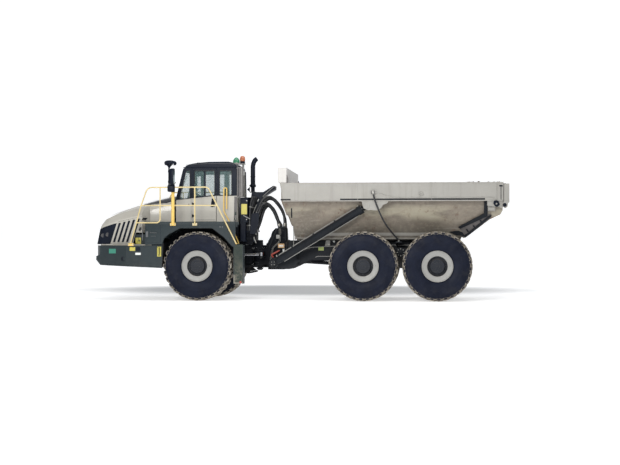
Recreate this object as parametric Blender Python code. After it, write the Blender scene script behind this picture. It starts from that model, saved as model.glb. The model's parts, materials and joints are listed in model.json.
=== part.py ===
"""Articulated dump truck, six-wheeled, with a hinged centre hitch, tilting bonnet, tipping body and tailgate.

Metres, +Z up. The truck faces -X; its left side is -Y. The origin is on the ground under the middle of the
overall length, on the centre plane.
"""
import math

import bmesh
import bpy
from mathutils import Matrix, Vector

for old in list(bpy.data.objects):
    bpy.data.objects.remove(old)

# ---- driving dimensions -------------------------------------------------------------------------------------
HALF_LENGTH = 5.615            # bumper lip at -X, tailgate ribs at +X
TYRE_R, TYRE_W, TYRE_SEGS = 0.9375, 0.75, 32
AXLE_Z = TYRE_R * math.cos(math.pi / TYRE_SEGS)   # the tyre stands on one flat of its outline
TYRE_OUT = 1.715               # outer face of each tyre from the centre plane
TYRE_MID = TYRE_OUT - TYRE_W / 2
RIM_R = 0.40                   # bead seat
FRONT_X, MID_X, REAR_X = -2.69, 1.765, 3.73       # axles
HITCH_X, HITCH_Z = -1.20, 1.25                    # steering axis; height of the roll axis
HOOD_HINGE = (-5.56, 0.0, 1.50)
DOOR_HINGE = (-2.965, -0.885, 2.80)
TIP = (4.15, 0.0, 1.50)                           # tipping axis
GATE = (5.49, 0.0, 2.553)                         # tailgate axis
RAIL_IN, RAIL_OUT = 1.4405, 1.66                  # side rail of the body
RAIL_BOT, RAIL_TOP = 2.67, 3.16
WALL = 0.04
CAB_X0, CAB_X1, CAB_W = -3.42, -1.72, 0.87
CAB_Z0, CAB_Z1 = 2.0, 3.62
DECK_TOP, DECK_BOT = 2.13, 2.05
DECK_Y = 1.62                                     # outer face of the platforms
RAILING_Y, RAILING_R = 1.655, 0.024
HOIST_LOW = (-0.72, 0.85, 1.00)                   # pin of the hoist cylinder on the frame
HOIST_TOP = (1.86, 1.49, 2.541)                   # pin on the body
HOIST_ROD_IN = 2.88                               # length of rod and eye
TIP_ANGLE = 65.0
GAP = 0.0003

# ---- materials -----------------------------------------------------------------------------------------------
PAINTS = {  # name: (colour, roughness, metallic)
    "beige": ((0.60, 0.56, 0.50), 0.45, 0.0),
    "charcoal": ((0.045, 0.055, 0.06), 0.5, 0.0),
    "black": ((0.012, 0.013, 0.018), 0.5, 0.0),
    "yellow": ((0.75, 0.48, 0.08), 0.45, 0.0),
    "tyre": ((0.02, 0.022, 0.028), 0.85, 0.0),
    "chrome": ((0.7, 0.7, 0.72), 0.15, 1.0),
    "steel": ((0.10, 0.10, 0.10), 0.5, 0.6),
    "glass": ((0.25, 0.35, 0.36), 0.05, 0.0),
    "seat": ((0.03, 0.03, 0.035), 0.9, 0.0),
    "amber": ((0.8, 0.22, 0.03), 0.2, 0.0),
    "tub": ((0.33, 0.30, 0.26), 0.6, 0.0),
}
materials = {}
for name, (colour, rough, metal) in PAINTS.items():
    m = bpy.data.materials.new(name)
    m.use_nodes = True
    shader = m.node_tree.nodes["Principled BSDF"]
    shader.inputs["Base Color"].default_value = (*colour, 1.0)
    shader.inputs["Roughness"].default_value = rough
    shader.inputs["Metallic"].default_value = metal
    materials[name] = m


# ---- shapes ----------------------------------------------------------------------------------------------------
def raw(bm):
    """A helper object holding this bmesh; it isn't part of the model until finish() takes it."""
    bmesh.ops.recalc_face_normals(bm, faces=bm.faces)
    mesh = bpy.data.meshes.new("raw")
    bm.to_mesh(mesh)
    bm.free()
    o = bpy.data.objects.new("raw", mesh)
    bpy.context.scene.collection.objects.link(o)
    return o


def prism(profile, low, high, axis="Y"):
    """A profile extruded along an axis. Along Y the profile is (x, z), along X (y, z), along Z (x, y)."""
    put = {"Y": lambda a, b, c: (a, c, b), "X": lambda a, b, c: (c, a, b), "Z": lambda a, b, c: (a, b, c)}[axis]
    bm = bmesh.new()
    face = bm.faces.new([bm.verts.new(put(a, b, low)) for a, b in profile])
    moved = bmesh.ops.extrude_face_region(bm, geom=[face])["geom"]
    bmesh.ops.translate(bm, vec=Vector(put(0, 0, high)) - Vector(put(0, 0, low)),
                        verts=[g for g in moved if isinstance(g, bmesh.types.BMVert)])
    return raw(bm)


def block(x0, x1, y0, y1, z0, z1):
    return prism([(x0, z0), (x1, z0), (x1, z1), (x0, z1)], y0, y1)


def turned(profile, centre, axis, segs=24, phase=0.5):
    """A profile of (along the axis, radius) turned about the axis through centre. Both ends lie on the axis or the
    profile is a closed ring off the axis."""
    axis = Vector(axis).normalized()
    side = axis.orthogonal().normalized()
    if abs(axis.y) > 0.9:
        side = Vector((0, 0, -1))
    other = axis.cross(side)
    bm = bmesh.new()
    rings = []
    for along, r in profile:
        base = Vector(centre) + axis * along
        if r < 1e-6:
            rings.append([bm.verts.new(base)])
        else:
            rings.append([bm.verts.new(base + (side * math.cos(a) + other * math.sin(a)) * r)
                          for a in (2 * math.pi * (k + phase) / segs for k in range(segs))])
    pairs = list(zip(rings, rings[1:]))
    if len(rings[0]) > 1:
        pairs.append((rings[-1], rings[0]))
    for a, b in pairs:
        for k in range(segs):
            n = (k + 1) % segs
            if len(a) == 1 and len(b) == 1:
                continue
            if len(a) == 1:
                bm.faces.new((a[0], b[k], b[n]))
            elif len(b) == 1:
                bm.faces.new((a[k], a[n], b[0]))
            else:
                bm.faces.new((a[k], a[n], b[n], b[k]))
    return raw(bm)


def rod(a, b, r, segs=12):
    a, b = Vector(a), Vector(b)
    d = (b - a).length
    return turned([(0, 0), (0, r), (d, r), (d, 0)], a, b - a, segs)


def tube(points, r, sides=8):
    """A round tube along a polyline, mitred at its points, with flat ends."""
    pts = [Vector(p) for p in points]
    bm = bmesh.new()
    tangents = []
    for k in range(len(pts)):
        before = (pts[k] - pts[k - 1]).normalized() if k else None
        after = (pts[k + 1] - pts[k]).normalized() if k + 1 < len(pts) else None
        tangents.append(((before or after) + (after or before)).normalized())
    side = tangents[0].orthogonal().normalized()
    rings = []
    for k, (p, t) in enumerate(zip(pts, tangents)):
        side = (side - t * side.dot(t)).normalized()
        other = t.cross(side)
        grow = 1.0
        if 0 < k < len(pts) - 1:
            grow = 1.0 / max(0.5, t.dot((pts[k + 1] - pts[k]).normalized()))
        bend = (pts[k] - pts[k - 1]).normalized() - (pts[k + 1] - pts[k]).normalized() if 0 < k < len(pts) - 1 else Vector()
        out = bend.normalized() if bend.length > 1e-4 else None
        ring = []
        for j in range(sides):
            a = 2 * math.pi * (j + 0.5) / sides
            v = (side * math.cos(a) + other * math.sin(a)) * r
            if out is not None:
                v += out * v.dot(out) * (grow - 1.0)
            ring.append(bm.verts.new(p + v))
        rings.append(ring)
    for a, b in zip(rings, rings[1:]):
        for j in range(sides):
            n = (j + 1) % sides
            bm.faces.new((a[j], a[n], b[n], b[j]))
    bm.faces.new(rings[0])
    bm.faces.new(list(reversed(rings[-1])))
    return raw(bm)


def mirrored(profile):
    """A (y, z) outline completed over the centre plane, given from the top right down to the centre bottom."""
    return profile + [(-y, z) for y, z in reversed(profile)]


def boolean(base, tools, operation):
    for tool in tools:
        mod = base.modifiers.new("b", "BOOLEAN")
        mod.operation, mod.solver, mod.object = operation, "EXACT", tool
    return base


def baked(o):
    """The object's evaluated mesh as a new helper, with its modifiers' tools removed."""
    bpy.context.view_layer.update()
    graph = bpy.context.evaluated_depsgraph_get()
    mesh = bpy.data.meshes.new_from_object(o.evaluated_get(graph))
    tools = {m.object for m in o.modifiers if m.type == "BOOLEAN"}
    matrix = o.matrix_world.copy()
    made = bpy.data.objects.new("raw", mesh)
    made.matrix_world = matrix
    bpy.context.scene.collection.objects.link(made)
    for t in [*tools, o]:
        bpy.data.objects.remove(t)
    return made


def weld(*parts):
    parts = list(parts)
    return baked(boolean(parts[0], parts[1:], "UNION")) if len(parts) > 1 else parts[0]


def cut(base, *tools):
    return baked(boolean(base, tools, "DIFFERENCE"))


def common(base, tool):
    return baked(boolean(base, [tool], "INTERSECT"))


bodies = {}


def body(name, at=(0, 0, 0), parent=None):
    e = bpy.data.objects.new("axis_" + name, None)
    bpy.context.scene.collection.objects.link(e)
    if parent:
        e.parent = bodies[parent]
        e.matrix_parent_inverse = Matrix.Identity(4)
        e.location = Vector(at) - Vector(bodies[parent]["at"])
    else:
        e.location = at
    e["at"] = Vector(at)
    bodies[name] = e
    return e


def finish(o, name, paint, on, bevel=0.0):
    """Names the helper, gives it its paint and hangs it on its body's axis."""
    at = Vector(bodies[on]["at"])
    o.data.transform(Matrix.Translation(-at) @ o.matrix_world)
    o.matrix_world = Matrix.Identity(4)
    o.name = name
    o.data.name = name
    o.data.materials.clear()
    o.data.materials.append(materials[paint])
    o.parent = bodies[on]
    o.data.shade_smooth()
    o.data.set_sharp_from_angle(angle=math.radians(40))
    if bevel:
        mod = o.modifiers.new("edges", "BEVEL")
        mod.width, mod.segments, mod.limit_method, mod.angle_limit = bevel, 1, "ANGLE", math.radians(50)
    return o


SIDES = (("left", -1), ("right", 1))


def both(y0, y1, s):
    """The two y limits of a piece on side s, in rising order."""
    return sorted((s * y0, s * y1))


# ---- bodies (the joints' axes) -----------------------------------------------------------------------------------
body("tractor")
body("hood", HOOD_HINGE, "tractor")
body("door", DOOR_HINGE, "tractor")
body("hitch", (HITCH_X, 0, HITCH_Z), "tractor")
body("trailer", (HITCH_X, 0, HITCH_Z), "hitch")
body("dump", TIP, "trailer")
body("gate", GATE, "dump")
for side, s in SIDES:
    body("wheel_front_" + side, (FRONT_X, s * TYRE_MID, AXLE_Z), "tractor")
    body("wheel_mid_" + side, (MID_X, s * TYRE_MID, AXLE_Z), "trailer")
    body("wheel_rear_" + side, (REAR_X, s * TYRE_MID, AXLE_Z), "trailer")
    body("steer_rod_" + side, (-1.66, s * 0.52, 1.245), "tractor")
    body("hoist_barrel_" + side, (HOIST_LOW[0], s * HOIST_LOW[1], HOIST_LOW[2]), "trailer")
    body("hoist_rod_" + side, (HOIST_TOP[0], s * HOIST_TOP[1], HOIST_TOP[2]), "hoist_barrel_" + side)

# ---- wheels ---------------------------------------------------------------------------------------------------------
# tyre section as (offset from the tyre's middle plane, radius), one closed ring
TYRE = [(-0.300, RIM_R), (-0.345, 0.47), (-0.375, 0.62), (-0.368, 0.78), (-0.335, 0.885), (-0.28, TYRE_R),
        (0.28, TYRE_R), (0.335, 0.885), (0.368, 0.78), (0.375, 0.62), (0.345, 0.47), (0.300, RIM_R)]
# rim and hub section, inboard to outboard; its outer flange laps the tyre's bead
RIM = [(-0.19, 0), (-0.19, 0.25), (-0.27, 0.30), (-0.27, RIM_R - GAP), (0.30, RIM_R - GAP), (0.335, 0.417),
       (0.345, 0.40), (0.325, 0.27), (0.285, 0.262), (0.285, 0)]
for where, x, carrier in (("front", FRONT_X, "tractor"), ("mid", MID_X, "trailer"), ("rear", REAR_X, "trailer")):
    for side, s in SIDES:
        on, at = f"wheel_{where}_{side}", (x, s * TYRE_MID, AXLE_Z)
        finish(turned([(a, r) for a, r in TYRE], at, (0, s, 0), TYRE_SEGS), f"tyre_{where}_{side}", "tyre", on)
        # the tyre is laid off the flange by the same gap all round
        finish(turned([(a, min(r, RIM_R - GAP) if a <= 0.301 else r) for a, r in RIM], at, (0, s, 0), TYRE_SEGS),
               f"rim_{where}_{side}", "beige", on)


def axle(x, pads):
    """Beam axle with its differential, and its hub stubs that end short of the wheels."""
    parts = [turned([(-1.12, 0), (-1.12, 0.20), (-0.98, 0.20), (-0.90, 0.15), (-0.42, 0.17), (-0.27, 0.25), (0.27, 0.25),
                     (0.42, 0.17), (0.90, 0.15), (0.98, 0.20), (1.12, 0.20), (1.12, 0)], (x, 0, AXLE_Z), (0, 1, 0), 16),
             turned([(-0.34, 0), (-0.34, 0.09), (0.02, 0.20), (0.02, 0)], (x, 0, AXLE_Z), (1, 0, 0), 12)]
    for _, s in SIDES:
        y0, y1 = both(pads[0], pads[1], s)
        parts.append(block(x - 0.11, x + 0.11, y0, y1, AXLE_Z + 0.05, pads[2]))
    return weld(*parts)


# ---- tractor: frame, axle, engine -----------------------------------------------------------------------------------
frame_parts = []
SIDE_RAIL = [(-5.30, 1.18), (-2.35, 1.18), (-1.98, 0.87), (-1.70, 0.87), (-1.70, 1.58), (-5.30, 1.58)]
for _, s in SIDES:
    frame_parts.append(prism(SIDE_RAIL, *both(0.30, 0.42, s)))
for x0, x1, w, z0, z1 in (  # cross members: x from, x to, half width, z from, z to
    (-5.25, -5.10, 0.95, 1.20, 1.40), (-4.95, -4.80, 0.36, 1.14, 1.22), (-3.45, -3.30, 0.36, 1.21, 1.31),
    (-1.80, -1.715, 0.40, 0.885, 1.57), (-3.27, -3.13, 0.8795, 1.50, 1.985), (-1.99, -1.85, 0.8795, 1.50, 1.985),
):
    frame_parts.append(block(x0, x1, -w, w, z0, z1))
EAR = [(-1.76, -0.33), (-1.32, -0.19), (-1.27, -0.185)] + [
    (HITCH_X + 0.20 * math.cos(a), 0.20 * math.sin(a)) for a in (math.radians(d) for d in range(-60, 61, 30))
] + [(-1.27, 0.185), (-1.32, 0.19), (-1.76, 0.33)]
for z0, z1 in ((0.875, 0.94), (1.42, 1.50)):
    frame_parts.append(prism(EAR, z0, z1, "Z"))
for _, s in SIDES:  # brackets of the steering cylinders
    frame_parts.append(block(-2.50, -2.42, *both(0.40, 0.60, s), 1.19, 1.30))
front_frame = weld(*frame_parts)
front_frame = cut(front_frame, rod((HITCH_X, 0, 0.7), (HITCH_X, 0, 1.7), 0.068, 16))
finish(front_frame, "front_frame", "black", "tractor")
finish(axle(FRONT_X, (0.30, 0.42, 1.1795)), "front_axle", "black", "tractor")
finish(block(-4.78, -3.50, -0.29, 0.29, 1.3105, 2.25), "engine", "steel", "tractor")

# steering cylinders: a bored barrel fixed to the frame and a sliding rod with its eye
for side, s in SIDES:
    y = s * 0.52
    barrel = turned([(0, 0), (0, 0.07), (0.80, 0.07), (0.80, 0.046), (0.02, 0.046), (0.02, 0)], (-2.4195, y, 1.245), (1, 0, 0), 16)
    finish(barrel, "steering_barrel_" + side, "black", "tractor")
    eye = turned([(-0.045, 0), (-0.045, 0.07), (0.045, 0.07), (0.045, 0)], (-1.10, y, 1.245), (0, 0, 1), 16)
    finish(weld(rod((-2.02, y, 1.245), (-1.13, y, 1.245), 0.04, 16), eye), "steering_rod_" + side, "chrome", "steer_rod_" + side)

# ---- tractor: bumper and lower front panels --------------------------------------------------------------------------
BUMPER = [(-3.66, 1.60), (-4.65, 1.59), (-5.20, 1.46), (-5.44, 1.29), (-5.53, 1.16), (-5.555, 0.75)]
BUMPER_SIDE = [(-5.60, 1.49), (-5.60, 1.10), (-5.43, 0.955), (-3.60, 0.875), (-3.60, 1.49)]
LIP_PLAN = [(-5.36, 1.30), (-5.44, 1.29), (-5.575, 1.18), (-HALF_LENGTH, 1.02)]
LIP_SIDE = [(-5.45, 1.24), (-5.56, 1.20), (-5.62, 1.175), (-5.62, 1.14), (-5.43, 0.955), (-5.36, 0.955)]
bumper = common(prism([*BUMPER, *[(x, -y) for x, y in reversed(BUMPER)]], 0.80, 1.60, "Z"), prism(BUMPER_SIDE, -1.7, 1.7))
lip = common(prism([*LIP_PLAN, *[(x, -y) for x, y in reversed(LIP_PLAN)]], 0.80, 1.60, "Z"), prism(LIP_SIDE, -1.7, 1.7))
bumper = weld(bumper, lip)
bumper = cut(bumper, block(-5.38, -3.5, -1.02, 1.02, 0.8, 1.6), block(-4.70, -3.5, -1.53, 1.53, 0.8, 1.43), block(-5.10, -4.6, -1.40, 1.40, 0.8, 1.43))
finish(bumper, "front_bumper", "charcoal", "tractor")

# ---- tractor: platforms, mudguards, steps ----------------------------------------------------------------------------
ARCH = [(-3.66, 1.52), (-3.60, 1.68), (-3.46, 1.80), (-3.16, 1.955), (-2.29, 1.955), (-1.98, 1.72), (-1.745, 1.46)]
SKIRT = [(-4.12, 2.12), (-4.12, 1.505), *ARCH, (-1.66, 1.46), (-1.66, 2.12)]
LINER = ARCH[1:] + [(x + dx, z + dz) for (x, z), (dx, dz) in
                    zip(reversed(ARCH[1:]), ((0.035, 0.02), (0.03, 0.03), (0.02, 0.04), (-0.01, 0.04), (-0.02, 0.035), (-0.04, 0.01)))]
for side, s in SIDES:
    platform = weld(
        block(-4.12, -1.665, *both(0.885, DECK_Y, s), DECK_BOT, DECK_TOP),
        prism(SKIRT, *both(1.57, 1.615, s)),
        prism(LINER, *both(0.92, 1.59, s)),
        block(-4.10, -1.70, *both(0.8825, 0.95, s), 1.99, 2.10),
        block(-4.105, -4.04, *both(0.90, 1.60, s), 1.51, 2.07),
        block(-4.46, -4.09, *both(1.20, 1.30, s), 1.51, 1.79),                  # foothold beside the hood
    )
    if side == "left":  # the steps up, and the stairwell that they end in
        platform = weld(
            platform,
            *[block(x0, x1, *both(1.30, 1.60, s), 0.46, 1.50) for x0, x1 in ((-1.715, -1.68), (-1.485, -1.45))],
            *[block(-1.70, -1.46, *both(1.32, 1.58, s), z, z + 0.04) for z in (0.48, 0.80, 1.12, 1.40)],
            block(-1.70, -1.46, *both(1.305, 1.325, s), 0.485, 1.49),
        )
        platform = cut(platform, block(-1.99, -1.60, *both(0.955, 1.565, s), 2.0, 2.2))
    finish(platform, "platform_" + side, "charcoal", "tractor")

# ---- tractor: handrails and mirrors ------------------------------------------------------------------------------------
Y = RAILING_Y
RAILINGS = (  # runs of tube, each a list of (x, distance from the centre plane, z)
    ((-4.50, Y, 1.56), (-4.22, Y, 2.56), (-4.07, Y, 2.98), (-3.98, Y, 3.05), (-2.45, Y, 3.055), (-2.38, Y, 3.02)),
    ((-4.345, Y, 2.10), (-3.76, Y, 2.10), (-3.70, Y, 2.16), (-3.70, Y, 3.05)),
    ((-4.22, Y, 2.565), (-2.165, Y, 2.562)),
    ((-2.755, Y, 2.05), (-2.755, Y, 3.05)),
    ((-1.633, Y + 0.01, 1.535), (-1.633, 1.15, 1.535), (-2.07, 1.0, 2.54), (-2.07, 1.0, 3.06), (-1.99, 1.0, 3.06), (-1.99, 1.0, 2.56)),
)
STAIR_END = {"left": (-1.633, Y, 1.54), "right": (-1.975, Y, 2.04)}  # the left rail goes down beside the steps, the right one ends on the platform
for side, s in SIDES:
    first, *others = RAILINGS if side == "left" else RAILINGS[:4]
    runs = [tube([(x, s * y, z) for x, y, z in run], RAILING_R - 0.0004 * k, 6) for k, run in enumerate([(*first, STAIR_END[side]), *others])]
    runs.append(rod((-3.37, s * Y, 2.03), (-3.37, s * Y, 3.04), 0.032, 8))
    for x in (-3.37, -2.755) if side == "left" else (-3.37, -2.755, STAIR_END["right"][0]):
        runs.append(block(x - 0.05, x + 0.05, *both(DECK_Y + 0.001, Y + 0.03, s), 2.03, 2.055))
    finish(weld(*runs), "handrails_" + side, "yellow", "tractor")
    mast = tube([(-3.446, s * 1.71, 2.94), (-3.446, s * 1.71, 3.70)], 0.020, 8)
    dish = turned([(-0.03, 0), (-0.03, 0.10), (0.02, 0.165), (0.035, 0.165), (0.035, 0)], (-3.41, s * 1.72, 3.71), (0.18, 0, 1), 12)
    glass_box = block(-3.40, -3.28, *both(1.69, 1.90, s), 3.10, 3.56)
    low_box = block(-3.41, -3.28, *both(1.70, 1.88, s), 2.93, 3.07)
    arms = [block(-3.455, -3.37, *both(1.70, 1.72, s), z, z + 0.03) for z in (2.96, 3.02, 3.2, 3.46)]
    foot = block(-3.47, -3.395, *both(RAILING_Y + 0.03, 1.72, s), 2.94, 3.00)
    finish(weld(mast, dish, glass_box, low_box, *arms, foot), "mirror_" + side, "black", "tractor")

# ---- tractor: cab --------------------------------------------------------------------------------------------------------
CAB = [(CAB_X0, CAB_Z0), (CAB_X0, 2.70), (-3.195, CAB_Z1), (-1.74, CAB_Z1), (CAB_X1, 2.85), (CAB_X1, 2.05), (-1.78, CAB_Z0)]
CAB_IN = [(-3.36, 2.06), (-3.36, 2.70), (-3.13, 3.9), (-1.80, 3.9), (-1.78, 2.85), (-1.78, 2.06)]
shell = cut(prism(CAB, -CAB_W, CAB_W), prism(CAB_IN, -0.81, 0.81))
SIDE_LIGHTS = ([(-3.325, 2.76), (-3.03, 2.80), (-3.03, 3.54), (-3.14, 3.54)],      # front quarter
               [(-2.90, 2.83), (-2.34, 2.87), (-2.34, 3.54), (-2.90, 3.54)],       # middle
               [(-2.21, 2.87), (-1.87, 2.87), (-1.87, 3.54), (-2.21, 3.54)])       # rear quarter
DOOR = [(-2.97, 2.14), (-2.29, 2.14), (-2.29, 3.58), (-2.97, 3.58)]
tools = [prism(SIDE_LIGHTS[0], -1, 1), prism(SIDE_LIGHTS[2], -1, 1), prism(SIDE_LIGHTS[1], 0.5, 1), prism(DOOR, -1, -0.7),
         block(-3.7, -3.05, -0.77, 0.77, 2.76, 3.53), block(-1.95, -1.6, -0.70, 0.70, 2.87, 3.50)]
finish(cut(shell, *tools), "cab_shell", "beige", "tractor")
ROOF = [(-3.20, CAB_Z1 + GAP), (-3.15, 3.68), (-3.06, 3.725), (-2.85, 3.762), (-2.50, 3.79), (-1.97, 3.793), (-1.85, 3.765),
        (-1.75, 3.70), (-1.735, CAB_Z1 + GAP)]
finish(prism(ROOF, -0.86, 0.86), "cab_roof", "black", "tractor")
door_panel = prism([(-2.9645, 2.146), (-2.2955, 2.146), (-2.2955, 3.574), (-2.9645, 3.574)], -0.885, -0.83)
door_panel = cut(door_panel, prism(SIDE_LIGHTS[1], -1, -0.7), block(-2.93, -2.33, -0.87, -0.80, 2.18, 2.78))
finish(door_panel, "cab_door", "beige", "door")


def pane(outline, grow, y0, y1):
    cx = sum(p[0] for p in outline) / len(outline)
    cz = sum(p[1] for p in outline) / len(outline)
    return prism([(x + grow * (1 if x > cx else -1), z + grow * (1 if z > cz else -1)) for x, z in outline], y0, y1)


finish(pane(SIDE_LIGHTS[1], -0.0005, -0.862, -0.852), "door_glass", "glass", "door")
finish(pane(SIDE_LIGHTS[0], -0.0005, -0.855, -0.845), "window_left_front", "glass", "tractor")
finish(pane(SIDE_LIGHTS[2], -0.0005, -0.855, -0.845), "window_left_rear", "glass", "tractor")
finish(prism([(-3.335, 2.75), (-1.83, 2.80), (-1.83, 3.58), (-3.14, 3.58)], 0.797, 0.8095), "window_right", "glass", "tractor")
finish(prism([(-3.385, 2.7605), (-3.197, 3.5295), (-3.185, 3.5295), (-3.373, 2.7605)], -0.7695, 0.7695), "windscreen", "glass", "tractor")
finish(prism([(-1.745, 2.8705), (-1.76, 3.4995), (-1.772, 3.4995), (-1.757, 2.8705)], -0.6995, 0.6995), "window_rear", "glass", "tractor")
SEAT = ((-2.62, -2.22, 0.22, 2.0605, 2.36), (-2.72, -2.16, 0.27, 2.35, 2.52))
seat = weld(*[block(x0, x1, -w, w, z0, z1) for x0, x1, w, z0, z1 in SEAT],
            prism([(-2.26, 2.45), (-2.13, 3.16), (-2.02, 3.16), (-2.14, 2.45)], -0.25, 0.25),
            *[block(-2.60, -2.20, *both(0.26, 0.33, s), 2.62, 2.68) for _, s in SIDES],
            *[block(-2.27, -2.20, *both(0.24, 0.30, s), 2.50, 2.67) for _, s in SIDES])
finish(seat, "operator_seat", "seat", "tractor")
wheel_c, wheel_n = Vector((-2.93, 0, 2.90)), Vector((0.42, 0, 1)).normalized()
ring = turned([(-0.014, 0.205), (0.014, 0.205), (0.014, 0.235), (-0.014, 0.235)], wheel_c, wheel_n, 16)
spokes = [rod(wheel_c - Vector((0, 0.22, 0)), wheel_c + Vector((0, 0.22, 0)), 0.012, 6)]
column = rod(wheel_c + wheel_n * 0.02, wheel_c - wheel_n * 0.55, 0.035, 8)
dash = prism([(-3.34, 2.0605), (-3.05, 2.0605), (-3.02, 2.66), (-3.13, 2.73), (-3.34, 2.70)], -0.60, 0.60)
finish(weld(dash, column, ring, *spokes), "dashboard", "seat", "tractor")

# ---- tractor: behind the cab ----------------------------------------------------------------------------------------------
REAR_PACK = [(-1.66, 1.585), (-1.40, 1.585), (-1.32, 2.45), (-1.13, 2.79), (-1.13, 2.99), (-1.44, 2.99), (-1.46, 2.84), (-1.66, 2.84)]
tray = block(-1.53, -1.22, -0.52, 0.06, 1.86, 1.90)
shield = prism([(-1.16, 2.84), (-0.84, 3.045), (-0.80, 3.07), (-0.80, 3.165), (-0.84, 3.165), (-1.16, 2.965)], 0.06, 0.56)
cooler = weld(prism(REAR_PACK, 0.03, 0.72), block(-1.655, -1.515, -0.70, 0.10, 1.60, 2.80), tray, shield)
finish(cooler, "cooler_pack", "black", "tractor")
stack = [(-1.44, 0.45, 2.9905), (-1.44, 0.45, 3.76), (-1.425, 0.45, 3.83), (-1.385, 0.45, 3.89), (-1.27, 0.45, 3.985)]
stack_tube = tube(stack, 0.066, 12)
finish(weld(stack_tube, turned([(-0.035, 0), (-0.035, 0.085), (0.035, 0.085), (0.035, 0)], (-1.44, 0.45, 3.10), (0, 0, 1), 12)),
       "exhaust_stack", "black", "tractor")
beacon = weld(block(-2.00, -1.68, 0.36, 0.54, 3.7935, 3.815),
              turned([(0, 0), (0, 0.062), (0.13, 0.055), (0.165, 0.03), (0.17, 0)], (-1.925, 0.45, 3.81), (0, 0, 1), 12),
              turned([(0, 0), (0, 0.080), (0.17, 0.072), (0.225, 0.04), (0.235, 0)], (-1.765, 0.45, 3.81), (0, 0, 1), 12))
finish(beacon, "beacon", "amber", "tractor")

# ---- hood -------------------------------------------------------------------------------------------------------------------
NOSE_Z = 1.52
HOOD = (  # x at the bottom, lean back, side half width, bottom, top of side, shoulder (y, z), near the crown (y, z), centre z
    (-5.545, 0.20, 1.07, NOSE_Z, 1.93, (1.01, 2.00), (0.50, 2.05), 2.07),      # round the grille
    (-5.535, 0.20, 1.20, NOSE_Z, 1.97, (1.12, 2.06), (0.52, 2.13), 2.15),
    (-5.41, 0.15, 1.27, NOSE_Z, 2.03, (1.15, 2.20), (0.55, 2.29), 2.31),
    (-5.12, 0.05, 1.30, NOSE_Z, 2.12, (1.15, 2.31), (0.57, 2.40), 2.42),
    (-4.62, 0.00, 1.335, NOSE_Z, 2.24, (1.11, 2.455), (0.56, 2.56), 2.60),
    (-4.27, 0.00, 1.335, NOSE_Z, 2.31, (1.05, 2.54), (0.55, 2.65), 2.70),
    (-4.14, 0.00, 0.87, 2.14, 2.44, (0.83, 2.58), (0.54, 2.69), 2.74),
    (-3.80, 0.00, 0.865, 2.14, 2.55, (0.83, 2.64), (0.54, 2.76), 2.82),
    (-3.465, 0.00, 0.86, 2.14, 2.61, (0.82, 2.695), (0.53, 2.82), 2.88),
)
bm = bmesh.new()
rows = []
for x, lean, w, zb, zs, shoulder, near, zc in HOOD:
    half = [(w, zb), (w, zs), shoulder, near]
    rows.append([bm.verts.new((x + lean * (z - NOSE_Z), y, z)) for y, z in [*half, (0, zc), *[(-y, z) for y, z in reversed(half)]]])
for a, b in zip(rows, rows[1:]):
    for k in range(len(a) - 1):
        bm.faces.new((a[k], a[k + 1], b[k + 1], b[k]))
hood = raw(bm)
mod = hood.modifiers.new("sheet", "SOLIDIFY")
mod.thickness, mod.offset, mod.use_even_offset = 0.03, -1, True
hood = baked(hood)
FOOTHOLD = [(-4.54, 1.40), (-4.45, 1.84), (-4.05, 1.84), (-4.05, 1.40)]
hood = cut(hood, prism(FOOTHOLD, 1.10, 1.60), prism(FOOTHOLD, -1.60, -1.10))
finish(hood, "hood_shell", "beige", "hood")
GRILLE = [(1.02, 1.535), (1.02, 1.925), (0.97, 1.985), (0.49, 2.03), (0, 2.045), (-0.49, 2.03), (-0.97, 1.985), (-1.02, 1.925), (-1.02, 1.535)]
bm = bmesh.new()
front, back = ([bm.verts.new((x + 0.2 * (z - NOSE_Z), y, z)) for y, z in GRILLE] for x in (-5.54, -5.50))
bm.faces.new(front)
bm.faces.new(back)
for k in range(len(GRILLE)):
    n = (k + 1) % len(GRILLE)
    bm.faces.new((front[k], front[n], back[n], back[k]))
finish(raw(bm), "front_grille", "black", "hood")

# ---- hitch --------------------------------------------------------------------------------------------------------------------
HITCH = [(HITCH_X, 0.955), (-0.945, 0.955), (-0.945, 0.82), (-0.50, 0.82), (-0.42, 0.98), (-0.42, 1.62), (-0.44, 1.97),
         (-0.69, 1.97), (-0.79, 1.87), (-0.945, 1.61), (-0.945, 1.405), (HITCH_X, 1.405)]
hitch_parts = [prism(HITCH, -0.22, 0.22),
               rod((HITCH_X, 0, 0.965), (HITCH_X, 0, 1.395), 0.17, 16),
               rod((HITCH_X, 0, 0.80), (HITCH_X, 0, 1.56), 0.06, 16),
               turned([(-0.47, 0), (-0.47, 0.40), (-0.36, 0.40), (-0.36, 0)], (0, 0, HITCH_Z), (1, 0, 0), 24)]
for _, s in SIDES:
    for z0, z1 in ((1.15, 1.19), (1.30, 1.34)):
        hitch_parts.append(block(-1.18, -1.03, *both(0.10, 0.58, s), z0, z1))
finish(weld(*hitch_parts), "hitch_housing", "black", "hitch")
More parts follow.
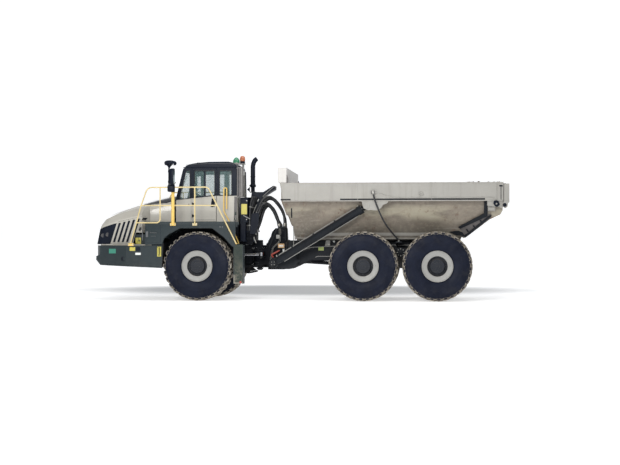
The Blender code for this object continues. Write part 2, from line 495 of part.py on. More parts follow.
# hydraulic hoses from the shelf behind the cab, over and down to the hitch tower
HOSE_NEAR = ((-1.38, 1.901), (-1.38, 2.02), (-1.31, 2.32), (-1.20, 2.60), (-1.08, 2.70), (-0.96, 2.715), (-0.83, 2.61), (-0.70, 2.39), (-0.61, 2.15), (-0.60, 1.99))
HOSE_FAR = ((-1.46, 1.901), (-1.46, 2.04), (-1.36, 2.40), (-1.24, 2.70), (-1.10, 2.86), (-0.95, 2.885), (-0.74, 2.78), (-0.60, 2.58), (-0.50, 2.38), (-0.50, 1.99))
HOSE_LINES = ((-0.45, -0.15, HOSE_NEAR), (-0.36, -0.05, HOSE_FAR), (-0.25, 0.05, HOSE_NEAR), (-0.14, 0.15, HOSE_FAR))   # y at the tray, y at the hitch, run of (x, z)
hose_parts = [block(-0.67, -0.455, -0.20, 0.20, 1.9705, 2.02)]
for y0, y1, line in HOSE_LINES:
    hose_parts.append(tube([(x, y0 + (y1 - y0) * min(1, max(0, k - 1) / (len(line) - 3)), z) for k, (x, z) in enumerate(line)], 0.032, 8))
finish(weld(*hose_parts), "articulation_hoses", "black", "hitch")

# ---- trailer frame, axles, beams -----------------------------------------------------------------------------------------------
TRAILER_RAIL = [(-0.34, 0.83), (-0.26, 0.845), (0.02, 0.98), (0.30, 1.08), (1.20, 1.08), (1.42, 1.27), (4.10, 1.27), (4.24, 1.38),
                (4.28, 1.50), (4.24, 1.62), (4.18, 1.63), (-0.34, 1.63)]
FORK = [(-0.30, 0.835), (-0.80, 0.84), (-0.87, 0.94), (-0.84, 1.08), (-0.70, 1.16), (-0.30, 1.40)]
tf = []
for _, s in SIDES:
    tf.append(prism(TRAILER_RAIL, *both(0.36, 0.50, s)))
    tf.append(prism(FORK, *both(0.49, 0.60, s)))
    tf.append(block(-0.335, -0.10, *both(0.48, 0.5995, s), 0.84, 1.50))
    tf.append(rod((HOIST_LOW[0], s * 0.55, HOIST_LOW[2]), (HOIST_LOW[0], s * 0.96, HOIST_LOW[2]), 0.055, 12))
    tf.append(block(2.62, 2.78, *both(0.48, 1.05, s), 1.555, 1.60))      # outrigger of the tailgate rope
for x0, x1, w, z0, z1 in ((-0.345, -0.25, 0.49, 0.86, 1.62), (0.95, 1.10, 0.40, 1.15, 1.55), (2.65, 2.85, 0.40, 1.32, 1.60), (4.00, 4.12, 0.40, 1.33, 1.60)):
    tf.append(block(x0, x1, -w, w, z0, z1))
tf.append(rod((2.75, -0.60, 1.33), (2.75, 0.60, 1.33), 0.075, 12))
tf.append(rod((TIP[0], -0.506, TIP[2]), (TIP[0], 0.506, TIP[2]), 0.05, 12))
finish(weld(*tf), "trailer_frame", "charcoal", "trailer")
for name, x in (("mid_axle", MID_X), ("rear_axle", REAR_X)):
    finish(axle(x, (0.62, 0.78, 1.13)), name, "black", "trailer")
BEAM = [(1.62, 1.1305), (1.92, 1.1305), (2.45, 1.20), (2.60, 1.17), (2.90, 1.17), (3.05, 1.20), (3.58, 1.1305), (3.88, 1.1305), (3.86, 1.26),
        (3.10, 1.42), (2.40, 1.42), (1.64, 1.26)]
for side, s in SIDES:
    finish(prism(BEAM, *both(0.605, 0.79, s)), "walking_beam_" + side, "black", "trailer")

# ---- tipping body -----------------------------------------------------------------------------------------------------------------
TUB_SIDE = [(-0.455, 3.12), (-0.40, 2.67), (-0.15, 2.02), (-0.145, 1.745), (4.42, 1.745), (4.50, 1.70), (5.12, 2.18), (5.40, 2.31),
            (5.46, 2.42), (5.46, 3.12)]
TUB_SIDE_IN = [(-0.415, 3.4), (-0.355, 2.68), (-0.105, 2.03), (-0.10, 1.79), (4.02, 1.79), (5.70, 2.60), (5.70, 3.4)]
TUB_END = mirrored([(1.44, 3.5), (1.44, 2.66), (0.88, 1.745), (0.80, 1.60)])
TUB_END_IN = mirrored([(1.40, 3.5), (1.40, 2.675), (0.835, 1.79), (0.80, 1.74)])
outer = common(prism(TUB_SIDE, -1.6, 1.6), prism(TUB_END, -0.6, 5.8, "X"))
inner = common(prism(TUB_SIDE_IN, -1.6, 1.6), prism(TUB_END_IN, -0.6, 5.9, "X"))
tub = cut(outer, inner)
GUARD = mirrored([(1.36, 3.535), (1.56, 3.47), (1.645, 3.34), (1.645, 3.17)])
GUARD = [(0.9, 3.56)] + GUARD + [(-0.9, 3.56)]
extras = [common(prism(GUARD, -0.505, -0.29, "X"), prism([(-0.52, 3.165), (-0.50, 3.7), (-0.28, 3.7), (-0.28, 3.165)], -2, 2)),
          block(-0.452, -0.40, -1.42, 1.42, 3.08, 3.20)]
guard_hollow = prism([(-0.455, 3.21), (-0.2, 3.21), (-0.2, 3.50), (-0.30, 3.50), (-0.455, 3.44)], -1.30, 1.30)
extras[0] = cut(extras[0], guard_hollow)
for _, s in SIDES:
    extras.append(block(-0.12, 3.98, *both(0.37, 0.49, s), 1.6325, 1.76))       # runners on the frame
    extras.append(block(-0.10, 4.30, *both(0.78, 0.868, s), 1.665, 1.80))       # sill along the floor's edge
    extras.append(prism([(3.98, 1.78), (4.42, 1.76), (4.27, 1.43), (4.16, 1.38), (4.05, 1.43)], *both(0.515, 0.60, s)))
tub = weld(tub, *extras)
finish(tub, "dump_tub", "tub", "dump")
RAIL_SIDE = [(-0.46, RAIL_TOP), (-0.375, RAIL_BOT), (5.46, RAIL_BOT), (5.46, RAIL_TOP)]
LUG = [(1.74, 2.70), (1.74, 2.60), (1.78, 2.47), (1.90, 2.42), (2.08, 2.44), (2.30, 2.56), (2.42, 2.70)]
TAIL_LUG = [(5.04, 2.70), (5.04, 2.54), (5.36, 2.50), (5.42, 2.47), (5.46, 2.50), (5.46, 2.70)]
for side, s in SIDES:
    rail = weld(prism(RAIL_SIDE, *both(RAIL_IN, RAIL_OUT, s)), prism(LUG, *both(1.615, 1.645, s)),
                prism(TAIL_LUG, *both(1.50, 1.62, s)))
    finish(rail, "side_rail_" + side, "beige", "dump")
gate_parts = [block(5.475, 5.525, -1.64, 1.64, 2.62, 3.13)]
gate_parts += [block(5.51, HALF_LENGTH, y - 0.04, y + 0.04, 2.62, 3.12) for y in (-1.60, -0.8, 0.0, 0.8, 1.60)]
gate_parts.append(block(5.51, HALF_LENGTH - 0.005, -1.61, 1.61, 3.04, 3.115))
gate_parts.append(block(5.51, HALF_LENGTH - 0.01, -1.61, 1.61, 2.63, 2.70))
for _, s in SIDES:
    gate_parts.append(prism([(5.475, 2.66), (5.44, 2.60), (5.44, 2.52), (5.50, 2.46), (5.56, 2.50), (5.60, 2.66)], *both(1.626, 1.66, s)))
finish(weld(*gate_parts), "tailgate", "beige", "gate")
# rope that works the tailgate, hung loosely from its guide on the rail to the frame's outrigger
for side, s in SIDES:
    line = [(2.03, 1.70, 2.88), (2.06, 1.70, 2.76), (2.11, 1.69, 2.60), (2.19, 1.66, 2.40), (2.29, 1.58, 2.18), (2.41, 1.44, 1.98), (2.55, 1.22, 1.80), (2.64, 1.08, 1.70), (2.70, 1.00, 1.62)]
    guide = block(1.99, 2.07, *both(RAIL_OUT + GAP, 1.70, s), 2.86, 2.93)
    finish(weld(tube([(x, s * y, z) for x, y, z in line], 0.018, 6), guide), "tailgate_rope_" + side, "black", "dump")

# ---- hoist cylinders --------------------------------------------------------------------------------------------------------------------
for side, s in SIDES:
    low = Vector((HOIST_LOW[0], s * HOIST_LOW[1], HOIST_LOW[2]))
    top = Vector((HOIST_TOP[0], s * HOIST_TOP[1], HOIST_TOP[2]))
    d = (top - low).normalized()
    length = (top - low).length
    eye = turned([(-0.06, 0.075), (-0.06, 0.115), (0.06, 0.115), (0.06, 0.075)], low, (0, 1, 0), 16)
    barrel = turned([(0.105, 0), (0.105, 0.08), (0.18, 0.10), (2.80, 0.10), (2.80, 0.112), (2.92, 0.112), (2.92, 0.056), (0.18, 0.056), (0.18, 0)], low, d, 16)
    finish(weld(barrel, eye), "hoist_barrel_" + side, "charcoal", "hoist_barrel_" + side)
    shaft = rod(low + d * (length - HOIST_ROD_IN + 0.01), low + d * (length - 0.06), 0.045, 16)
    top_eye = turned([(-0.045, 0), (-0.045, 0.095), (0.045, 0.095), (0.045, 0)], top, (0, 1, 0), 16)
    finish(weld(shaft, top_eye), "hoist_rod_" + side, "chrome", "hoist_rod_" + side)
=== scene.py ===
"""Looks of the articulated dump truck: its paint, glass, rubber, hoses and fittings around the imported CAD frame."""

import json
import math
import random

import bmesh
import bpy
from mathutils import Matrix, Vector, noise


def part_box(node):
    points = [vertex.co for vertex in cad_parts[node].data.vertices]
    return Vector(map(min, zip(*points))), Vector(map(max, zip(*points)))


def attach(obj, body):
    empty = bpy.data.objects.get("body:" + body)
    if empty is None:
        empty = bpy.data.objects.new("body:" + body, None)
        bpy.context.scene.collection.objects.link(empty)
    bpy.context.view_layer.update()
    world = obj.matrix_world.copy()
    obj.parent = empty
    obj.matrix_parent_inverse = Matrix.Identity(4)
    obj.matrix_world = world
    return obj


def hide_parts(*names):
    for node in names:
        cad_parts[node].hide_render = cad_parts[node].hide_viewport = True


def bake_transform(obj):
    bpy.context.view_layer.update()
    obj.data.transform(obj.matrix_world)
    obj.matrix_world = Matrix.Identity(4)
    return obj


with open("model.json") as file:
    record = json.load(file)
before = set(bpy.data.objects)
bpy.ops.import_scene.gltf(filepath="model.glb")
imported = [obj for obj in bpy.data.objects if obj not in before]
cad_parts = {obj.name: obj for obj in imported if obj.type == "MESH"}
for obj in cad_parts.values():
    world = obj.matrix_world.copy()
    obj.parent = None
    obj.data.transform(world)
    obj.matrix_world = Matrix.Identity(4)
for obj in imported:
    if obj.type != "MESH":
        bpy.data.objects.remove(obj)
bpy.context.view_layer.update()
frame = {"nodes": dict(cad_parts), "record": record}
scene = bpy.context.scene

# ---- the camera that the photograph was fitted with, the floor and the light ------------------------------------
cam_data = bpy.data.cameras.new("camera")
cam_data.lens, cam_data.sensor_width, cam_data.clip_end = 72.34, 36.0, 300.0
camera = bpy.data.objects.new("camera", cam_data)
scene.collection.objects.link(camera)
camera.location = (3.245, -34.715, 1.5)
camera.rotation_euler = (math.pi / 2 + math.radians(0.575), 0, math.radians(5))
scene.camera = camera
scene.view_settings.view_transform = "Standard"

# ---- dimensions shared with the CAD --------------------------------------------------------------------------------
TYRE_R, TYRE_W = 0.9375, 0.75
AXLE_Z = TYRE_R * math.cos(math.pi / 32)
TYRE_MID = 1.715 - TYRE_W / 2
FRONT_X, MID_X, REAR_X = -2.69, 1.765, 3.73
HITCH_X, HITCH_Z = -1.20, 1.25
TIP = Vector((4.15, 0.0, 1.50))
GATE = Vector((5.49, 0.0, 2.553))
RAIL_IN, RAIL_OUT, RAIL_BOT, RAIL_TOP = 1.4405, 1.66, 2.67, 3.16
DECK_TOP, DECK_Y = 2.13, 1.62
RAILING_Y = 1.655
SIDES = (("left", -1), ("right", 1))


# ---- materials ---------------------------------------------------------------------------------------------------------
class Tree:
    """Short names for building a material's nodes."""

    def __init__(self, name):
        self.m = bpy.data.materials.new(name)
        self.m.use_nodes = True
        self.t = self.m.node_tree
        self.out = self.t.nodes["Material Output"]
        self.bsdf = self.t.nodes["Principled BSDF"]
        self.co = self.node("ShaderNodeTexCoord")

    def node(self, kind, **props):
        n = self.t.nodes.new(kind)
        for k, v in props.items():
            setattr(n, k, v)
        return n

    def link(self, a, b):
        self.t.links.new(a, b)

    def put(self, socket, value):
        if isinstance(value, bpy.types.NodeSocket):
            self.link(value, socket)
        elif isinstance(value, (tuple, list)) and len(value) == 3 and socket.type == "RGBA":
            socket.default_value = (*value, 1.0)
        else:
            socket.default_value = value

    def math(self, op, a, b=0.5, c=0.0, clamp=False):
        n = self.node("ShaderNodeMath", operation=op, use_clamp=clamp)
        for s, v in zip(n.inputs, (a, b, c)):
            self.put(s, v)
        return n.outputs[0]

    def mix(self, f, a, b, kind="MIX"):
        n = self.node("ShaderNodeMix", data_type="RGBA", blend_type=kind)
        n.clamp_factor = True
        self.put(n.inputs[0], f)
        self.put(n.inputs[6], a)
        self.put(n.inputs[7], b)
        return n.outputs[2]

    def mapped(self, scale=(1, 1, 1), loc=(0, 0, 0), rot=(0, 0, 0)):
        n = self.node("ShaderNodeMapping")
        n.inputs["Scale"].default_value = scale
        n.inputs["Location"].default_value = loc
        n.inputs["Rotation"].default_value = rot
        self.link(self.co.outputs["Object"], n.inputs["Vector"])
        return n.outputs[0]

    def noise(self, scale, detail=3.0, rough=0.55, vector=None, distort=0.0):
        n = self.node("ShaderNodeTexNoise")
        n.inputs["Scale"].default_value = scale
        n.inputs["Detail"].default_value = detail
        n.inputs["Roughness"].default_value = rough
        n.inputs["Distortion"].default_value = distort
        self.link(vector or self.co.outputs["Object"], n.inputs["Vector"])
        return n.outputs["Fac"]

    def voronoi(self, scale, vector=None, feature="F1"):
        n = self.node("ShaderNodeTexVoronoi", feature=feature)
        n.inputs["Scale"].default_value = scale
        self.link(vector or self.co.outputs["Object"], n.inputs["Vector"])
        return n.outputs["Distance"]

    def span(self, v, a, b, lo=0.0, hi=1.0):
        n = self.node("ShaderNodeMapRange", interpolation_type="SMOOTHSTEP")
        self.put(n.inputs["Value"], v)
        n.inputs["From Min"].default_value, n.inputs["From Max"].default_value = a, b
        n.inputs["To Min"].default_value, n.inputs["To Max"].default_value = lo, hi
        return n.outputs[0]

    def axis(self, which, source="Object"):
        n = self.node("ShaderNodeSeparateXYZ")
        self.link(self.co.outputs[source], n.inputs[0])
        return n.outputs[which]

    def edges(self, radius=0.01, low=0.02, high=0.25, samples=3):
        """1 on convex and concave edges: where the normal rounded off over the radius leaves the surface's own."""
        bev = self.node("ShaderNodeBevel", samples=samples)
        bev.inputs["Radius"].default_value = radius
        geo = self.node("ShaderNodeNewGeometry")
        dot = self.node("ShaderNodeVectorMath", operation="DOT_PRODUCT")
        self.link(bev.outputs[0], dot.inputs[0])
        self.link(geo.outputs["Normal"], dot.inputs[1])
        return self.span(self.math("SUBTRACT", 1.0, dot.outputs["Value"]), low, high)

    def bump(self, height, strength=0.2, distance=0.01):
        n = self.node("ShaderNodeBump")
        n.inputs["Strength"].default_value = strength
        n.inputs["Distance"].default_value = distance
        self.link(height, n.inputs["Height"])
        self.link(n.outputs[0], self.bsdf.inputs["Normal"])
        return n


DUST = (0.36, 0.31, 0.25)


def painted(name, base, rough=0.42, dust=0.35, wear=0.5, under=(0.06, 0.05, 0.045), mud=None, mottle=0.12, streaks=0.25, metallic=0.0, coat=0.0, edge_r=0.006, seed=0.0, spec=0.5):
    """Paint on steel: faded patches, rain streaks, dust on what faces up, mud low down, and chips along edges."""
    t = Tree(name)
    # how much settled dust the fine mottle and the streaks hold: little on dark paint, or it would turn grey
    film = 0.12 if sum(base) > 0.3 else 0.012
    shift = t.mapped(loc=(seed, seed * 0.7, seed * 1.3))
    patches = t.noise(0.9, 5.0, 0.6, shift)
    col = t.mix(t.span(patches, 0.3, 0.7), tuple(c * (1 - mottle) for c in base), tuple(min(1, c * (1 + mottle)) for c in base))
    fine = t.noise(14.0, 4.0, 0.65, shift)
    col = t.mix(t.span(fine, 0.42, 0.75, 0, 0.28), col, tuple(c * 0.78 + d * film for c, d in zip(base, DUST)))
    run = t.noise(1.0, 4.0, 0.6, t.mapped((7.0, 7.0, 0.45), (seed, 0, 0)))
    col = t.mix(t.span(run, 0.52, 0.72, 0, streaks), col, tuple(c * 0.55 + d * film * 1.35 for c, d in zip(base, DUST)))
    up = t.span(t.axis(2, "Normal"), 0.35, 0.95)
    lay = t.math("MULTIPLY", up, t.span(t.noise(5.0, 5.0, 0.7, shift), 0.30, 0.62, 0.25, 1.0))
    dusty = t.math("MULTIPLY", lay, dust)
    speck = t.span(t.noise(34.0, 3.0, 0.7, shift), 0.56, 0.70, 0, 0.35 * dust)
    dusty = t.math("MAXIMUM", dusty, speck)
    if mud:
        low = t.span(t.math("ADD", t.axis(2), t.math("MULTIPLY", t.math("SUBTRACT", patches, 0.5), 0.9)), mud[0], mud[1], 1.0, 0.0)
        splash = t.span(t.noise(9.0, 6.0, 0.72, shift), 0.38, 0.60)
        dusty = t.math("MAXIMUM", dusty, t.math("MULTIPLY", t.math("MULTIPLY", low, splash), mud[2]))
    col = t.mix(dusty, col, DUST)
    if wear:
        worn = t.math("MULTIPLY", t.edges(edge_r), t.span(t.noise(22.0, 4.0, 0.7, shift), 0.62 - 0.25 * wear, 0.66, 0.0, 1.0))
        col = t.mix(worn, col, under)
    else:
        worn = fine
    t.link(col, t.bsdf.inputs["Base Color"])
    r = t.math("ADD", rough, t.math("MULTIPLY", dusty, 0.85 - rough))
    r = t.math("ADD", r, t.span(fine, 0.3, 0.8, -0.06, 0.10), clamp=True)
    t.link(r, t.bsdf.inputs["Roughness"])
    t.bsdf.inputs["Metallic"].default_value = metallic
    t.bsdf.inputs["Specular IOR Level"].default_value = spec
    t.bsdf.inputs["Coat Weight"].default_value = coat
    t.bsdf.inputs["Coat Roughness"].default_value = 0.12
    t.bump(t.math("ADD", t.math("MULTIPLY", t.noise(90.0, 3.0, 0.6), 0.25), t.math("ADD", t.math("MULTIPLY", dusty, 0.5), t.math("MULTIPLY", patches, 0.6))), 0.16, 0.006)
    return t.m


MAT = {}
MAT["stone"] = painted("stone_paint", (0.425, 0.408, 0.362), 0.36, 0.30, 0.35, (0.16, 0.13, 0.11), (0.9, 2.4, 0.25), 0.05, 0.20, coat=0.25)
MAT["rail"] = painted("rail_paint", (0.315, 0.305, 0.280), 0.46, 0.55, 0.7, (0.13, 0.085, 0.06), None, 0.07, 0.42, seed=3.1)
MAT["charcoal"] = painted("charcoal_paint", (0.0190, 0.0285, 0.0325), 0.44, 0.09, 0.5, (0.11, 0.105, 0.10), (0.4, 1.5, 0.05), 0.14, 0.20, seed=1.7, spec=0.26)
MAT["black"] = painted("black_paint", (0.0060, 0.0095, 0.0190), 0.42, 0.03, 0.4, (0.050, 0.052, 0.056), (0.3, 1.3, 0.05), 0.25, 0.18, seed=5.2, spec=0.12)
MAT["frame"] = painted("frame_paint", (0.0125, 0.0150, 0.0190), 0.50, 0.10, 0.5, (0.09, 0.078, 0.068), (0.3, 1.25, 0.12), 0.22, 0.26, seed=7.7, spec=0.12)
MAT["void"] = painted("shadowed_black_paint", (0.0060, 0.0072, 0.0100), 0.60, 0.1, 0.3, (0.05, 0.045, 0.04), (0.3, 1.1, 0.08), 0.25, 0.16, seed=8.3, spec=0.05)
MAT["grey_part"] = painted("grey_part_paint", (0.30, 0.30, 0.285), 0.44, 0.35, 0.5, (0.10, 0.09, 0.08), None, 0.10, 0.25, seed=8.9)
MAT["brown_panel"] = painted("grey_brown_paint", (0.090, 0.083, 0.082), 0.46, 0.35, 0.4, (0.06, 0.055, 0.05), None, 0.12, 0.25, seed=9.7)
MAT["green_dark"] = painted("dark_green_paint", (0.030, 0.043, 0.036), 0.50, 0.3, 0.5, (0.12, 0.11, 0.09), (0.4, 1.2, 0.45), 0.20, 0.30, seed=10.3, spec=0.2)
MAT["red_paint"] = painted("red_lever_paint", (0.42, 0.060, 0.040), 0.40, 0.25, 0.5, (0.12, 0.08, 0.07), None, 0.10, 0.15, seed=10.9)
MAT["yellow"] = painted("yellow_paint", (0.78, 0.53, 0.13), 0.40, 0.30, 0.8, (0.20, 0.16, 0.12), None, 0.10, 0.16, seed=2.3)
MAT["pale_yellow"] = painted("pale_yellow_paint", (0.66, 0.535, 0.265), 0.42, 0.38, 0.8, (0.24, 0.20, 0.15), None, 0.10, 0.16, seed=2.9)
MAT["rim"] = painted("rim_paint", (0.270, 0.268, 0.255), 0.48, 0.45, 0.5, (0.14, 0.12, 0.10), (-5, -4, 0.1), 0.08, 0.12, seed=4.4)
MAT["hub"] = painted("hub_paint", (0.016, 0.019, 0.026), 0.46, 0.35, 0.5, (0.12, 0.11, 0.10), None, 0.2, 0.1, seed=4.9, spec=0.2)
MAT["decal_yellow"] = painted("yellow_film", (0.52, 0.455, 0.075), 0.35, 0.25, 0.0, mottle=0.06, streaks=0.15)
MAT["decal_white"] = painted("white_film", (0.72, 0.74, 0.72), 0.35, 0.25, 0.0, mottle=0.05, streaks=0.15)
MAT["decal_green"] = painted("green_film", (0.035, 0.215, 0.150), 0.35, 0.2, 0.0, mottle=0.08, streaks=0.15)
MAT["decal_lime"] = painted("lime_film", (0.36, 0.44, 0.12), 0.4, 0.3, 0.0, mottle=0.08, streaks=0.15)
MAT["decal_orange"] = painted("orange_film", (0.56, 0.34, 0.15), 0.4, 0.3, 0.0, mottle=0.08, streaks=0.15)
MAT["decal_red"] = painted("red_film", (0.38, 0.05, 0.035), 0.4, 0.3, 0.0, mottle=0.08, streaks=0.15)
MAT["stripe"] = painted("stripe_film", (0.012, 0.014, 0.018), 0.40, 0.2, 0.35, (0.40, 0.37, 0.33), None, 0.2, 0.2, seed=6.0, spec=0.15)


def body_side():
    """The load body's side: brown-grey worn paint, a pale yellowish band across its middle as painted highlight, rust
    runs, and darker along its lower edge.
    """
    t = Tree("body_worn_paint_with_painted_highlight")
    p = t.noise(0.55, 6.0, 0.62, t.mapped((1.0, 1.0, 1.3), (2.0, 0, 0.4)))
    col = t.mix(t.span(p, 0.32, 0.70), (0.150, 0.128, 0.102), (0.245, 0.212, 0.172))
    z = t.math("ADD", t.axis(2), t.math("MULTIPLY", t.math("SUBTRACT", t.noise(0.8, 4.0, 0.6), 0.5), 0.45))
    # painted highlight: a pale yellowish band across the side's middle, broken up along its length
    band = t.math("MULTIPLY", t.span(z, 2.05, 2.28), t.span(z, 2.42, 2.62, 1.0, 0.0))
    along = t.span(t.noise(0.7, 5.0, 0.68, t.mapped((0.8, 0.8, 3.0), (5.2, 0, 0))), 0.40, 0.64)
    col = t.mix(t.math("MULTIPLY", t.math("MULTIPLY", band, along), 0.75), col, (0.40, 0.37, 0.28))
    # darker towards the bottom of the side
    low = t.span(z, 1.70, 2.20, 1.0, 0.0)
    col = t.mix(t.math("MULTIPLY", low, 0.55), col, (0.085, 0.085, 0.072))
    run = t.noise(1.0, 5.0, 0.65, t.mapped((6.5, 6.5, 0.35), (1, 0, 0)))
    col = t.mix(t.span(run, 0.54, 0.74, 0, 0.65), col, (0.105, 0.066, 0.044))
    scratch = t.noise(1.0, 3.0, 0.7, t.mapped((1.6, 1.6, 26.0), (0, 0, 0), (0, 0.10, 0)))
    col = t.mix(t.span(scratch, 0.60, 0.70, 0, 0.40), col, (0.36, 0.33, 0.29))
    rust = t.math("MULTIPLY", t.span(t.noise(3.6, 7.0, 0.72), 0.57, 0.67), t.span(t.noise(0.9, 2.0), 0.42, 0.58))
    col = t.mix(t.math("MULTIPLY", rust, 0.75), col, (0.130, 0.060, 0.032))
    dust = t.span(t.noise(11.0, 5.0, 0.7), 0.46, 0.66, 0, 0.35)
    col = t.mix(dust, col, (0.30, 0.26, 0.21))
    worn = t.math("MULTIPLY", t.edges(0.012), t.span(t.noise(12.0, 4.0, 0.7), 0.42, 0.55))
    col = t.mix(worn, col, (0.070, 0.045, 0.032))
    t.link(col, t.bsdf.inputs["Base Color"])
    t.link(t.span(p, 0.2, 0.8, 0.50, 0.78), t.bsdf.inputs["Roughness"])
    h = t.math("ADD", t.math("MULTIPLY", t.noise(2.2, 4.0, 0.55), 1.6), t.math("ADD", t.math("MULTIPLY", rust, -0.15), t.math("MULTIPLY", scratch, 0.10)))
    t.bump(h, 0.30, 0.03)
    return t.m


def body_inside():
    """Bare, rock-scoured plate: polished steel-grey, long scratches along the floor, rust bloom and clay."""
    t = Tree("body_inside_steel")
    p = t.noise(1.1, 6.0, 0.65)
    col = t.mix(t.span(p, 0.3, 0.7), (0.135, 0.118, 0.100), (0.27, 0.245, 0.215))
    s = t.noise(1.0, 4.0, 0.75, t.mapped((1.2, 30.0, 30.0)))
    col = t.mix(t.span(s, 0.55, 0.70, 0, 0.6), col, (0.36, 0.345, 0.32))
    rust = t.span(t.noise(2.4, 7.0, 0.7, t.mapped(loc=(4, 1, 0))), 0.50, 0.66, 0, 0.8)
    col = t.mix(rust, col, (0.150, 0.080, 0.048))
    clay = t.math("MULTIPLY", t.span(t.noise(4.0, 6.0, 0.7), 0.48, 0.60), t.span(t.axis(2), 1.9, 2.9, 0.85, 0.25))
    col = t.mix(clay, col, (0.29, 0.235, 0.175))
    t.link(col, t.bsdf.inputs["Base Color"])
    t.link(t.math("ADD", t.span(p, 0.2, 0.8, 0.42, 0.66), t.math("MULTIPLY", clay, 0.25), clamp=True), t.bsdf.inputs["Roughness"])
    t.link(t.span(rust, 0.0, 0.6, 0.55, 0.05), t.bsdf.inputs["Metallic"])
    t.bump(t.math("ADD", t.math("MULTIPLY", s, 0.5), t.math("ADD", t.math("MULTIPLY", clay, 0.8), t.math("MULTIPLY", t.noise(1.8, 3.0), 1.5))), 0.4, 0.02)
    return t.m


def rubber(name, kind):
    """Tyre rubber: "wall" is clean blue-black with faint rings, "lug" carries dried mud on its tread faces and a pale
    line along its edges, partly dried mud and partly painted highlight, but is rubbed dark on its ends, and "groove" is
    full of mud.
    """
    t = Tree(name)
    # each wheel reads its own stretch of the noise
    info = t.node("ShaderNodeObjectInfo")
    moved = t.node("ShaderNodeVectorMath", operation="ADD")
    t.link(t.co.outputs["Object"], moved.inputs[0])
    t.link(t.math("MULTIPLY", info.outputs["Random"], 37.0), moved.inputs[1])
    own = moved.outputs[0]
    p = t.noise(2.6, 5.0, 0.65, own)
    col = t.mix(t.span(p, 0.3, 0.7), (0.0050, 0.0068, 0.0150), (0.0095, 0.0125, 0.0250))
    # distance from the wheel's axis, which runs along Y through the mesh's own origin
    n = t.node("ShaderNodeSeparateXYZ")
    t.link(t.co.outputs["Object"], n.inputs[0])
    r = t.math("SQRT", t.math("ADD", t.math("MULTIPLY", n.outputs[0], n.outputs[0]), t.math("MULTIPLY", n.outputs[2], n.outputs[2])))
    if kind == "wall":
        wet = t.span(t.noise(1.5, 4.0, 0.6, own), 0.35, 0.65, 0.40, 0.62)
        film = t.math("MULTIPLY", t.span(t.noise(5.0, 6.0, 0.7, own), 0.46, 0.72), t.span(r, 0.42, 0.86, 0.04, 0.20))
        col = t.mix(film, col, (0.060, 0.057, 0.056))
        t.link(t.math("ADD", wet, t.math("MULTIPLY", film, 0.3), clamp=True), t.bsdf.inputs["Roughness"])
        rings = t.math("SINE", t.math("MULTIPLY", r, 190.0))
        t.bump(t.math("ADD", t.math("MULTIPLY", rings, 0.10), t.math("MULTIPLY", t.noise(45.0, 3.0), 0.5)), 0.16, 0.004)
    else:
        sideways = t.math("ABSOLUTE", t.axis(1, "Normal"))
        mud = t.span(t.noise(8.5, 6.0, 0.75, own), 0.33, 0.58)
        if kind == "lug":
            face = t.span(sideways, 0.62, 0.90, 1.0, 0.0)
            # pale line along the lugs' edges: partly dried mud, partly painted highlight
            edge = t.math("MULTIPLY", t.edges(0.020, 0.010, 0.12), t.span(t.noise(7.0, 4.0, 0.7, own), 0.40, 0.54, 0.10, 0.95))
            amount = t.math("MULTIPLY", face, t.math("ADD", t.math("MULTIPLY", mud, 0.50), 0.25))
            # the lugs' ends down the sidewall are rubbed clean, so their edges hold little of the mud and painted
            # highlight
            amount = t.math("MAXIMUM", amount, t.math("MULTIPLY", edge, t.span(sideways, 0.55, 0.93, 1.0, 0.10)))
        else:
            amount = t.math("MULTIPLY", t.math("ADD", t.math("MULTIPLY", mud, 0.35), t.span(sideways, 0.35, 0.95, 0.30, 0.08)), t.span(r, 0.80, 0.86, 0.25, 1.0))
        tone = t.mix(t.noise(3.1, 5.0, 0.7, own), (0.21, 0.165, 0.120), (0.72, 0.67, 0.57))
        col = t.mix(amount, col, tone)
        t.link(t.math("ADD", 0.62, t.math("MULTIPLY", amount, 0.33)), t.bsdf.inputs["Roughness"])
        t.bump(t.math("ADD", t.noise(60.0, 4.0, 0.7), t.math("MULTIPLY", amount, 2.0)), 0.35, 0.006)
    t.link(col, t.bsdf.inputs["Base Color"])
    t.bsdf.inputs["Specular IOR Level"].default_value = 0.10
    return t.m


def hose_rubber():
    t = Tree("hose_rubber")
    p = t.noise(6.0, 4.0, 0.6)
    col = t.mix(t.span(p, 0.35, 0.7), (0.010, 0.011, 0.014), (0.026, 0.027, 0.030))
    dust = t.math("MULTIPLY", t.span(t.axis(2, "Normal"), 0.3, 1.0), t.span(t.noise(12.0, 5.0, 0.7), 0.4, 0.6, 0, 0.5))
    col = t.mix(dust, col, (0.20, 0.18, 0.15))
    t.link(col, t.bsdf.inputs["Base Color"])
    t.link(t.span(p, 0.3, 0.8, 0.34, 0.52), t.bsdf.inputs["Roughness"])
    braid = t.node("ShaderNodeTexWave", wave_type="BANDS")
    braid.bands_direction = "DIAGONAL"
    braid.inputs["Scale"].default_value = 60.0
    t.link(t.co.outputs["Object"], braid.inputs["Vector"])
    t.bump(braid.outputs["Fac"], 0.12, 0.002)
    return t.m


def bright_metal(name, base, rough, scratch=(40.0, 40.0, 3.0), grime=(0.10, 0.085, 0.07), amount=0.4):
    t = Tree(name)
    s = t.noise(1.0, 4.0, 0.7, t.mapped(scratch))
    g = t.span(t.noise(6.0, 6.0, 0.7), 0.52, 0.68, 0, amount)
    t.link(t.mix(g, base, grime), t.bsdf.inputs["Base Color"])
    t.link(t.math("SUBTRACT", 1.0, g), t.bsdf.inputs["Metallic"])
    t.link(t.math("ADD", t.span(s, 0.3, 0.7, rough * 0.7, rough * 1.4), t.math("MULTIPLY", g, 0.5), clamp=True), t.bsdf.inputs["Roughness"])
    t.bump(s, 0.06, 0.002)
    return t.m


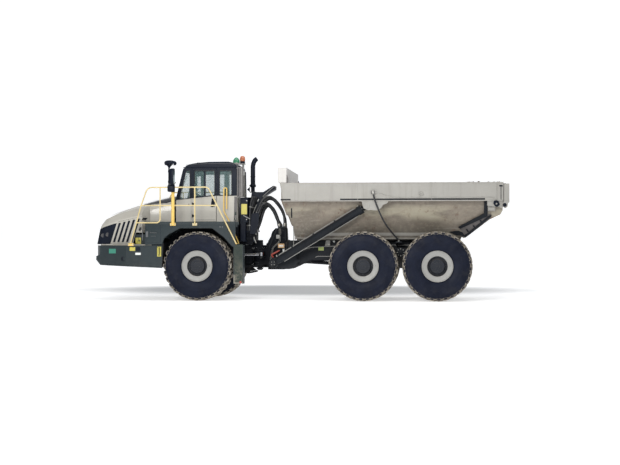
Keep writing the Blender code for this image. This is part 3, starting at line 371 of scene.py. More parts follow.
def glass(name, tint, trans=0.0):
    """Tinted cab glass: mostly clear, with a sky-like gloss and pale greenish patches, partly a dusty film and partly a
    painted reflection.
    """
    t = Tree(name)
    dirt = t.span(t.noise(3.0, 6.0, 0.7), 0.45, 0.75, 0.0, 1.0)
    smear = t.span(t.noise(1.0, 4.0, 0.6, t.mapped((5.0, 5.0, 0.7))), 0.45, 0.7)
    # pale greenish patches: partly dust film, partly painted reflection
    t.link(t.mix(t.math("MULTIPLY", dirt, 0.35), tint, (0.55, 0.60, 0.56)), t.bsdf.inputs["Base Color"])
    t.link(t.math("ADD", 0.03, t.math("MULTIPLY", smear, 0.09)), t.bsdf.inputs["Roughness"])
    t.link(t.math("ADD", trans, t.math("MULTIPLY", t.math("MULTIPLY", dirt, smear), 0.22), clamp=True), t.bsdf.inputs["Alpha"])
    t.bsdf.inputs["Specular IOR Level"].default_value = 0.8
    return t.m


def lens(name, colour, rough=0.12, emission=0.0):
    t = Tree(name)
    ribs = t.node("ShaderNodeTexWave", wave_type="BANDS")
    ribs.bands_direction = "Z"
    ribs.inputs["Scale"].default_value = 26.0
    t.link(t.co.outputs["Object"], ribs.inputs["Vector"])
    dust = t.span(t.noise(9.0, 5.0, 0.7), 0.5, 0.7, 0, 0.4)
    t.link(t.mix(dust, colour, DUST), t.bsdf.inputs["Base Color"])
    t.link(t.math("ADD", rough, t.math("MULTIPLY", dust, 0.6)), t.bsdf.inputs["Roughness"])
    t.bsdf.inputs["Coat Weight"].default_value = 0.6
    t.bsdf.inputs["Coat Roughness"].default_value = 0.05
    if emission:
        t.bsdf.inputs["Emission Color"].default_value = (*colour, 1.0)
        t.bsdf.inputs["Emission Strength"].default_value = emission
    t.bump(ribs.outputs["Fac"], 0.3, 0.003)
    return t.m


def cloth(name, base, scale=260.0):
    t = Tree(name)
    w = t.node("ShaderNodeTexWave", wave_type="BANDS")
    w.inputs["Scale"].default_value = scale
    t.link(t.co.outputs["Object"], w.inputs["Vector"])
    p = t.noise(7.0, 4.0, 0.6)
    t.link(t.mix(t.span(p, 0.3, 0.7), tuple(c * 0.7 for c in base), tuple(c * 1.3 for c in base)), t.bsdf.inputs["Base Color"])
    t.link(t.span(p, 0.3, 0.7, 0.75, 0.92), t.bsdf.inputs["Roughness"])
    t.bsdf.inputs["Sheen Weight"].default_value = 0.3
    t.bump(t.math("ADD", w.outputs["Fac"], t.math("MULTIPLY", p, 2.0)), 0.3, 0.003)
    return t.m


def moulded(name, base, rough=0.55, grain=320.0, dust=0.25):
    """Moulded plastic or bare rubber trim with a fine grain and settled dust."""
    t = Tree(name)
    p = t.noise(4.0, 4.0, 0.6)
    col = t.mix(t.span(p, 0.3, 0.7), tuple(c * 0.8 for c in base), tuple(c * 1.2 for c in base))
    d = t.math("MULTIPLY", t.span(t.axis(2, "Normal"), 0.2, 1.0), t.span(t.noise(10.0, 5.0, 0.7), 0.38, 0.62, 0.1, dust * 2))
    t.link(t.mix(d, col, DUST), t.bsdf.inputs["Base Color"])
    t.link(t.math("ADD", t.span(p, 0.3, 0.7, rough - 0.07, rough + 0.07), t.math("MULTIPLY", d, 0.4), clamp=True), t.bsdf.inputs["Roughness"])
    t.bump(t.noise(grain, 2.0), 0.12, 0.002)
    return t.m


def slotted(name, base, axis_scale, depth=0.5):
    """Dark louvred or meshed panel behind an opening, its holes painted darker than its bars as painted shade."""
    t = Tree(name)
    w = t.node("ShaderNodeTexWave", wave_type="BANDS")
    w.bands_direction = "Z"
    w.inputs["Scale"].default_value = axis_scale
    t.link(t.co.outputs["Object"], w.inputs["Vector"])
    w2 = t.node("ShaderNodeTexWave", wave_type="BANDS")
    w2.bands_direction = "Y"
    w2.inputs["Scale"].default_value = axis_scale
    t.link(t.co.outputs["Object"], w2.inputs["Vector"])
    # painted shade: the holes are painted darker than the bars
    hole = t.math("MULTIPLY", w.outputs["Fac"], w2.outputs["Fac"])
    d = t.span(t.noise(8.0, 5.0, 0.7), 0.42, 0.7, 0, 0.4)
    col = t.mix(t.span(hole, 0.2, 0.6), tuple(c * 2.2 for c in base), tuple(c * 0.35 for c in base))
    t.link(t.mix(d, col, (0.14, 0.12, 0.10)), t.bsdf.inputs["Base Color"])
    t.link(t.span(hole, 0.0, 1.0, 0.45, 0.8), t.bsdf.inputs["Roughness"])
    t.bump(t.math("SUBTRACT", 1.0, hole), depth, 0.01)
    return t.m


MAT["tub"] = body_side()
MAT["inside"] = body_inside()
MAT["tread"] = rubber("tyre_lugs", "lug")
MAT["groove"] = rubber("tyre_grooves", "groove")
MAT["wall"] = rubber("tyre_sidewall", "wall")
MAT["hose"] = hose_rubber()
MAT["chrome"] = bright_metal("chromed_rod", (0.62, 0.63, 0.66), 0.12, amount=0.25)
MAT["zinc"] = bright_metal("plated_fittings", (0.42, 0.41, 0.38), 0.34)
MAT["steel"] = bright_metal("cast_steel", (0.11, 0.105, 0.10), 0.48, amount=0.7)
MAT["glass"] = glass("cab_glass", (0.16, 0.27, 0.27), 0.22)
MAT["amber"] = lens("amber_lens", (0.50, 0.145, 0.055))
MAT["green_lens"] = lens("green_lens", (0.035, 0.24, 0.12))
MAT["red_lens"] = lens("red_lens", (0.45, 0.02, 0.02))
MAT["clear_lens"] = lens("clear_lens", (0.55, 0.60, 0.62), 0.08)
MAT["seat"] = cloth("seat_cloth", (0.030, 0.031, 0.036))
MAT["plastic"] = moulded("dark_plastic", (0.014, 0.015, 0.018))
MAT["trim"] = moulded("grey_trim", (0.10, 0.105, 0.11), 0.6)
MAT["gasket"] = moulded("window_rubber", (0.008, 0.008, 0.010), 0.5, 200.0, 0.15)
MAT["mirror"] = bright_metal("mirror_face", (0.75, 0.78, 0.80), 0.03, amount=0.08)
MAT["grille"] = slotted("grille_mesh", (0.010, 0.011, 0.014), 18.0)
MAT["core"] = slotted("cooler_core", (0.016, 0.016, 0.018), 40.0)
MAT["tread_plate"] = painted("tread_plate_paint", (0.050, 0.058, 0.062), 0.5, 0.75, 0.8, (0.22, 0.21, 0.20), None, 0.2, 0.1, seed=9.3)
MAT["dirt"] = moulded("dried_clods", (0.075, 0.058, 0.042), 0.95, 60.0, 0.5)
MAT["dirt_pale"] = painted("worn_step_edge", (0.30, 0.28, 0.235), 0.60, 0.5, 0.8, (0.12, 0.09, 0.07), (0.2, 0.9, 0.3), 0.15, 0.3, seed=11.5)
MAT["guard"] = painted("faded_guard_paint", (0.60, 0.585, 0.56), 0.52, 0.30, 0.7, (0.16, 0.11, 0.08), None, 0.06, 0.30, seed=12.4)


# ---- mesh tools -----------------------------------------------------------------------------------------------------------
def unit(v):
    return Vector(v).normalized()


def arc_points(centre, radius, a0, a1, n):
    """Points (u, v) on an arc, angles in degrees."""
    return [(centre[0] + radius * math.cos(math.radians(a0 + (a1 - a0) * i / n)), centre[1] + radius * math.sin(math.radians(a0 + (a1 - a0) * i / n))) for i in range(n + 1)]


def smooth_path(points, per=6):
    """A Catmull-Rom curve through the points, with this many steps a span."""
    p = [Vector(q) for q in points]
    p = [p[0] * 2 - p[1]] + p + [p[-1] * 2 - p[-2]]
    out = []
    for i in range(1, len(p) - 2):
        for k in range(per):
            t = k / per
            a, b, c, d = p[i - 1 : i + 3]
            out.append(0.5 * ((2 * b) + (c - a) * t + (2 * a - 5 * b + 4 * c - d) * t * t + (3 * b - a - 3 * c + d) * t**3))
    return out + [p[-2]]


def bent_path(points, radius=0.05, n=5):
    """A polyline whose corners are rounded to this radius, as a bent tube's are."""
    p = [Vector(q) for q in points]
    out = [p[0]]
    for a, b, c in zip(p, p[1:], p[2:]):
        u, w = (a - b), (c - b)
        cut = min(radius * 1.0, 0.45 * u.length, 0.45 * w.length)
        s, e = b + u.normalized() * cut, b + w.normalized() * cut
        for i in range(n + 1):
            t = i / n
            out.append((1 - t) ** 2 * s + 2 * t * (1 - t) * b + t * t * e)
    return out + [p[-1]]


class Shape:
    """Collects faces with a material number each, and makes one piece of them."""

    def __init__(self):
        self.v, self.f, self.m = [], [], []

    def add(self, verts, faces, mat=0):
        n = len(self.v)
        self.v += [Vector(p) for p in verts]
        self.f += [[n + i for i in f] for f in faces]
        self.m += [mat] * len(faces)
        return self

    def prism(self, profile, low, high, axis="Y", mat=0):
        """A profile extruded along an axis: its coordinates are (x, z) along Y, (y, z) along X and (x, y) along Z."""
        at = {"Y": lambda p, h: (p[0], h, p[1]), "X": lambda p, h: (h, p[0], p[1]), "Z": lambda p, h: (p[0], p[1], h)}[axis]
        n = len(profile)
        verts = [at(p, low) for p in profile] + [at(p, high) for p in profile]
        faces = [[i, (i + 1) % n, n + (i + 1) % n, n + i] for i in range(n)] + [list(range(n))[::-1], list(range(n, 2 * n))]
        return self.add(verts, faces, mat)

    def box(self, x0, x1, y0, y1, z0, z1, mat=0):
        return self.prism([(x0, z0), (x1, z0), (x1, z1), (x0, z1)], y0, y1, "Y", mat)

    def brick(self, centre, size, turn=(0, 0, 0), mat=0):
        """A block turned by the given angles in degrees, in XYZ order."""
        m = Matrix.Rotation(math.radians(turn[2]), 3, "Z") @ Matrix.Rotation(math.radians(turn[1]), 3, "Y") @ Matrix.Rotation(math.radians(turn[0]), 3, "X")
        c, h = Vector(centre), Vector(size) / 2
        verts = [c + m @ Vector((sx * h.x, sy * h.y, sz * h.z)) for sz in (-1, 1) for sx, sy in ((-1, -1), (1, -1), (1, 1), (-1, 1))]
        return self.add(verts, [[3, 2, 1, 0], [4, 5, 6, 7], [0, 1, 5, 4], [1, 2, 6, 5], [2, 3, 7, 6], [3, 0, 4, 7]], mat)

    def panel(self, outline, thick, mat=0):
        """A flat plate: its outline of 3-D points, thickened along its own normal."""
        p = [Vector(q) for q in outline]
        n = Vector()
        for a, b in zip(p, p[1:] + p[:1]):
            n += a.cross(b)
        n.normalize()
        k = len(p)
        faces = [[i, (i + 1) % k, k + (i + 1) % k, k + i] for i in range(k)] + [list(range(k))[::-1], list(range(k, 2 * k))]
        return self.add(p + [q + n * thick for q in p], faces, mat)

    def tube(self, points, r, sides=12, mat=0, caps=True, bore=None):
        """A round tube along the points. r may be one radius or one for each point."""
        p = [Vector(q) for q in points]
        rs = r if isinstance(r, (list, tuple)) else [r] * len(p)
        tangents = [((p[min(i + 1, len(p) - 1)] - p[max(i - 1, 0)]).normalized()) for i in range(len(p))]
        up = Vector((0, 0, 1)) if abs(tangents[0].z) < 0.9 else Vector((1, 0, 0))
        u = tangents[0].cross(up).normalized()
        verts = []
        for i, (q, t) in enumerate(zip(p, tangents)):
            u = (u - t * u.dot(t)).normalized()
            w = t.cross(u)
            for k in range(sides):
                a = 2 * math.pi * k / sides
                verts.append(q + (u * math.cos(a) + w * math.sin(a)) * rs[i])
        faces = []
        for i in range(len(p) - 1):
            for k in range(sides):
                a, b = i * sides + k, i * sides + (k + 1) % sides
                faces.append([a, b, b + sides, a + sides])
        if caps and bore is None:
            faces += [list(range(sides))[::-1], [len(verts) - sides + k for k in range(sides)]]
        self.add(verts, faces, mat)
        if bore is not None:
            self.pipe_end(p[0], -tangents[0], rs[0], bore, sides, mat)
            self.pipe_end(p[-1], tangents[-1], rs[-1], bore, sides, mat)
        return self

    def pipe_end(self, at, out, r, bore, sides=16, mat=0, depth=0.12):
        """The open end of a pipe: its rim and the first stretch of its inside."""
        out = unit(out)
        u = out.orthogonal().normalized()
        w = out.cross(u)
        rows = []
        for rr, back in ((r, 0.0), (bore, 0.0), (bore, depth), (0.001, depth)):
            rows.append([Vector(at) - out * back + (u * math.cos(2 * math.pi * k / sides) + w * math.sin(2 * math.pi * k / sides)) * rr for k in range(sides)])
        return self.rows(rows, mat, loop=True)

    def rows(self, rows, mat=0, loop=False, caps=False, mats=None):
        """A surface through rows of points, each row as long as the next. mats may number each band between rows."""
        n = len(rows[0])
        verts = [p for row in rows for p in row]
        for i in range(len(rows) - 1):
            faces = []
            for k in range(n if loop else n - 1):
                a, b = i * n + k, i * n + (k + 1) % n
                faces.append([a, b, b + n, a + n])
            if i == 0:
                base = len(self.v)
                self.v += [Vector(p) for p in verts]
            self.f += [[base + j for j in f] for f in faces]
            self.m += [mats[i] if mats else mat] * len(faces)
        if caps:
            self.f += [[base + k for k in range(n)][::-1], [base + len(verts) - n + k for k in range(n)]]
            self.m += [mats[0] if mats else mat, mats[-1] if mats else mat]
        return self

    def lathe(self, profile, centre, axis="Y", segs=48, mat=0, mats=None, a0=0.0, a1=360.0):
        """Turns (r, h) round an axis through centre. h runs along the axis. Bands may have a material each."""
        c = Vector(centre)
        full = abs(a1 - a0) >= 360
        frames = {"X": (Vector((0, 1, 0)), Vector((0, 0, 1)), Vector((1, 0, 0))), "Y": (Vector((0, 0, 1)), Vector((1, 0, 0)), Vector((0, 1, 0))), "Z": (Vector((1, 0, 0)), Vector((0, 1, 0)), Vector((0, 0, 1)))}
        if isinstance(axis, str):
            u, w, n = frames[axis]
        else:
            n = unit(axis)
            u = n.orthogonal().normalized()
            w = n.cross(u)
        rows = []
        for r, h in profile:
            r = max(r, 0.0004)
            rows.append([c + n * h + (u * math.cos(a) + w * math.sin(a)) * r for a in (math.radians(a0 + (a1 - a0) * k / segs) for k in range(segs if full else segs + 1))])
        return self.rows(rows, mat, loop=full, mats=mats)

    def cyl(self, a, b, r, sides=20, mat=0, chamfer=0.0):
        """A round bar from a to b, with chamfered ends."""
        a, b = Vector(a), Vector(b)
        d = b - a
        c = min(chamfer, 0.4 * d.length, 0.5 * r)
        prof = [(0.0, 0.0), (r - c, 0.0), (r, c), (r, d.length - c), (r - c, d.length), (0.0, d.length)] if c else [(0.0, 0.0), (r, 0.0), (r, d.length), (0.0, d.length)]
        return self.lathe(prof, a, d, sides, mat)

    def bolt(self, at, out, r=0.014, h=0.012, mat=0, washer=True):
        """A hexagon head, on a washer."""
        out = unit(out)
        at = Vector(at)
        if washer:
            self.cyl(at, at + out * h * 0.25, r * 1.35, 12, mat)
        u = out.orthogonal().normalized()
        w = out.cross(u)
        rows = []
        for rr, up in ((r, 0.0), (r, h * 0.85), (r * 0.86, h), (0.0006, h)):
            rows.append([at + out * up + (u * math.cos(math.pi * k / 3) + w * math.sin(math.pi * k / 3)) * rr for k in range(6)])
        return self.rows(rows, mat, loop=True)

    def ring_of_bolts(self, centre, axis, radius, count, r=0.014, h=0.012, mat=0, phase=0.0):
        n = unit(axis)
        u = n.orthogonal().normalized()
        w = n.cross(u)
        for k in range(count):
            a = 2 * math.pi * (k + phase) / count
            self.bolt(Vector(centre) + (u * math.cos(a) + w * math.sin(a)) * radius, n, r, h, mat, washer=False)
        return self

    def weld(self, points, r=0.010, mat=0):
        """A weld bead: a low lumpy ridge along the points."""
        pts = smooth_path(points, 8) if len(points) > 2 else [Vector(points[0]).lerp(Vector(points[1]), i / 30) for i in range(31)]
        return self.tube(pts, [r * (0.85 + 0.3 * ((i * 7919) % 5) / 4) for i in range(len(pts))], 6, mat)

    def mirrored(self):
        """The same shape on the other side of the machine."""
        s = Shape()
        s.v = [Vector((p.x, -p.y, p.z)) for p in self.v]
        s.f = [f[::-1] for f in self.f]
        s.m = list(self.m)
        return s

    def join(self, other):
        n = len(self.v)
        self.v += other.v
        self.f += [[n + i for i in f] for f in other.f]
        self.m += other.m
        return self

    def both(self):
        """Adds the mirror image of all so far."""
        return self.join(self.mirrored())

    def shift(self, by):
        self.v = [p + Vector(by) for p in self.v]
        return self

    def warp(self, rule):
        self.v = [Vector(rule(p)) for p in self.v]
        return self

    def make(self, name, body, mats, stands_for=(), slot=None, bevel=0.0, segs=2, smooth=38, at=None, turn=None, weld=True):
        """The piece itself, riding on its body, or on none where no body is given. mats are names in MAT."""
        mesh = bpy.data.meshes.new(name)
        origin = Vector(at or (0, 0, 0))
        mesh.from_pydata([p - origin for p in self.v], [], self.f)
        for m in mats:
            mesh.materials.append(MAT[m])
        mesh.polygons.foreach_set("material_index", self.m)
        bm = bmesh.new()
        bm.from_mesh(mesh)
        if weld:
            bmesh.ops.remove_doubles(bm, verts=bm.verts, dist=0.00005)
        bmesh.ops.dissolve_degenerate(bm, edges=bm.edges, dist=0.00005)
        bmesh.ops.recalc_face_normals(bm, faces=bm.faces)
        bm.to_mesh(mesh)
        bm.free()
        mesh.shade_smooth()
        mesh.set_sharp_from_angle(angle=math.radians(smooth))
        obj = bpy.data.objects.new(name, mesh)
        scene.collection.objects.link(obj)
        obj.location = origin
        if turn:
            obj.rotation_euler = turn
        if bevel:
            m = obj.modifiers.new("edges", "BEVEL")
            m.width, m.segments, m.limit_method, m.angle_limit = bevel, segs, "ANGLE", math.radians(35)
            m.use_clamp_overlap, m.harden_normals = True, False
        if body:
            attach(obj, body)
        if stands_for:
            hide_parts(*((stands_for,) if isinstance(stands_for, str) else stands_for))
        return obj


def body_of_node(node):
    return next(name for name, nodes in frame["record"]["behaviour"]["bodies"].items() if node in nodes)


def skin(node, mats, pick=None, bevel=0.006, segs=2, name=None, change=None, smooth=35, drop=None):
    """A finished surface over a CAD node: the node's own mesh in a new piece, its flat faces whole again, its edges rounded, and a material picked for each face from its centre and normal."""
    src = frame["nodes"][node]
    mesh = src.data.copy()
    mesh.name = name or node + "_skin"
    bm = bmesh.new()
    bm.from_mesh(mesh)
    bm.transform(src.matrix_world)
    bmesh.ops.remove_doubles(bm, verts=bm.verts, dist=0.0001)
    bmesh.ops.dissolve_limit(bm, angle_limit=math.radians(1.0), verts=bm.verts, edges=bm.edges)
    if drop:
        bmesh.ops.delete(bm, geom=[f for f in bm.faces if drop(f.calc_center_median(), f.normal)], context="FACES")
    if change:
        for v in bm.verts:
            v.co = Vector(change(v.co))
    bm.normal_update()
    for f in bm.faces:
        f.material_index = pick(f.calc_center_median(), f.normal) if pick else 0
    bm.to_mesh(mesh)
    bm.free()
    mesh.materials.clear()
    for m in mats:
        mesh.materials.append(MAT[m])
    mesh.shade_smooth()
    mesh.set_sharp_from_angle(angle=math.radians(smooth))
    obj = bpy.data.objects.new(name or node + "_skin", mesh)
    scene.collection.objects.link(obj)
    if bevel:
        m = obj.modifiers.new("edges", "BEVEL")
        m.width, m.segments, m.limit_method, m.angle_limit = bevel, segs, "ANGLE", math.radians(30)
        m.use_clamp_overlap = True
    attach(obj, body_of_node(node))
    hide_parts(node)
    return obj


def finish_node(node, mat, bevel=0.006):
    """A CAD node that stays, with a finished material and rounded edges."""
    o = frame["nodes"][node]
    for s in o.material_slots:
        s.material = MAT[mat]
    if not o.material_slots:
        o.data.materials.append(MAT[mat])
    if bevel:
        w = o.modifiers.new("weld", "WELD")
        w.merge_threshold = 0.0001
        m = o.modifiers.new("edges", "BEVEL")
        m.width, m.segments, m.limit_method, m.angle_limit = bevel, 2, "ANGLE", math.radians(35)


# ---- floor and light -------------------------------------------------------------------------------------------------------
def stage():
    t = Tree("studio_floor")
    n = t.noise(0.35, 4.0, 0.6)
    t.link(t.mix(t.span(n, 0.3, 0.7), (0.86, 0.86, 0.86), (0.92, 0.92, 0.92)), t.bsdf.inputs["Base Color"])
    t.bsdf.inputs["Roughness"].default_value = 0.75
    # a lit floor, as a light table is, so that it stays near white behind a darker machine
    t.bsdf.inputs["Emission Color"].default_value = (1.0, 1.0, 1.0, 1.0)
    sep = t.node("ShaderNodeSeparateXYZ")
    t.link(t.co.outputs["Object"], sep.inputs[0])
    # painted shadow: a soft pool of less glow lies behind the machine
    along = t.math("MULTIPLY", t.math("ADD", sep.outputs[0], 0.6), 0.128)
    across = t.math("MULTIPLY", t.math("SUBTRACT", sep.outputs[1], 7.0), 0.190)
    away = t.math("ADD", t.math("MULTIPLY", along, along), t.math("MULTIPLY", across, across))
    shade = t.span(away, 0.25, 1.25, 0.0, 0.46)
    # the strip in front, that the key light does not reach, is lit a little more
    front = t.span(t.math("MULTIPLY", sep.outputs[1], -1.0), 12.0, 18.0, 0.0, 0.17)
    t.link(t.math("ADD", shade, front), t.bsdf.inputs["Emission Strength"])
    # painted shadow: in the same pool the floor's base colour darkens to grey
    t.link(t.mix(t.span(away, 0.20, 1.20), (0.60, 0.60, 0.60), t.mix(t.span(n, 0.3, 0.7), (0.86, 0.86, 0.86), (0.92, 0.92, 0.92))), t.bsdf.inputs["Base Color"])
    mesh = bpy.data.meshes.new("floor")
    bm = bmesh.new()
    # a cyclorama: the floor runs back and curves up behind the machine
    prof = [(-60.0, 0.0), (26.0, 0.0)] + [(26.0 + 10 * math.sin(math.radians(a)), 10 - 10 * math.cos(math.radians(a))) for a in range(10, 91, 10)] + [(36.0, 45.0)]
    rows = [[bm.verts.new((x, y, z - 0.001)) for y, z in prof] for x in (-70, 70)]
    for i in range(len(prof) - 1):
        bm.faces.new((rows[0][i], rows[1][i], rows[1][i + 1], rows[0][i + 1]))
    bm.to_mesh(mesh)
    bm.free()
    mesh.materials.append(t.m)
    mesh.shade_smooth()
    floor = bpy.data.objects.new("floor", mesh)
    scene.collection.objects.link(floor)
    world = bpy.data.worlds.new("studio")
    scene.world = world
    world.use_nodes = True
    bg = world.node_tree.nodes["Background"]
    bg.inputs["Color"].default_value = (0.93, 0.96, 1.0, 1.0)
    bg.inputs["Strength"].default_value = 0.44

    def lamp(name, place, aim, size, power, colour=(1, 1, 1), size_y=None):
        data = bpy.data.lights.new(name, "AREA")
        data.shape = "RECTANGLE"
        data.size, data.size_y, data.energy, data.color = size, size_y or size, power, colour
        o = bpy.data.objects.new(name, data)
        scene.collection.objects.link(o)
        o.location = place
        o.rotation_euler = (Vector(aim) - Vector(place)).to_track_quat("-Z", "Y").to_euler()
        return o

    lamp("key_softbox", (-3.0, -21.0, 7.9), (0, 0, 1.2), 6.0, 2150, (1.0, 0.985, 0.96), 4.5)
    lamp("fill_softbox", (12.0, -13.0, 6.0), (1.5, 0, 1.4), 8.0, 170, (0.95, 0.975, 1.0))
    lamp("top_softbox", (0.5, -3.0, 11.0), (0.5, 0, 1.4), 11.0, 480, (1, 1, 1), 7.0)
    lamp("back_softbox", (2.0, 13.0, 8.0), (0, 0, 1.5), 10.0, 60, (0.96, 0.98, 1.0))


stage()


# ---- wheels -------------------------------------------------------------------------------------------------------------------
TREAD_R = 0.9322  # inside the CAD tyre's flats, so that the tread rests on the floor
LUGS = 30


def tyre_shape():
    """A rock-tread tyre about the origin, its axle along Y: carcass, sidewall ribs, and two rows of staggered lugs."""
    s = Shape()
    half = [(0.402, 0.288), (0.412, 0.305), (0.426, 0.322), (0.440, 0.334), (0.446, 0.341), (0.452, 0.340), (0.470, 0.347), (0.50, 0.357), (0.54, 0.3655), (0.58, 0.3705), (0.62, 0.373),
            (0.655, 0.3732), (0.664, 0.3748), (0.676, 0.3748), (0.684, 0.3728), (0.72, 0.3715), (0.76, 0.3685), (0.79, 0.3650), (0.815, 0.3600), (0.840, 0.3500), (0.860, 0.336), (0.874, 0.312), (0.884, 0.270), (0.889, 0.20), (0.892, 0.10), (0.893, 0.0)]
    section = [(r, -y) for r, y in half] + [(r, y) for r, y in half[-2::-1]]
    bands = [2 if min(a[0], b[0]) > 0.855 else 0 for a, b in zip(section, section[1:])]
    s.lathe(section, (0, 0, 0), "Y", 112, mats=bands)
    s.lathe([(0.402, -0.288), (0.395, -0.20), (0.395, 0.20), (0.402, 0.288)], (0, 0, 0), "Y", 56)
    pitch = 2 * math.pi / LUGS
    # along each lug, from just past the middle out over the shoulder and down the side:
    # across, top radius, foot radius, half width of top and of foot as parts of the pitch, and how far it sweeps back
    path = [
        (-0.030, 0.9290, 0.885, 0.115, 0.190, -0.02),
        (-0.012, 0.9316, 0.885, 0.165, 0.225, 0.00),
        (0.055, 0.9322, 0.885, 0.190, 0.250, 0.07),
        (0.120, 0.9320, 0.884, 0.205, 0.262, 0.17),
        (0.185, 0.9308, 0.883, 0.220, 0.275, 0.28),
        (0.245, 0.9280, 0.878, 0.236, 0.290, 0.37),
        (0.292, 0.9235, 0.868, 0.250, 0.300, 0.43),
        (0.322, 0.9150, 0.852, 0.258, 0.308, 0.46),
        (0.343, 0.8960, 0.838, 0.262, 0.312, 0.48),
        (0.3520, 0.8800, 0.830, 0.250, 0.300, 0.49),
        (0.3570, 0.8660, 0.826, 0.200, 0.250, 0.495),
    ]
    for side in (-1, 1):
        for k in range(LUGS):
            base = (k + (0.5 if side > 0 else 0.0)) * pitch
            rows = []
            for y, top, foot, wt, wf, sweep in path:
                mid = base + (sweep - 0.25) * pitch
                # the foot of the stretch on the sidewall lies inside the carcass, so the lug's sides run into it
                deep = y - 0.030 if top < 0.90 else y
                row = []
                for a, r, yy in ((-wf, foot - 0.006, deep), (-wt - 0.012, top - 0.011, y - 0.001), (-wt + 0.014, top, y), (0.0, top + 0.0002, y), (wt - 0.014, top, y), (wt + 0.012, top - 0.011, y - 0.001), (wf, foot - 0.006, deep)):
                    t = mid + a * pitch
                    row.append(Vector((math.sin(t) * r, side * yy, math.cos(t) * r)))
                rows.append(row if side > 0 else row[::-1])
            s.rows(rows, 1)
            first, last = rows[0], rows[-1]
            s.add(first, [[0, 1, 2, 3, 4, 5, 6]], 1)
            s.add(last, [[6, 5, 4, 3, 2, 1, 0]], 1)
            # a shallow sipe bar between lugs at the centre, as rock treads have
            t = base + 0.33 * pitch
            mid = Vector((math.sin(t) * 0.899, side * 0.11, math.cos(t) * 0.899))
            s.brick(mid, (0.028, 0.075, 0.020), (0, math.degrees(t), 0), 1)
    return s


def rim_shape():
    """The rim about the origin, outboard at -Y: flange, conical face, lock ring, hub recess and planetary hub."""
    s = Shape()
    face = [(0.394, -0.250), (0.394, -0.300), (0.400, -0.318), (0.4115, -0.330), (0.4170, -0.3345), (0.4175, -0.3400), (0.4130, -0.3445), (0.4060, -0.3450), (0.4015, -0.3415), (0.4000, -0.3370),
            (0.3960, -0.3340), (0.3900, -0.3345), (0.3860, -0.3365), (0.3820, -0.3350), (0.3200, -0.3300), (0.2860, -0.3270), (0.2750, -0.3235), (0.2700, -0.3160), (0.2680, -0.3050)]
    s.lathe([(r, y) for r, y in face], (0, 0, 0), "Y", 96, mat=0)
    s.lathe([(0.2680, -0.3050), (0.2675, -0.2950), (0.2670, -0.2100)], (0, 0, 0), "Y", 96, mats=[0, 1])
    # hub flange with its nuts, then the planetary hub standing out of it
    s.lathe([(0.2670, -0.2100), (0.2450, -0.2100), (0.2450, -0.2160), (0.2080, -0.2160), (0.2050, -0.2360), (0.1960, -0.2440), (0.1930, -0.2760), (0.1880, -0.2840), (0.1700, -0.2850), (0.1690, -0.2790), (0.1120, -0.2790), (0.1100, -0.2860), (0.0600, -0.2880), (0.0, -0.2880)], (0, 0, 0), "Y", 72, mat=1)
    s.ring_of_bolts((0, -0.2160, 0), (0, -1, 0), 0.2265, 18, 0.0125, 0.022, 1)
    s.ring_of_bolts((0, -0.2790, 0), (0, -1, 0), 0.1400, 12, 0.0085, 0.009, 1)
    s.cyl((0, -0.2875, 0.0), (0, -0.2960, 0.0), 0.022, 16, 1, 0.003)
    s.bolt((0, -0.2955, 0.0), (0, -1, 0), 0.011, 0.006, 1, washer=False)
    s.cyl((0.0, -0.2780, 0.142), (0, -0.2925, 0.142), 0.0135, 14, 1, 0.002)
    # lock-ring lugs and the valve with its bracket, on the pale face
    for a in (20, 140, 260):
        t = math.radians(a)
        s.brick((0.372 * math.sin(t), -0.3360, 0.372 * math.cos(t)), (0.045, 0.006, 0.018), (0, a, 0), 0)
    s.tube([(0.345, -0.330, 0.02), (0.345, -0.3395, 0.02), (0.330, -0.3405, 0.02), (0.306, -0.3405, 0.019)], 0.0055, 8, 3)
    s.cyl((0.306, -0.3405, 0.019), (0.290, -0.3405, 0.018), 0.0075, 10, 3, 0.001)
    s.brick((0.330, -0.3360, 0.020), (0.014, 0.014, 0.024), (0, 0, 0), 1)
    # inboard side: bead seat, drop well and the brake housing inside it
    s.lathe([(0.394, -0.250), (0.392, 0.230), (0.398, 0.262), (0.4050, 0.268), (0.4080, 0.2640), (0.3980, 0.2700), (0.3850, 0.2690), (0.3780, 0.2580), (0.3700, 0.20), (0.3640, -0.05), (0.3300, -0.10), (0.3000, -0.13), (0.2500, -0.15), (0.0, -0.15)], (0, 0, 0), "Y", 72, mat=2)
    s.ring_of_bolts((0, -0.149, 0), (0, 1, 0), 0.275, 12, 0.012, 0.014, 2)
    return s


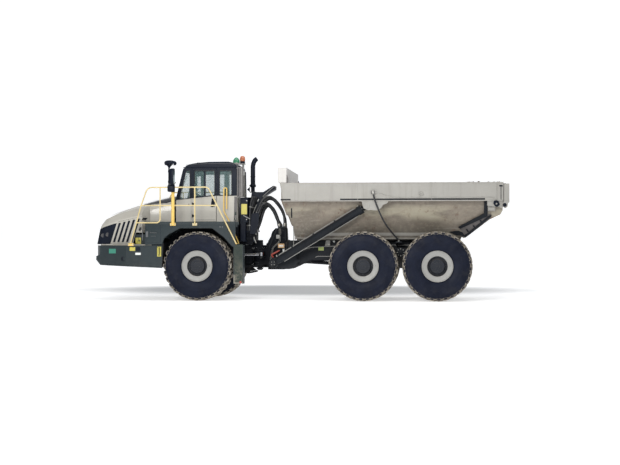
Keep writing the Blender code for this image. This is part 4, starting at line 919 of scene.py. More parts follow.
TYRE, RIM = tyre_shape(), rim_shape()
spin = {"front_left": 4.0, "front_right": 51.0, "mid_left": 97.0, "mid_right": 133.0, "rear_left": 211.0, "rear_right": 290.0}
for where, x in (("front", FRONT_X), ("mid", MID_X), ("rear", REAR_X)):
    for side, sign in SIDES:
        tag = f"{where}_{side}"
        centre = Vector((x, sign * TYRE_MID, AXLE_Z))
        half_turn = math.pi if sign > 0 else 0.0
        for base, shape, mats, slot in (("tyre", TYRE, ("wall", "tread", "groove"), "tyre"), ("rim", RIM, ("rim", "hub", "rim", "zinc"), "beige")):
            piece = Shape().join(shape)
            turned = Matrix.Rotation(math.radians(spin[tag] if base == "tyre" else 0.0), 3, "Y") @ Matrix.Rotation(half_turn, 3, "Z")
            piece.v = [turned @ p for p in piece.v]
            mesh_name = f"{base}_{tag}_detailed"
            mesh = bpy.data.meshes.new(mesh_name)
            mesh.from_pydata(piece.v, [], piece.f)
            for m in mats:
                mesh.materials.append(MAT[m])
            mesh.polygons.foreach_set("material_index", piece.m)
            bm = bmesh.new()
            bm.from_mesh(mesh)
            bmesh.ops.remove_doubles(bm, verts=bm.verts, dist=0.00005)
            bmesh.ops.recalc_face_normals(bm, faces=bm.faces)
            bm.to_mesh(mesh)
            bm.free()
            mesh.shade_smooth()
            mesh.set_sharp_from_angle(angle=math.radians(34))
            obj = bpy.data.objects.new(mesh_name, mesh)
            scene.collection.objects.link(obj)
            obj.location = centre
            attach(obj, f"wheel_{tag}")
            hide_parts(f"{base}_{tag}")


# ---- dump body ------------------------------------------------------------------------------------------------------------------
def tub_pick(c, n):
    if c.x < -0.27 and c.z > 3.15:
        return 2
    if c.z < 1.80 and abs(c.y) < 0.9 and not (n.z > 0.9 and c.z > 1.785):
        return 2 if abs(c.y) > 0.77 and c.x < 4.4 and c.z > 1.66 else 3
    if c.z > 1.785 and n.dot(Vector((2.3, 0.0, 2.7)) - c) > 0 and c.x > -0.45:
        return 1
    if c.z > 3.10 and n.z > 0.9:
        return 2
    return 0


skin("dump_tub", ("tub", "inside", "guard", "frame"), tub_pick, 0.010, 2)


for side, sign in SIDES:
    skin(f"side_rail_{side}", ("rail", "rail"), None, 0.012, 3)


def rail_details():
    """Everything on the left rail, mirrored for the right: stripe, seams, rings, cable and its lever, bracket plates, top caps."""
    y = -RAIL_OUT
    film = Shape()
    film.prism([(1.154, 2.688), (4.976, 2.688), (4.976, 2.733), (1.154, 2.733)], y - 0.0018, y + 0.001, "Y", 0)
    film.prism([(-0.432, 2.688), (-0.165, 2.688), (-0.165, 2.730), (-0.438, 2.730)], y - 0.0018, y + 0.001, "Y", 0)
    film.both().make("rail_stripes", "dump_body", ("stripe",), smooth=30)

    s = Shape()
    # top cap: a flat bar welded on the rail's top, its edge standing proud of the side
    s.prism([(-0.452, 3.126), (5.44, 3.126), (5.44, 3.157), (-0.452, 3.157)], y - 0.006, y + 0.05, "Y", 0)
    s.prism([(-0.375, 2.662), (5.44, 2.662), (5.44, 2.684), (-0.378, 2.684)], y - 0.007, y + 0.05, "Y", 0)
    # the tail's end post, its doubler plate and the seam beside it
    s.prism([(5.30, 2.690), (5.455, 2.690), (5.455, 3.12), (5.30, 3.12)], y - 0.007, y + 0.02, "Y", 0)
    s.prism([(5.215, 2.640), (5.27, 2.640), (5.27, 3.122), (5.215, 3.122)], y - 0.003, y + 0.02, "Y", 0)
    s.weld([(5.292, y - 0.002, 2.69), (5.292, y - 0.002, 3.12)], 0.006)
    s.weld([(-0.36, y - 0.001, 2.688), (5.28, y - 0.001, 2.688)], 0.0035)
    # butt welds where the rail's lengths meet
    for x in (1.62, 3.58):
        s.weld([(x, y - 0.0005, 2.688), (x, y - 0.0005, 3.12)], 0.0042)
    # ring on its pad
    s.prism([(x + 0.0, z) for x, z in [(3.252, 2.868), (3.348, 2.868), (3.348, 2.902), (3.252, 2.902)]], y - 0.009, y + 0.01, "Y", 0)
    ring = [Vector((3.30 + 0.052 * math.sin(a), y - 0.018 - 0.004 * math.cos(a), 2.840 + 0.052 * math.cos(a))) for a in (2 * math.pi * k / 28 for k in range(29))]
    s.tube(ring, 0.0085, 8, 1, caps=False)
    s.cyl((3.262, y - 0.016, 2.888), (3.338, y - 0.016, 2.888), 0.014, 12, 0, 0.002)
    # guide where the tail rope turns: two cheeks and a sheave
    for dy in (-0.030, 0.0):
        s.prism([(1.985, 2.845), (2.095, 2.845), (2.105, 2.885), (2.055, 2.945), (2.000, 2.945), (1.975, 2.900)], y - 0.014 + dy, y - 0.004 + dy, "Y", 0)
    s.cyl((2.040, y - 0.042, 2.895), (2.040, y + 0.002, 2.895), 0.030, 20, 2, 0.004)
    s.bolt((2.040, y - 0.044, 2.895), (0, -1, 0), 0.016, 0.012, 1)
    # the lashing wire: from the guide down to its clip, then along above the stripe to the tail lever
    wire = [(2.06, y - 0.012, 2.905), (2.30, y - 0.013, 2.838), (2.56, y - 0.012, 2.755), (2.72, y - 0.011, 2.748), (3.40, y - 0.011, 2.748), (4.20, y - 0.011, 2.752), (4.95, y - 0.011, 2.756), (5.10, y - 0.014, 2.762), (5.20, y - 0.018, 2.735), (5.27, y - 0.020, 2.665)]
    s.tube(smooth_path(wire, 8), 0.0055, 8, 1)
    for x in (2.62, 3.05, 3.62, 4.20, 4.78):
        s.prism([(x, 2.738), (x + 0.035, 2.738), (x + 0.035, 2.772), (x, 2.772)], y - 0.022, y + 0.004, "Y", 0)
        s.bolt((x + 0.0175, y - 0.022, 2.762), (0, -1, 0), 0.006, 0.005, 1, washer=False)
    # tail lever mechanism on the lug at the pivot
    s.prism([(5.20, 2.655), (5.265, 2.690), (5.33, 2.650), (5.36, 2.560), (5.30, 2.500), (5.235, 2.520), (5.195, 2.585)], y - 0.022, y - 0.008, "Y", 2)
    s.cyl((5.275, y - 0.034, 2.585), (5.275, y + 0.0, 2.585), 0.030, 16, 2, 0.004)
    s.bolt((5.275, y - 0.034, 2.585), (0, -1, 0), 0.016, 0.012, 1)
    s.tube(bent_path([(5.275, y - 0.020, 2.665), (5.275, y - 0.022, 2.60)], 0.01), 0.010, 8, 2)
    s.prism([(5.350, 3.040), (5.435, 3.040), (5.435, 3.075), (5.350, 3.075)], y - 0.020, y - 0.006, "Y", 2)
    s.cyl((5.392, y - 0.022, 2.70), (5.392, y - 0.022, 3.05), 0.0065, 8, 2)
    # the hoist bracket's doubler plate and its pin cap
    plate = [(1.720, 2.662), (2.445, 2.662), (2.400, 2.600)] + arc_points((2.080, 2.640), 0.225, -20, -160, 12) + [(1.765, 2.600)]
    s.prism(plate, -1.652, -1.6455, "Y", 0)
    s.cyl((1.86, -1.648, 2.541), (1.86, -1.659, 2.541), 0.082, 28, 0, 0.004)
    s.ring_of_bolts((1.86, -1.659, 2.541), (0, -1, 0), 0.058, 6, 0.009, 0.008, 1)
    s.both().make("rail_fittings", "dump_body", ("rail", "zinc", "black"), smooth=35, bevel=0.0022, segs=1)


rail_details()


def tub_details():
    """Stiffeners and welds on the tub: chute ribs, tail pillars, floor cross ribs, the front wall's ribs and the guard's props."""
    s = Shape()
    # the tail pillar, from the rail down to the chute, and the slanting stiffener along the chute
    wall = lambda z: 0.88 + 0.56 * (z - 1.745) / 0.915
    on = lambda x, z, out: (x, -wall(z) - out, z)
    # gusset pillar and the box beside it, both running back to the leaning wall
    s.prism([(-1.475, 2.668), (-1.475, 2.62), (-1.262, 2.27), (-1.195, 2.27), (-1.435, 2.668)], 4.965, 5.060, "X", 3)
    s.prism([(-1.455, 2.664), (-1.455, 2.43), (-1.385, 2.40), (-1.275, 2.40), (-1.435, 2.664)], 5.065, 5.255, "X", 2)
    # the chute's stiffening channel: dirty panel between two dark flanges
    s.panel([on(4.31, 1.985, 0.010), on(4.47, 1.765, 0.010), on(4.58, 1.800, 0.010), on(5.135, 2.262, 0.010), on(5.160, 2.330, 0.010), on(4.99, 2.330, 0.010)], 0.008, 4)
    s.panel([on(4.290, 1.990, 0.034), on(4.345, 1.950, 0.034), on(5.045, 2.270, 0.034), on(5.045, 2.350, 0.034), on(4.97, 2.350, 0.034)], 0.030, 3)
    s.panel([on(4.455, 1.765, 0.026), on(4.585, 1.775, 0.026), on(5.150, 2.245, 0.026), on(5.170, 2.300, 0.026), on(5.110, 2.290, 0.026), on(4.56, 1.830, 0.026)], 0.022, 3)
    for x, z in ((4.50, 1.885), (4.68, 1.985), (4.86, 2.120)):
        s.panel([on(x, z + 0.035, 0.024), on(x + 0.05, z - 0.035, 0.024), on(x + 0.08, z - 0.015, 0.024), on(x + 0.03, z + 0.055, 0.024)], 0.018, 3)
    # hinge doublers low at the tail
    s.panel([(4.10, -0.874, 1.78), (4.52, -0.874, 1.72), (4.60, -0.90, 1.83), (4.30, -0.96, 1.90), (4.06, -0.94, 1.86)], 0.012, 3)
    # welds along the fold of the side and the rail
    s.weld([(-0.12, -0.889, 1.748), (4.40, -0.889, 1.748)], 0.010, 0)
    s.weld([(-0.36, -1.447, 2.668), (5.02, -1.447, 2.668)], 0.009, 0)
    # pale doubler along the foot of the side
    s.panel([on(0.42, 1.752, 0.005), on(3.95, 1.752, 0.005), on(3.98, 1.835, 0.005), on(0.42, 1.835, 0.005)], 0.006, 2)
    # the drain slot in the side, near its front edge, with a worn lip: a dark panel laid on the surface, its dark a
    # painted shade of the opening
    s.panel([(-0.205, -wall(2.235) - 0.003, 2.235), (-0.168, -wall(2.235) - 0.003, 2.235), (-0.158, -wall(2.49) - 0.003, 2.49), (-0.190, -wall(2.49) - 0.003, 2.49)], 0.004, 3)
    s.both()
    # front wall ribs
    for y in (-1.05, -0.70, -0.35, 0.0, 0.35, 0.70, 1.05):
        low = 2.02 if abs(y) < 0.8 else 2.30
        x = lambda z: -0.40 + (2.67 - z) * 0.385 if z > 2.02 else -0.15
        s.panel([(x(low) - 0.004, y - 0.03, low), (-0.403, y - 0.03, 2.67), (-0.452, y - 0.03, 3.10), (-0.490, y - 0.03, 3.10), (-0.470, y - 0.03, 2.67), (x(low) - 0.07, y - 0.03, low)], 0.06, 0)
    # belt across the front wall
    s.panel([(-0.402, -1.43, 2.70), (-0.402, 1.43, 2.70), (-0.412, 1.43, 2.80), (-0.412, -1.43, 2.80)], 0.03, 2)
    # floor cross ribs below the tub, between the sills
    for x in (0.25, 0.80, 1.35, 1.90, 2.45, 3.00, 3.55):
        s.box(x - 0.035, x + 0.035, -0.775, -0.495, 1.672, 1.744, 3)
        s.box(x - 0.035, x + 0.035, 0.495, 0.775, 1.672, 1.744, 3)
        s.box(x - 0.035, x + 0.035, -0.365, 0.365, 1.680, 1.744, 3)
    # exhaust-heated floor channel, open in the middle
    s.box(-0.12, 4.00, -0.10, -0.07, 1.700, 1.744, 3)
    s.box(-0.12, 4.00, 0.07, 0.10, 1.700, 1.744, 3)
    s.make("tub_stiffeners", "dump_body", ("tub", "inside", "rail", "frame", "brown_panel"), smooth=35, bevel=0.004, segs=1)

    g = Shape()
    # props of the spill guard's ends, small curved gussets
    for y in (-1.62, 1.58):
        g.prism([(-0.285, 3.162)] + [(-0.285 + 0.055 * math.sin(math.radians(a)), 3.162 + 0.22 * math.cos(math.radians(a))) for a in range(90, -1, -9)], y, y + 0.04, "Y", 1)
    # faded sheet over the guard's ends, front, back and top, with the belt along its foot
    for sy in (-1, 1):
        g.box(-0.5125, -0.2815, *sorted((sy * 1.644, sy * 1.6490)), 3.164, 3.561, 0)
    g.box(-0.5128, -0.509, -1.650, 1.650, 3.196, 3.561, 0)
    g.box(-0.2855, -0.2795, -1.650, 1.650, 3.164, 3.561, 0)
    g.box(-0.5155, -0.2795, -1.6545, 1.6545, 3.558, 3.5635, 0)
    for y0, y1 in ((-1.30, -0.85), (-0.75, -0.05), (0.05, 0.75), (0.85, 1.30)):
        g.panel([(-0.5148, y0, 3.26), (-0.5148, y0, 3.46), (-0.5148, y1, 3.46), (-0.5148, y1, 3.26)], 0.003, 0)
    g.make("guard_props", "dump_body", ("guard", "brown_panel"), smooth=35, bevel=0.004, segs=1)


tub_details()


def wear_plates():
    """Liner strips and what the last load left inside the tub."""
    s = Shape()
    for y in (-0.62, -0.21, 0.21, 0.62):
        s.box(0.10, 4.05, y - 0.185, y + 0.185, 1.7895, 1.7965, 0)
    for x in (0.9, 1.8, 2.7, 3.6):
        s.weld([(x, -0.80, 1.7975), (x, 0.80, 1.7975)], 0.004, 0)
    s.make("floor_liner", "dump_body", ("inside",), smooth=35)
    rnd = random.Random(7)
    d = Shape()

    def clod(c, r, body=d):
        verts, faces = [], []
        n, m = 7, 5
        for i in range(m + 1):
            for k in range(n):
                a, b = math.pi * i / m, 2 * math.pi * k / n
                q = Vector((math.sin(a) * math.cos(b), math.sin(a) * math.sin(b), math.cos(a) * 0.6))
                verts.append(Vector(c) + q * r * (0.75 + 0.5 * rnd.random()))
        for i in range(m):
            for k in range(n):
                faces.append([i * n + k, i * n + (k + 1) % n, (i + 1) * n + (k + 1) % n, (i + 1) * n + k])
        body.add(verts, faces, 0)

    for x0, x1, count, top in ((4.52, 4.74, 9, 0.024), (4.78, 4.84, 3, 0.034), (5.03, 5.09, 3, 0.020), (5.18, 5.38, 10, 0.022), (3.5, 4.2, 7, 0.014)):
        for _ in range(count):
            r = top * (0.5 + 0.5 * rnd.random())
            clod((x0 + (x1 - x0) * rnd.random(), -1.60 + 0.10 * rnd.random(), RAIL_TOP + r * 0.35), r)
            clod((x0 + (x1 - x0) * rnd.random(), 1.60 - 0.10 * rnd.random(), RAIL_TOP + r * 0.35), r * 0.8)
    for _ in range(90):
        x = 0.0 + 4.3 * rnd.random()
        side = rnd.choice((-1, 1))
        clod((x, side * (0.80 - 0.10 * rnd.random()), 1.802), 0.018 + 0.03 * rnd.random())
    for _ in range(50):
        clod((-0.03 + 0.12 * rnd.random(), -0.75 + 1.5 * rnd.random(), 1.805), 0.02 + 0.03 * rnd.random())
    d.make("left_over_earth", "dump_body", ("dirt",), smooth=80)


wear_plates()

# ---- tailgate ------------------------------------------------------------------------------------------------------------------------
def tailgate():
    skin("tailgate", ("rail", "inside"), lambda c, n: 1 if n.x < -0.7 else 0, 0.008, 2)
    s = Shape()
    # hinge arm pins and their caps
    for side, sign in SIDES:
        s.cyl((GATE.x, sign * 1.628, GATE.z), (GATE.x, sign * 1.672, GATE.z), 0.052, 24, 1, 0.004)
        s.ring_of_bolts((GATE.x, sign * 1.672, GATE.z), (0, sign, 0), 0.034, 4, 0.008, 0.006, 1)
        s.brick((5.60, sign * 1.20, 2.69), (0.014, 0.20, 0.055), (0, 0, 0), 1)
        s.brick((5.606, sign * 1.20, 2.69), (0.010, 0.17, 0.040), (0, 0, 0), 2)
    s.make("tailgate_fittings", "tailgate", ("rail", "black", "red_lens"), smooth=35, bevel=0.0015, segs=1)


tailgate()


# ---- hood -------------------------------------------------------------------------------------------------------------------------
# rows of the hood from nose to cab: x at the bottom, forward lean, half width, bottom z, side's top z, shoulder, near crown, centre z
HOOD = [
    (-5.545, .20, 1.07, 1.52, 1.93, (1.01, 2.00), (.50, 2.05), 2.07),
    (-5.535, .20, 1.20, 1.52, 1.97, (1.12, 2.06), (.52, 2.13), 2.15),
    (-5.41, .15, 1.27, 1.52, 2.03, (1.15, 2.20), (.55, 2.29), 2.31),
    (-5.12, .05, 1.30, 1.52, 2.12, (1.15, 2.31), (.57, 2.40), 2.42),
    (-4.62, 0.0, 1.335, 1.52, 2.24, (1.11, 2.455), (.56, 2.56), 2.60),
    (-4.27, 0.0, 1.335, 1.52, 2.31, (1.05, 2.54), (.55, 2.65), 2.70),
    (-4.14, 0.0, .87, 2.14, 2.44, (.83, 2.58), (.54, 2.69), 2.74),
    (-3.80, 0.0, .865, 2.14, 2.55, (.83, 2.64), (.54, 2.76), 2.82),
    (-3.465, 0.0, .86, 2.14, 2.61, (.82, 2.695), (.53, 2.82), 2.88),
]


def hood_at(x, row_values=None):
    """Half width, side top z, shoulder and crown of the hood at an x, read between its rows (the lean left out)."""
    rows = HOOD
    for a, b in zip(rows, rows[1:]):
        xa, xb = a[0], b[0]
        if xa <= x <= xb or b is rows[-1] or x < xa:
            t = max(0.0, min(1.0, (x - xa) / (xb - xa)))
            lerp = lambda p, q: p + (q - p) * t
            return (lerp(a[2], b[2]), lerp(a[4], b[4]), (lerp(a[5][0], b[5][0]), lerp(a[5][1], b[5][1])), (lerp(a[6][0], b[6][0]), lerp(a[6][1], b[6][1])), lerp(a[7], b[7]))


def side_point(x, z, out=0.0):
    """A point on the hood's left side skin at (x, z), pushed out by out."""
    rows = HOOD
    real = lambda r: r[0] + r[1] * (z - 1.52)
    for a, b in zip(rows, rows[1:]):
        if real(a) <= x <= real(b):
            t = (x - real(a)) / (real(b) - real(a))
            break
    else:
        a, b, t = (rows[0], rows[1], 0.0) if x < real(rows[0]) else (rows[-2], rows[-1], 1.0)
    half = a[2] + (b[2] - a[2]) * t
    top = a[4] + (b[4] - a[4]) * t
    sh = (a[5][0] + (b[5][0] - a[5][0]) * t, a[5][1] + (b[5][1] - a[5][1]) * t)
    if z <= top:
        y = half
    else:
        k = min(1.0, (z - top) / max(0.001, sh[1] - top))
        y = half + (sh[0] - half) * k
    n = Vector((0, -1, 0))
    return Vector((x, -y, z)) + n * out


def hood():
    skin("hood_shell", ("stone", "black"), lambda c, n: 1 if (c.z < 1.56 and n.z < -0.5) else 0, 0.012, 3, smooth=40)
    s = Shape()
    # louvre slots: dark recesses leaning back, drawn as black faces on the skin whose black is painted shade of the
    # openings, each with its pale frame strips between
    lean = math.tan(math.radians(17.6))
    for k in range(6):
        x0 = -5.085 + 0.1235 * k
        # the last opening starts above the foothold
        z0, z1 = 1.574 if k < 5 else 1.885, 2.105 + 0.029 * k
        rows_in, rows_out = [], []
        steps = 8
        a, b = [], []
        for i in range(steps + 1):
            z = z0 + (z1 - z0) * i / steps
            x = x0 + lean * (z - 1.574)
            a.append(side_point(x, z, 0.0022))
            b.append(side_point(x + 0.070, z, 0.0022))
        loop = a + b[::-1]
        s.add(loop, [[i, i + 1, 2 * steps - i + 0, 2 * steps + 1 - i] for i in range(steps)], 1)
        # a raised pale bead around each opening
        bead = [q + Vector((0, -0.0015, 0)) for q in loop]
        s.tube(bead + [bead[0]], 0.0052, 6, 0, caps=False)
        # vanes inside the opening
        for i in range(1, 9):
            z = z0 + (z1 - z0) * i / 9.3
            x = x0 + lean * (z - 1.574)
            p, q = side_point(x + 0.004, z, 0.003), side_point(x + 0.066, z, 0.003)
            s.add([p, q, q + Vector((0, -0.004, -0.022)), p + Vector((0, -0.004, -0.022))], [[0, 1, 2, 3]], 1)
    # rub strip along the hood's bottom, and the seam of the side door behind the louvres
    strip = [side_point(x, 1.527, 0.003) for x in (-5.50, -5.40, -5.25, -5.12, -4.9, -4.62, -4.47)]
    s.rows([[p + Vector((0, 0, dz)) for p in strip] for dz in (-0.007, 0.012)], 0)
    s.both()
    s.make("hood_louvres", "hood", ("stone", "black"), smooth=50, weld=False)

    d = Shape()
    # the side door's seam: thin dark line round the louvre panel
    seam = [(-5.145, 1.548), (-4.405, 1.548), (-4.245, 2.085), (-4.215, 2.285), (-4.60, 2.205), (-4.92, 2.135)]
    pts = []
    for (xa, za), (xb, zb) in zip(seam, seam[1:]):
        for i in range(6):
            t = i / 6
            pts.append(side_point(xa + (xb - xa) * t, za + (zb - za) * t, 0.0008))
    pts.append(side_point(*seam[-1], 0.0008))
    d.tube(pts, 0.0028, 6, 0)
    # round latches on the side door and hinges above
    for x, z in ((-4.345, 1.62), (-4.290, 1.93)):
        p = side_point(x, z, 0.0)
        d.cyl(p, p + Vector((0, -0.008, 0)), 0.020, 18, 0, 0.003)
        d.brick(p + Vector((0, -0.009, 0)), (0.026, 0.004, 0.007), (0, 30, 0), 1)
    # the small pale panel behind the slots
    panel = [(-4.335, 1.83), (-4.155, 1.83), (-4.145, 2.20), (-4.30, 2.185)]
    d.panel([side_point(x, z, 0.0045) for x, z in panel][::-1], 0.004, 2)
    d.both()
    # dark centre strip of the hood's top, from its middle back to the cab, with a raised edge each side
    rows = []
    for x in (-4.92, -4.80, -4.62, -4.45, -4.27, -4.14, -3.95, -3.80, -3.60, -3.475):
        half, top, sh, cr, cz = hood_at(x)
        w = 0.34 + 0.15 * min(1.0, (x + 4.92) / 0.6)
        def zc(y):
            return cz + (cr[1] - cz) * (abs(y) / cr[0]) ** 1.0
        rows.append([Vector((x, y, zc(y) + 0.004)) for y in (-w, -w * 0.66, -w * 0.33, 0.0, w * 0.33, w * 0.66, w)])
    d.rows(rows, 0)
    # its intake grating, flush with the strip
    for k in range(22):
        x = -4.44 + 0.042 * k
        half, top, sh, cr, cz = hood_at(x)
        d.brick((x, 0, cz + 0.0035), (0.010, 0.58, 0.005), (0, 0, 0), 0)
    # toward the cab the dark trim widens and runs down over the crown to the shoulder
    for sy in (-1, 1):
        rows = []
        for i in range(9):
            u = i / 8
            x = -4.40 + 0.93 * u
            half, top, sh, cr, cz = hood_at(x)
            line = [(0.30, cz + (cr[1] - cz) * 0.30 / cr[0]), cr, sh, (half, top)]
            drop = cz - (0.060 + 0.175 * u)
            row = [line[0]]
            for (ya, za), (yb, zb) in zip(line, line[1:]):
                if zb >= drop:
                    row.append((yb, zb))
                elif za > drop:
                    k = (za - drop) / (za - zb)
                    row.append((ya + (yb - ya) * k, drop))
                    break
            # equal steps along the line, so that the rows match
            lengths = [0.0]
            for (ya, za), (yb, zb) in zip(row, row[1:]):
                lengths.append(lengths[-1] + math.hypot(yb - ya, zb - za))
            out = []
            for j in range(7):
                want = lengths[-1] * j / 6
                for q in range(len(row) - 1):
                    if want <= lengths[q + 1] + 1e-9:
                        f = (want - lengths[q]) / max(1e-9, lengths[q + 1] - lengths[q])
                        out.append(Vector((x, sy * (row[q][0] + (row[q + 1][0] - row[q][0]) * f + 0.004), row[q][1] + (row[q + 1][1] - row[q][1]) * f + 0.0055)))
                        break
            rows.append(out)
        d.rows(rows if sy > 0 else [r[::-1] for r in rows], 0)
    # pressed lines along the bonnet's top, either side of the strip
    for y in (-0.52, 0.52):
        pts = []
        for x in (-5.30, -5.12, -4.90, -4.62, -4.45, -4.27):
            half, top, sh, cr, cz = hood_at(x)
            pts.append(Vector((x, y, cz + (cr[1] - cz) * min(1.0, abs(y) / cr[0]) + 0.0012)))
        d.tube(pts, 0.0045, 6, 2)
    d.make("hood_trim", "hood", ("black", "zinc", "stone"), smooth=45, weld=False)


hood()


def nose_front(y, z):
    """x of the nose's front face at (y, z): flat between the first row's half widths, then running back to the second's."""
    a, b = HOOD[0], HOOD[1]
    t = min(1.0, max(0.0, (abs(y) - a[2]) / (b[2] - a[2])))
    return a[0] + (b[0] - a[0]) * t + a[1] * (z - 1.52)


def headlights():
    """The dark lamp recess at each corner of the nose, seen from the side and the front, with its lamps behind a rim."""
    s = Shape()
    # side face: from the nose's front edge back to the first louvre, laid on the skin, with a lip round it
    low, cols, steps = 1.532, 10, 8
    front = lambda z: -5.545 + 0.2 * (z - 1.52) + 0.012
    back = lambda z: -5.150 + 0.317 * (z - 1.552)
    top = lambda u: 1.925 + 0.165 * u ** 0.8
    grid = []
    for i in range(cols + 1):
        u = i / cols
        col = []
        for k in range(steps + 1):
            z = low + (top(u) - low) * k / steps
            x = front(z) + (back(z) - front(z)) * u
            col.append(side_point(x, z, 0.0065))
        grid.append(col)
    s.rows(grid, 0)
    loop = grid[0] + [c[-1] for c in grid[1:]] + grid[-1][::-1][1:] + [c[0] for c in grid[::-1][1:-1]]
    s.tube(loop + [loop[0]], 0.0065, 6, 0, caps=False)
    # lamps behind the dark cover: three ringed glasses and a body-coloured bar between
    for u, w, r in ((0.30, 0.30, 0.060), (0.62, 0.34, 0.060)):
        z = low + (top(u) - low) * 0.5
        x = front(z) + (back(z) - front(z)) * u
        c = side_point(x, z, 0.0075)
        s.lathe([(r * 0.98, 0.0), (r, 0.003), (r * 0.92, 0.004), (r * 0.86, 0.001), (0.0, 0.0015)], c, (0, -1, 0), 24, mats=[0, 0, 2, 2])
    # the cover runs on round the corner onto the nose's front face
    rows = []
    for y, sink in ((-1.195, 0.0), (-1.13, 0.0), (-1.05, 0.0), (-0.95, 0.0), (-0.85, 0.0), (-0.78, 0.0)):
        zt = 1.925 - 0.02 * (1.195 + y)
        rows.append([Vector((nose_front(y, 1.552 + (zt - 1.552) * k / 6) - 0.004, y, 1.552 + (zt - 1.552) * k / 6)) for k in range(7)])
    s.rows(rows, 0)
    # two lamps in a bezel on the front of the nose, tilted with it
    tilt = math.degrees(math.atan(0.20))
    for y, w in ((-0.89, 0.26),):
        at = Vector((-5.528 + 0.2 * 0.24, y, 1.76))
        s.brick(at, (0.030, w + 0.05, 0.30), (0, tilt, 6), 0)
        for dz, r in ((0.072, 0.058), (-0.072, 0.058)):
            for dy in (-0.062, 0.062):
                c = at + Vector((-0.012 + 0.2 * dz, dy, dz))
                s.lathe([(r * 0.98, 0.0), (r, 0.012), (r * 0.93, 0.016), (r * 0.86, 0.006), (r * 0.60, -0.001), (0.0, -0.003)], c, (-0.98, 0.0, 0.2), 28, mats=[0, 0, 0, 1, 1])
    s.both()
    s.make("headlights", "hood", ("black", "clear_lens", "core"), smooth=40, weld=False)


headlights()


def grille():
    skin("front_grille", ("grille",), None, 0.004, 1)
    s = Shape()
    at = lambda z: -5.546 + 0.2 * (z - 1.52)
    # frame of the grille and its slats
    for z in [1.57 + 0.052 * k for k in range(9)]:
        s.brick((at(z) - 0.004, 0, z), (0.020, 1.40, 0.012), (0, 24, 0), 0)
    for y in (-0.70, -0.35, 0.0, 0.35, 0.70):
        s.brick((at(1.79) - 0.006, y, 1.79), (0.018, 0.020, 0.48), (0, 11.3, 0), 0)
    s.box(at(1.535) - 0.010, at(1.535) + 0.010, -0.72, 0.72, 1.530, 1.552, 0)
    s.make("grille_slats", "hood", ("black",), smooth=35, bevel=0.003, segs=1)


grille()


